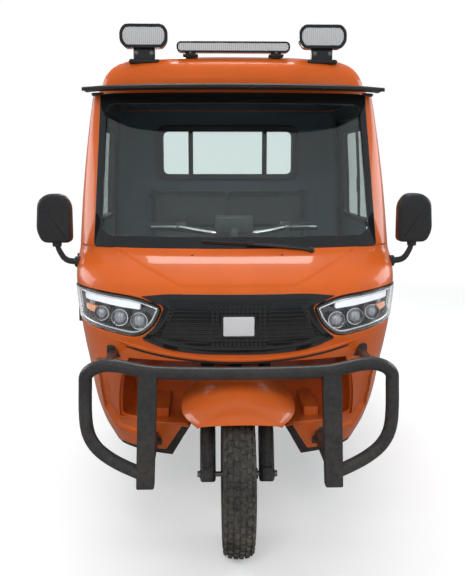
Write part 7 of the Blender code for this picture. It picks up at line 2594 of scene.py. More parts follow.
class TRICYCLE_OT_seat(bpy.types.Operator):
    """Builds the seat pads as stuffed covers with piping, and fits out the seat box."""
    bl_idname = "tricycle.seat"
    bl_label = "Seat"

    def execute(self, context):
        sizes = context.scene.tricycle_sizes
        low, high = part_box("seat_cushion")
        cushion = soft_box(
            low + Vector((0.012, 0.014, 0.004)), high - Vector((0.012, 0.010, 0.020)), 0.026, 0.030, "z", 5
        )
        pad = finish_piece("seat_cushion_pad", cushion, "chassis", "seat", "seat_cushion")
        swollen(
            pad, sizes.seat_swell, (low, high), [("z", high.z - 0.020, high.y - 0.16), ("x", 0.0, None)]
        )
        low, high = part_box("seat_back")
        outline = [(-0.200, 0.912), (-0.096, 0.912), (-0.082, 1.316), (-0.132, 1.316)]
        back = soft_prism(
            corner_rounded(counter_clockwise(outline), 0.024, 5), "x", low.x + 0.014, high.x - 0.014, 0.022,
            5
        )
        pad = finish_piece("seat_back_pad", back, "chassis", "seat", "seat_back")
        swollen(pad, sizes.seat_swell, (low, high), [("y", None, 1.115), ("x", 0.0, None)])
        piping = Shape()
        low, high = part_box("seat_cushion")
        ring = corner_rounded(
            rectangle((low.x + 0.006, low.y + 0.008), (high.x - 0.006, high.y - 0.006)), 0.032, 6
        )
        piping.join(bar([(x, y, low.z + 0.010) for x, y in ring], 0.0035, 8, True))
        finish_piece("seat_piping", piping, "chassis", "rubber")
        box = Shape()
        front = -0.640
        for x in (-0.215, 0.215):
            box.join(
                soft_box(
                    (x - 0.185, front - 0.004, 0.580), (x + 0.185, front + 0.002, 0.765), 0.002, 0.012, "y"
                )
            )
            for turn in (-1, 1):
                box.join(dome((x + turn * 0.165, front - 0.004, 0.750), (0, -1, 0), 0.005, 0.002, 12, 1))
        finish_piece("seat_box_covers", box, "chassis", ["black_plastic", "steel"])
        return {"FINISHED"}


def swollen(pad, limit, box, channels):
    """Swells a pad as stuffed cloth, keeps it in the room its solid has, and presses its sewn channels in."""
    scene = bpy.context.scene
    name = pad.data.name
    remesh = pad.modifiers.new("remesh", "REMESH")
    remesh.mode, remesh.voxel_size = "VOXEL", 0.0065
    settle(pad)
    rest = np.array([tuple(vertex.co) for vertex in pad.data.vertices])
    cloth = pad.modifiers.new("cloth", "CLOTH")
    cloth.settings.use_pressure, cloth.settings.uniform_pressure_force = True, 4.0
    cloth.settings.effector_weights.gravity = 0.0
    cloth.settings.quality = 5
    cloth.settings.tension_stiffness, cloth.settings.bending_stiffness = 15.0, 0.4
    for number in range(1, 21):
        scene.frame_set(number)
    settle(pad)
    scene.frame_set(1)
    now = np.array([tuple(vertex.co) for vertex in pad.data.vertices])
    move = now - rest
    far = np.linalg.norm(move, axis=1)
    now = rest + move * (np.minimum(far, limit) / np.maximum(far, 1e-9))[:, None]
    pad.data.vertices.foreach_set("co", now.ravel())
    smooth = pad.modifiers.new("subdivision", "SUBSURF")
    smooth.levels = smooth.render_levels = 1
    settle(pad)
    mesh = pad.data
    points = np.array([tuple(vertex.co) for vertex in mesh.vertices])
    low, high = (np.array(tuple(corner)) for corner in box)
    middle = points.mean(0)
    for axis, first, second in channels:
        reach = np.abs(points[:, 0] - first) if axis == "x" else np.abs(
            points[:, 1] - second
        ) if axis == "z" else np.abs(points[:, 2] - second)
        groove = np.exp(-((reach / 0.007) ** 2)) * 0.009 + np.exp(-((reach / 0.030) ** 2)) * 0.006
        away = points - middle
        away[:, 0] *= 0.05
        away /= np.maximum(np.linalg.norm(away, axis=1), 1e-9)[:, None]
        points -= away * groove[:, None]
    points = np.clip(points, low + (0.001, 0.001, 0.0005), high - (0.001, 0.001, 0.001))
    mesh.vertices.foreach_set("co", points.ravel())
    mesh.name = name
    mesh.shade_smooth()


def settle(piece):
    """Applies a piece's modifiers to its mesh."""
    graph = bpy.context.evaluated_depsgraph_get()
    made = bpy.data.meshes.new_from_object(piece.evaluated_get(graph))
    piece.modifiers.clear()
    piece.data = made


class TRICYCLE_OT_dash(bpy.types.Operator):
    """Builds the shelf under the windscreen with its vents, switches and cubby."""
    bl_idname = "tricycle.dash"
    bl_label = "Dash"

    def execute(self, context):
        rings = []
        rear = -1.187
        for level, sink in (
            (0.980, 0.012), (0.984, 0.003), (0.990, 0.0), (1.020, 0.0), (1.060, 0.0), (1.084, 0.002),
            (1.093, 0.006), (1.098, 0.014), (1.0995, 0.026)
        ):
            end = float(around_at_y(np.array([rear - sink]), np.array([level]))[0]) - 0.012
            around = np.linspace(-end, end, 72)
            ring = skin(around, np.full(72, level), -0.0315 - sink)
            ring[:, 1] = np.minimum(ring[:, 1], rear - sink)
            back = np.column_stack(
                [
                    np.linspace(ring[-1, 0], ring[0, 0], 26)[1:-1], np.full(24, rear - sink),
                    np.full(24, level)
                ]
            )
            rings.append(np.concatenate([ring, back]))
        count = len(rings[0])
        points = np.concatenate(rings)
        shelf = Shape().add(
            points,
            grid_faces(len(rings), count) + [
                list(range(count))[::-1], list(range(len(points) - count, len(points)))
            ]
        )
        shelf.join(soft_box((-0.360, rear - 0.110, 1.094), (-0.120, rear - 0.020, 1.0998), 0.002, 0.02))
        for x in (-0.430, 0.430):
            shelf.join(
                lathe(
                    [(0.0, 0.030), (0.006, 0.030), (0.0065, 0.024), (0.001, 0.022), (0.001, 0.004)],
                    (x, rear, 1.045), "y", 32, False, 1, True
                )
            )
            for row in range(5):
                shelf.join(
                    soft_box(
                        (x - 0.020, rear + 0.0005, 1.0275 + row * 0.008),
                        (x + 0.020, rear + 0.004, 1.0305 + row * 0.008), 0.001, None, "y", 1, 1
                    )
                )
        for index in range(4):
            shelf.join(
                soft_box(
                    (0.150 + index * 0.032, rear - 0.003, 1.032),
                    (0.175 + index * 0.032, rear + 0.005, 1.058), 0.002, 0.003, "y", 2, 1
                )
            )
        shelf.join(
            soft_box((-0.330, rear - 0.003, 0.995), (-0.110, rear + 0.003, 1.070), 0.002, 0.010, "y", 2, 1)
        )
        finish_piece("dash_shelf", shelf, "chassis", ["trim", "black_plastic"], "dash")
        return {"FINISHED"}


class TRICYCLE_OT_cab_floor(bpy.types.Operator):
    """Lays the floor mat, sets the pedals and the hand brake, and dresses the battery case."""
    bl_idname = "tricycle.cab_floor"
    bl_label = "Cab floor and battery"

    def execute(self, context):
        mat = Shape()
        mat.join(soft_box((-0.460, -1.060, 0.5355), (0.460, -0.645, 0.5400), 0.0015, 0.020))
        for row in range(30):
            mat.join(
                soft_box(
                    (-0.440 + row * 0.030, -1.050, 0.5395), (-0.434 + row * 0.030, -0.655, 0.5420), 0.001,
                    None, "z", 1
                )
            )
        finish_piece("floor_mat", mat, "chassis", "mat")
        pedals = Shape()
        for x, wide in ((0.120, 0.030), (-0.150, 0.026)):
            pedals.join(soft_box((x - wide, -1.052, 0.600), (x + wide, -1.038, 0.672), 0.003, 0.010, "y"))
            for row in range(4):
                pedals.join(
                    soft_box(
                        (x - wide * 0.8, -1.040, 0.609 + row * 0.016),
                        (x + wide * 0.8, -1.034, 0.615 + row * 0.016), 0.0015, None, "y", 1
                    )
                )
            pedals.join(
                bar(
                    filleted([(x, -1.048, 0.640), (x, -1.058, 0.70), (x, -1.085, 0.71)], 0.02), 0.007, 12,
                    finish=1
                )
            )
        pedals.join(
            bar(
                filleted([(-0.480, -0.72, 0.545), (-0.480, -0.72, 0.640), (-0.480, -0.78, 0.700)], 0.03),
                0.009, 14, finish=1
            )
        )
        pedals.join(bar([(-0.480, -0.765, 0.685), (-0.480, -0.840, 0.760)], 0.014, 16))
        finish_piece("pedals", pedals, "chassis", ["rubber", "steel"])
        low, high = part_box("battery_box")
        case = Shape()
        case.join(
            soft_box(
                low + Vector((-0.003, -0.001, 0.190)),
                Vector((high.x + 0.003, high.y + 0.001, low.z + 0.210)), 0.004, 0.008
            )
        )
        for index in range(7):
            y = low.y + 0.060 + index * (high.y - low.y - 0.12) / 6
            for sign in (-1, 1):
                case.join(
                    soft_box(
                        (sign * high.x - 0.002, y - 0.012, low.z + 0.020),
                        (sign * high.x + 0.004, y + 0.012, low.z + 0.175), 0.003, 0.004, "x"
                    )
                )
        for index in range(3):
            y = low.y + 0.16 + index * 0.225
            for sign in (-1, 1):
                case.join(
                    soft_box(
                        (sign * (high.x + 0.001), y - 0.014, low.z + 0.182),
                        (sign * (high.x + 0.008), y + 0.014, low.z + 0.222), 0.002, 0.004, "x", 2, 1
                    )
                )
        finish_piece("battery_fittings", case, "chassis", ["black_plastic", "steel"])
        return {"FINISHED"}


# Chassis, axle and hoist

class TRICYCLE_OT_chassis_details(bpy.types.Operator):
    """Adds bolts, lines and the wiring loom to the frame."""
    bl_idname = "tricycle.chassis_details"
    bl_label = "Chassis details"

    def execute(self, context):
        shape = Shape()
        crosses = (-1.000, -0.739, 0.080, 0.410, 1.260, 1.445)
        for y in crosses:
            for sign in (-1, 1):
                for deep in (-0.013, 0.013):
                    for level in (0.478, 0.502):
                        shape.join(bolt((sign * 0.300, y + deep, level), (sign, 0, 0), 0.006, 1))
        for y in np.arange(-1.20, 1.45, 0.16):
            for sign in (-1, 1):
                shape.join(dome((sign * 0.300, y, 0.512), (sign, 0, 0), 0.004, 0.002, 12, 0))
        finish_piece("frame_bolts", shape, "chassis", ["black_paint", "steel"])
        lines = Shape()
        loom = curved(
            [
                (0.2575, -0.95, 0.512), (0.2575, -0.60, 0.5135), (0.2575, -0.10, 0.5125),
                (0.2575, 0.50, 0.513), (0.2575, 1.10, 0.5125), (0.2575, 1.43, 0.512)
            ],
            8
        )
        lines.join(bar(loom, 0.0065, 10))
        for y in np.arange(-0.9, 1.4, 0.23):
            lines.join(soft_box((0.2500, y - 0.006, 0.504), (0.2660, y + 0.006, 0.5215), 0.002, 0.003, "y"))
        pipe = curved(
            [
                (-0.2575, 0.10, 0.505), (-0.2575, 0.45, 0.505), (-0.2575, 0.72, 0.500),
                (-0.235, 0.80, 0.44), (-0.20, 0.84, 0.335)
            ],
            8
        )
        lines.join(bar(pipe, 0.004, 10, finish=1))
        finish_piece("loom_and_lines", lines, "chassis", ["rubber", "steel"])
        return {"FINISHED"}


class TRICYCLE_OT_axle_details(bpy.types.Operator):
    """Dresses the rear axle: clips, U-bolts, brake plates, motor ribs and cables."""
    bl_idname = "tricycle.axle_details"
    bl_label = "Axle details"

    def execute(self, context):
        shape = Shape()
        y, z = REAR_AXLE_Y, REAR_AXLE_Z
        for sign in (-1, 1):
            x = sign * 0.280
            for end in (-1, 1):
                hoop = [
                    (x + 0.029 * side, y + end * 0.042, z + up)
                    for side, up in ((-1, 0.010), (-1, -0.050), (1, -0.050), (1, 0.010))
                ]
                shape.join(bar(filleted(hoop, 0.012, 5), 0.0055, 12, finish=1))
                for across in (-0.029, 0.029):
                    shape.join(bolt((x + across, y + end * 0.042, z + 0.036), (0, 0, 1), 0.008, 1))
                shape.join(
                    soft_box(
                        (x - 0.0265, y + end * 0.235 - 0.010, 0.300),
                        (x + 0.0265, y + end * 0.235 + 0.010, 0.3435), 0.002, 0.003, "y", 2, 1
                    )
                )
            shape.join(
                soft_box((x - 0.036, y - 0.056, z + 0.024), (x + 0.036, y + 0.056, z + 0.036), 0.003, 0.006)
            )
            shape.join(
                lathe(
                    [
                        (sign * 0.412, 0.034), (sign * 0.412, 0.082), (sign * 0.418, 0.092),
                        (sign * 0.428, 0.094), (sign * 0.428, 0.034)
                    ][::sign],
                    (0, y, z), "x", 48, True, 2
                )
            )
            shape.join(
                lathe(
                    [
                        (sign * 0.405, 0.033), (sign * 0.405, 0.050), (sign * 0.413, 0.050),
                        (sign * 0.413, 0.033)
                    ][::sign],
                    (0, y, z), "x", 32, True
                )
            )
            shape.join(
                lathe(
                    [
                        (sign * 0.5590, 0.016), (sign * 0.5590, 0.0205), (sign * 0.5612, 0.0195),
                        (sign * 0.5612, 0.002)
                    ][::sign],
                    (0, y, z), "x", 6, False, 1
                )
            )
        for turn in np.arange(12) / 12 * math.tau:
            place = (-0.075, y + 0.082 * math.cos(turn), z + 0.082 * math.sin(turn))
            shape.join(bolt(place, (-1, 0, 0), 0.006, 1))
        finish_piece("axle_fittings", shape, "chassis", ["black_paint", "steel", "cast"])
        motor = Shape()
        for index in range(9):
            x = 0.088 + index * 0.015
            motor.join(
                lathe(
                    [(x - 0.0025, 0.080), (x - 0.0025, 0.0885), (x + 0.0025, 0.0885), (x + 0.0025, 0.080)],
                    (0, y - 0.040, z), "x", 48, True
                )
            )
        motor.join(soft_box((0.105, y - 0.080, z + 0.070), (0.185, y - 0.010, z + 0.112), 0.004, 0.008))
        finish_piece("motor_ribs", motor, "chassis", "cast")
        cables = Shape()
        for index in range(3):
            x = 0.125 + index * 0.020
            path = curved(
                [
                    (x, y - 0.078, z + 0.092), (x, y - 0.130, z + 0.110), (x - 0.02, y - 0.260, z + 0.170),
                    (x - 0.03, y - 0.44, 0.470 + index * 0.002)
                ],
                8
            )
            cables.join(bar(path, 0.0055, 10))
        finish_piece("motor_cables", cables, "chassis", "cable_orange")
        return {"FINISHED"}


class TRICYCLE_OT_hoist(bpy.types.Operator):
    """Builds the tipping cylinder: its barrel with gland and ports, and its plated rod."""
    bl_idname = "tricycle.hoist"
    bl_label = "Hoist"

    def execute(self, context):
        low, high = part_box("cylinder_barrel")
        base = Vector((0, high.y - 0.026, low.z + 0.026))
        low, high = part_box("cylinder_rod")
        eye = Vector((0, low.y + 0.026, high.z - 0.026))
        along = (eye - base).normalized()
        barrel = lathe(
            [
                (0.040, 0.012), (0.040, 0.034), (0.044, 0.0375), (0.062, 0.0375), (0.064, 0.0345),
                (0.372, 0.0345), (0.374, 0.0375), (0.399, 0.0375), (0.4035, 0.034), (0.4045, 0.0188),
                (0.360, 0.0188), (0.355, 0.012)
            ],
            (0, 0, 0), "z", 48, True
        )
        barrel.join(lathe([(0.020, 0.014), (0.042, 0.016)], (0, 0, 0), "z", 24, False, 0, True))
        barrel = turned_to(barrel, base, along)
        bush = [
            (-0.0178, 0.0126), (-0.0178, 0.0245), (-0.016, 0.026), (0.016, 0.026), (0.0178, 0.0245),
            (0.0178, 0.0126)
        ]
        barrel.join(lathe(bush, base, "x", 36, True))
        finish_piece(
            "hoist_barrel_tube", barrel, "hoist_barrel", "black_paint", "cylinder_barrel"
        )
        reach = (eye - base).length
        rod = turned_to(
            lathe(
                [
                    (0.081, 0.012), (0.081, 0.0165), (0.083, 0.0178), (reach - 0.020, 0.0178),
                    (reach - 0.012, 0.014)
                ],
                (0, 0, 0), "z", 40, False, 0, True
            ),
            base, along
        )
        rod.join(lathe(bush, eye, "x", 36, True, 1))
        finish_piece("hoist_rod_bar", rod, "hoist_rod", ["chrome", "steel"], "cylinder_rod")
        return {"FINISHED"}


class TRICYCLE_OT_rear_mudguards(bpy.types.Operator):
    """Builds the rear mudguards with rolled edges and stays."""
    bl_idname = "tricycle.rear_mudguards"
    bl_label = "Rear mudguards"

    def execute(self, context):
        rings = []
        section = [
            (0.418, 0.300), (0.418, 0.308), (0.422, 0.312), (0.430, 0.313), (0.480, 0.3125),
            (0.484, 0.3115), (0.516, 0.3115), (0.520, 0.3125), (0.570, 0.313), (0.578, 0.312),
            (0.582, 0.308), (0.582, 0.300), (0.579, 0.300), (0.578, 0.3065), (0.500, 0.3065),
            (0.422, 0.3065), (0.421, 0.300)
        ]
        for angle in np.linspace(8, 162, 56):
            turn = math.radians(angle)
            rings.append(
                [
                    (x, REAR_AXLE_Y + reach * math.cos(turn), REAR_AXLE_Z + reach * math.sin(turn))
                    for x, reach in section
                ]
            )
        count = len(section)
        points = np.array(rings).reshape(-1, 3)
        shape = Shape().add(
            points,
            grid_faces(len(rings), count) + [
                list(range(count))[::-1], list(range(len(points) - count, len(points)))
            ]
        )
        low = 0.306
        for end in (-1, 1):
            y = REAR_AXLE_Y + end * low * 0.79
            shape.join(
                soft_box((0.3003, y - 0.012, 0.483), (0.425, y + 0.012, 0.497), 0.002, 0.003, "x", 2, 1)
            )
            shape.join(bolt((0.330, y, 0.497), (0, 0, 1), 0.006, 2))
            shape.join(
                soft_box((0.3003, y - 0.022, 0.468), (0.3063, y + 0.022, 0.512), 0.002, 0.004, "x", 2, 1)
            )
            shape.join(bolt((0.3063, y + end * 0.012, 0.476), (1, 0, 0), 0.005, 2))
        finish_pair(
            "rear_guard_{}", shape, "chassis", ["black_plastic", "black_paint", "steel"],
            "mudguard_rear_{}"
        )
        return {"FINISHED"}


class TRICYCLE_OT_rear_lamps(bpy.types.Operator):
    """Builds the rear cross bar with its lamps and bare plate."""
    bl_idname = "tricycle.rear_lamps"
    bl_label = "Rear lamps"

    def execute(self, context):
        low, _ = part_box("rear_lamp_bar")
        front, middle = low.y, 0.4315
        beam = soft_box(
            (-0.500, front, middle - 0.0275), (0.500, front + 0.030, middle + 0.0275), 0.003, 0.006, "x"
        )
        for sign in (-1, 1):
            beam.join(
                soft_box(
                    (sign * 0.260, front, middle), (sign * 0.300, front + 0.015, 0.4895), 0.002, 0.003, "y"
                )
            )
            for level in (0.470, 0.482):
                beam.join(bolt((sign * 0.280, front + 0.015, level), (0, 1, 0), 0.005, 1))
            beam.join(
                soft_box(
                    (sign * 0.324, front + 0.012, middle - 0.040),
                    (sign * 0.496, front + 0.048, middle + 0.040), 0.004, 0.010, "y", 3, 2
                )
            )
        finish_piece(
            "rear_beam", beam, "chassis", ["black_paint", "steel", "black_plastic"],
            "rear_lamp_bar"
        )
        for name, low_x, high_x, paint in (
            ("turn", 0.438, 0.490, "amber_lens"), ("tail", 0.372, 0.436, "red_lens"),
            ("reverse", 0.330, 0.370, "clear_lens")
        ):
            lens = soft_box(
                (low_x, front + 0.040, middle - 0.034), (high_x, front + 0.0585, middle + 0.034), 0.005,
                0.007, "y", 4
            )
            finish_pair("rear_" + name + "_lens_{}", lens, "chassis", paint)
        board = soft_box(
            (-0.118, front + 0.028, middle - 0.036), (0.118, front + 0.034, middle + 0.036), 0.002, 0.008,
            "y"
        )
        board.join(
            soft_box(
                (-0.108, front + 0.033, middle - 0.029), (0.108, front + 0.0365, middle + 0.029), 0.001,
                0.005, "y", 2, 1
            )
        )
        finish_piece("rear_bare_plate", board, "chassis", ["black_plastic", "plate_white"])
        return {"FINISHED"}


# Bed

def ribbed_wall(outer, inner, low, high, edge=0.004):
    """The section of a bed wall: flat inside, three long pressed ribs outside."""
    sign = 1 if outer > inner else -1
    pitch = (high - low) / 7
    line = [(inner, low)]
    for index in range(7):
        level = outer - (sign * 0.008 if index % 2 else 0)
        line.append((level, low + pitch * index + (0.004 if index else 0)))
        line.append((level, low + pitch * (index + 1) - (0.004 if index < 6 else 0)))
    line.append((inner, high))
    return corner_rounded(counter_clockwise(line), edge, 4)


class TRICYCLE_OT_bed_sides(bpy.types.Operator):
    """Builds the bed's sides and headboard with their posts, rails, hooks and rivets."""
    bl_idname = "tricycle.bed_sides"
    bl_label = "Bed sides"

    def execute(self, context):
        shape = soft_prism(
            ribbed_wall(BED_HALF, BED_INNER, BED_SKIRT, BED_HIGH - 0.002), "y", BED_FRONT, BED_SIDE_REAR,
            0.0015, 1
        )
        length = BED_SIDE_REAR - BED_FRONT
        hooks = Shape()
        for index in range(4):
            middle = BED_FRONT + 0.022 + (length - 0.044) * index / 3
            shape.join(
                soft_box(
                    (BED_INNER + 0.015, middle - 0.022, BED_SKIRT),
                    (BED_HALF + 0.0015, middle + 0.022, BED_HIGH - 0.020), 0.003, 0.005, "z"
                )
            )
            for level in (0.665, 0.780, 0.890, 0.985):
                shape.join(dome((BED_HALF + 0.0015, middle, level), (1, 0, 0), 0.007, 0.003, 16, 1))
        for index in range(3):
            middle = BED_FRONT + 0.022 + (length - 0.044) * (index + 0.5) / 3
            path = filleted(
                [
                    (0.5905, middle - 0.030, 0.660), (0.5965, middle - 0.030, 0.647),
                    (0.5965, middle + 0.030, 0.647), (0.5905, middle + 0.030, 0.660)
                ],
                0.010, 5
            )
            hooks.join(bar(path, 0.004, 10))
            hooks.join(
                soft_box(
                    (0.588, middle - 0.040, 0.652), (0.5925, middle + 0.040, 0.668), 0.0015, 0.004, "x"
                )
            )
        shape.join(
            soft_box(
                (BED_INNER - 0.008, BED_FRONT, BED_HIGH - 0.035),
                (BED_HALF + 0.008, BED_SIDE_REAR, BED_HIGH), 0.006, 0.008, "y", 3
            )
        )
        finish_pair("bed_wall_{}", shape, "bed", ["bed_paint", "black_paint"], "bed_side_{}")
        finish_pair("rope_hooks_{}", hooks, "bed", "black_paint")
        marks = Shape()
        for y in (BED_FRONT + 0.11, BED_SIDE_REAR - 0.11):
            marks.join(
                soft_box(
                    (BED_HALF - 0.002, y - 0.035, 0.700), (BED_HALF + 0.003, y + 0.035, 0.722), 0.0015,
                    0.004, "x"
                )
            )
        finish_pair("side_reflectors_{}", marks, "bed", "amber_lens")
        line = ribbed_wall(BED_FRONT, BED_FRONT + 0.030, BED_SKIRT, 1.098)
        half = BED_INNER - 0.0083
        head = soft_prism(line, "x", -half, half, 0.0015, 1)
        head.join(
            soft_box((-half, BED_FRONT, 1.068), (half, BED_FRONT + 0.030, 1.100), 0.004, 0.006, "x", 3)
        )
        for x in (-0.36, 0.0, 0.36):
            head.join(
                soft_box(
                    (x - 0.020, BED_FRONT, BED_SKIRT), (x + 0.020, BED_FRONT + 0.012, 1.075), 0.003, 0.004,
                    "z"
                )
            )
        finish_piece("bed_head_wall", head, "bed", "bed_paint", "bed_headboard")
        return {"FINISHED"}


class TRICYCLE_OT_bed_floor(bpy.types.Operator):
    """Lays the chequered sheet on the bed floor and dresses the bearers and lugs below it."""
    bl_idname = "tricycle.bed_floor"
    bl_label = "Bed floor"

    def execute(self, context):
        points, faces = [], []
        for row, y in enumerate(np.arange(BED_FRONT + 0.055, BED_SIDE_REAR - 0.020, 0.030)):
            for x in np.arange(-0.535 + (row % 2) * 0.030, 0.536, 0.060):
                turn = math.radians(45 if row % 2 else -45)
                along = np.array((math.cos(turn), math.sin(turn))) * 0.0165
                across = np.array((-math.sin(turn), math.cos(turn))) * 0.0048
                start = len(points)
                middle = np.array((x, y))
                for part, level in ((1.0, FLOOR_Z - 0.0002), (0.55, FLOOR_Z + 0.0022)):
                    for corner in (
                        middle - along * part, middle - across * part, middle + along * part,
                        middle + across * part
                    ):
                        points.append((*corner, level))
                faces += [
                    [
                        start + corner, start + (corner + 1) % 4, start + 4 + (corner + 1) % 4,
                        start + 4 + corner
                    ]
                    for corner in range(4)
                ]
                faces += [
                    [start + 4, start + 5, start + 6, start + 7], [start + 3, start + 2, start + 1, start]
                ]
        finish_piece("chequer_sheet", Shape().add(points, faces), "bed", "bed_floor_paint")
        shape = Shape()
        for sign in (-1, 1):
            for y in (0.125, 0.425, 0.725, 1.19, 1.45):
                shape.join(bolt((sign * 0.220, y, 0.600), (sign, 0, 0), 0.006))
            shape.join(bolt((sign * 0.2205, 1.420, 0.570), (sign, 0, 0), 0.011))
        finish_piece("bearer_bolts", shape, "bed", "steel")
        return {"FINISHED"}


class TRICYCLE_OT_tailgate(bpy.types.Operator):
    """Builds the tailgate with its ribs, end posts, latches and knuckles."""
    bl_idname = "tricycle.tailgate"
    bl_label = "Tailgate"

    def execute(self, context):
        low = 0.651
        pin = (0, 1.716, 0.632)
        gate = soft_prism(
            ribbed_wall(BED_REAR, BED_REAR - 0.030, low, BED_HIGH - 0.002), "x", -BED_HALF, BED_HALF,
            0.0015, 1
        )
        for x in (-0.572, -0.195, 0.195, 0.572):
            gate.join(
                soft_box(
                    (x - 0.018, BED_REAR - 0.020, low), (x + 0.018, BED_REAR - 0.0002, BED_HIGH - 0.012),
                    0.003, 0.004, "z"
                )
            )
        gate.join(
            soft_box(
                (-BED_HALF, BED_REAR - 0.030, BED_HIGH - 0.030), (BED_HALF, BED_REAR, BED_HIGH), 0.005,
                0.006, "x", 3
            )
        )
        for x in (-0.450, 0, 0.450):
            gate.join(
                lathe(
                    [(x + 0.0003, 0.004), (x + 0.0003, 0.0105), (x + 0.0563, 0.0105), (x + 0.0563, 0.004)],
                    pin, "x", 24, False, 0, True
                )
            )
            gate.join(
                soft_box((x + 0.0004, 1.7056, 0.632), (x + 0.0562, 1.7264, 0.656), 0.001, 0.002, "x", 1)
            )
            gate.join(lathe([(x - 0.016, 0.0059), (x + 0.010, 0.0059)], pin, "x", 20, False, 1, True))
        finish_piece("tailgate_panel", gate, "tailgate", ["bed_paint", "steel"], "tailgate")
        latch = Shape()
        latch.join(
            soft_box(
                (0.545, BED_REAR - 0.012, 0.958), (0.583, BED_REAR - 0.0002, 0.992), 0.0015, 0.004, "y"
            )
        )
        latch.join(
            bar(
                [(0.574, BED_REAR - 0.0055, 0.968), (0.574, BED_REAR - 0.0055, 1.012)], 0.0050, 14, finish=1
            )
        )
        latch.join(
            soft_box((0.548, BED_REAR - 0.010, 0.940), (0.560, BED_REAR - 0.001, 0.985), 0.0015, 0.003, "y")
        )
        finish_pair("gate_latch_{}", latch, "tailgate", ["black_paint", "steel"])
        marks = Shape()
        for sign in (-1, 1):
            marks.join(
                soft_box(
                    (sign * 0.480, BED_REAR - 0.010, 0.678), (sign * 0.540, BED_REAR - 0.0002, 0.700),
                    0.0015, 0.003, "y"
                )
            )
        finish_piece("gate_reflectors", marks, "tailgate", "red_lens")
        return {"FINISHED"}


# Stage, panel and registration

LIGHTS = (
    ("key", (-1.0, -7.0, 3.8), (0, -1.2, 0.9), 3.0, 2.0, 190, False),
    ("fill", (3.6, -5.4, 2.2), (0, -1.0, 0.9), 2.6, 2.6, 40, False),
    ("streak", (0.0, -0.2, 4.3), (0, -1.3, 1.0), 2.4, 0.6, 40, True),
    ("overhead", (0.0, 0.2, 5.2), (0, 0.1, 0), 4.5, 5.0, 90, False),
    ("left", (4.8, 0.4, 2.8), (0, 0.2, 0.8), 3.2, 2.0, 70, True),
    ("right", (-4.8, 0.4, 2.8), (0, 0.2, 0.8), 3.2, 2.0, 70, True),
    ("rear", (-1.8, 6.2, 3.4), (0, 1.2, 0.7), 3.0, 2.0, 120, True),
)
FLOOR_HALF, FLOOR_NEAR, FLOOR_FAR = 40.0, -30.0, 60.0
DOME_COLOUR, DOME_STRENGTH = (0.90, 0.95, 1.0), 0.36
CAMERA_PLACE = (-0.105, -4.24, 1.415)
CAMERA_TURN = (math.radians(81.4), 0, math.radians(-1.78))


class TRICYCLE_OT_stage(bpy.types.Operator):
    """Sets the pale floor and backdrop, the soft studio lights and the camera."""
    bl_idname = "tricycle.stage"
    bl_label = "Stage"

    def execute(self, context):
        sizes = context.scene.tricycle_sizes
        scene = context.scene
        mesh = bpy.data.meshes.new("studio_floor")
        corners = ((-1, FLOOR_NEAR), (1, FLOOR_NEAR), (1, FLOOR_FAR), (-1, FLOOR_FAR))
        mesh.from_pydata([(side * FLOOR_HALF, y, 0) for side, y in corners], [], [(0, 1, 2, 3)])
        mesh.materials.append(material("floor"))
        floor = bpy.data.objects.new("studio_floor", mesh)
        scene.collection.objects.link(floor)
        for name, place, aim, across, along, power, mirrored_in_paint in LIGHTS:
            data = bpy.data.lights.new(name + "_light", "AREA")
            data.shape = "RECTANGLE"
            data.size, data.size_y, data.energy = across, along, power * sizes.light
            lamp = bpy.data.objects.new(name + "_light", data)
            lamp.location = place
            lamp.rotation_euler = (Vector(aim) - Vector(place)).to_track_quat("-Z", "Y").to_euler()
            lamp.visible_glossy = mirrored_in_paint
            scene.collection.objects.link(lamp)
        world = bpy.data.worlds.new("studio")
        world.use_nodes = True
        tree = world.node_tree
        backdrop = tree.nodes["Background"]
        backdrop.inputs["Color"].default_value = (1, 1, 1, 1)
        dome = wired(tree, "ShaderNodeBackground", {"Color": DOME_COLOUR, "Strength": DOME_STRENGTH})
        mixed = wired(
            tree, "ShaderNodeMixShader",
            {0: seen_directly(tree), 1: dome.outputs[0], 2: backdrop.outputs[0]}
        )
        tree.links.new(mixed.outputs[0], tree.nodes["World Output"].inputs["Surface"])
        scene.world = world
        camera = bpy.data.cameras.new("camera")
        camera.lens, camera.sensor_width, camera.sensor_fit = 50.0, 36.0, "AUTO"
        camera.clip_end = 60
        viewer = bpy.data.objects.new("camera", camera)
        viewer.location = CAMERA_PLACE
        viewer.rotation_euler = CAMERA_TURN
        scene.collection.objects.link(viewer)
        scene.camera = viewer
        scene.view_settings.view_transform = "Standard"
        return {"FINISHED"}


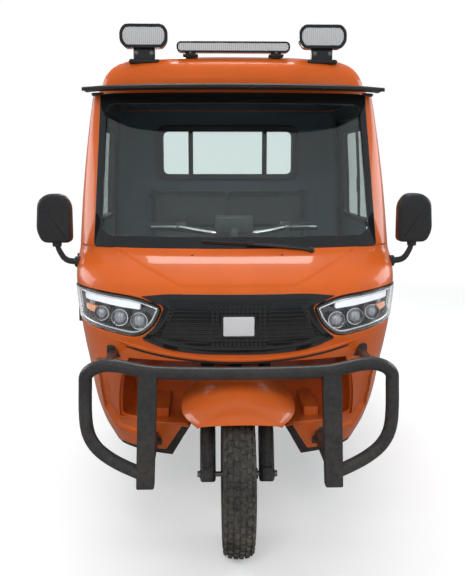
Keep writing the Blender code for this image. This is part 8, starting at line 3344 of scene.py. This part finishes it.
MAKERS = (
    TRICYCLE_OT_nose, TRICYCLE_OT_grille, TRICYCLE_OT_headlights, TRICYCLE_OT_cab_sides, TRICYCLE_OT_doors,
    TRICYCLE_OT_glazing, TRICYCLE_OT_roof, TRICYCLE_OT_visor, TRICYCLE_OT_roof_lamps, TRICYCLE_OT_bull_bar,
    TRICYCLE_OT_wiper, TRICYCLE_OT_mirrors, TRICYCLE_OT_fork, TRICYCLE_OT_handlebar,
    TRICYCLE_OT_front_mudguard, TRICYCLE_OT_tyres, TRICYCLE_OT_rims, TRICYCLE_OT_seat, TRICYCLE_OT_dash,
    TRICYCLE_OT_cab_floor, TRICYCLE_OT_chassis_details, TRICYCLE_OT_axle_details, TRICYCLE_OT_hoist,
    TRICYCLE_OT_rear_mudguards, TRICYCLE_OT_rear_lamps, TRICYCLE_OT_bed_sides, TRICYCLE_OT_bed_floor,
    TRICYCLE_OT_tailgate, TRICYCLE_OT_stage,
)


class TRICYCLE_PT_tools(bpy.types.Panel):
    """Lists the tricycle's operators, sizes and colours."""
    bl_idname = "TRICYCLE_PT_tools"
    bl_label = "Tipper tricycle"
    bl_space_type = "VIEW_3D"
    bl_region_type = "UI"
    bl_category = "Tricycle"

    def draw(self, context):
        for maker in MAKERS:
            self.layout.operator(maker.bl_idname)
        for group in (context.scene.tricycle_sizes, context.scene.tricycle_colours):
            box = self.layout.box()
            for name in group.bl_rna.properties.keys():
                if name not in ("rna_type", "name"):
                    box.prop(group, name)


CLASSES = (TricycleSizes, TricycleColours, *MAKERS, TRICYCLE_PT_tools)


def register():
    for item in CLASSES:
        bpy.utils.register_class(item)
    bpy.types.Scene.tricycle_sizes = bpy.props.PointerProperty(type=TricycleSizes)
    bpy.types.Scene.tricycle_colours = bpy.props.PointerProperty(type=TricycleColours)


def unregister():
    del bpy.types.Scene.tricycle_colours
    del bpy.types.Scene.tricycle_sizes
    for item in reversed(CLASSES):
        bpy.utils.unregister_class(item)


def main():
    register()
    for maker in MAKERS:
        getattr(bpy.ops.tricycle, maker.bl_idname.split(".")[1])()


if __name__ == "__main__":
    main()
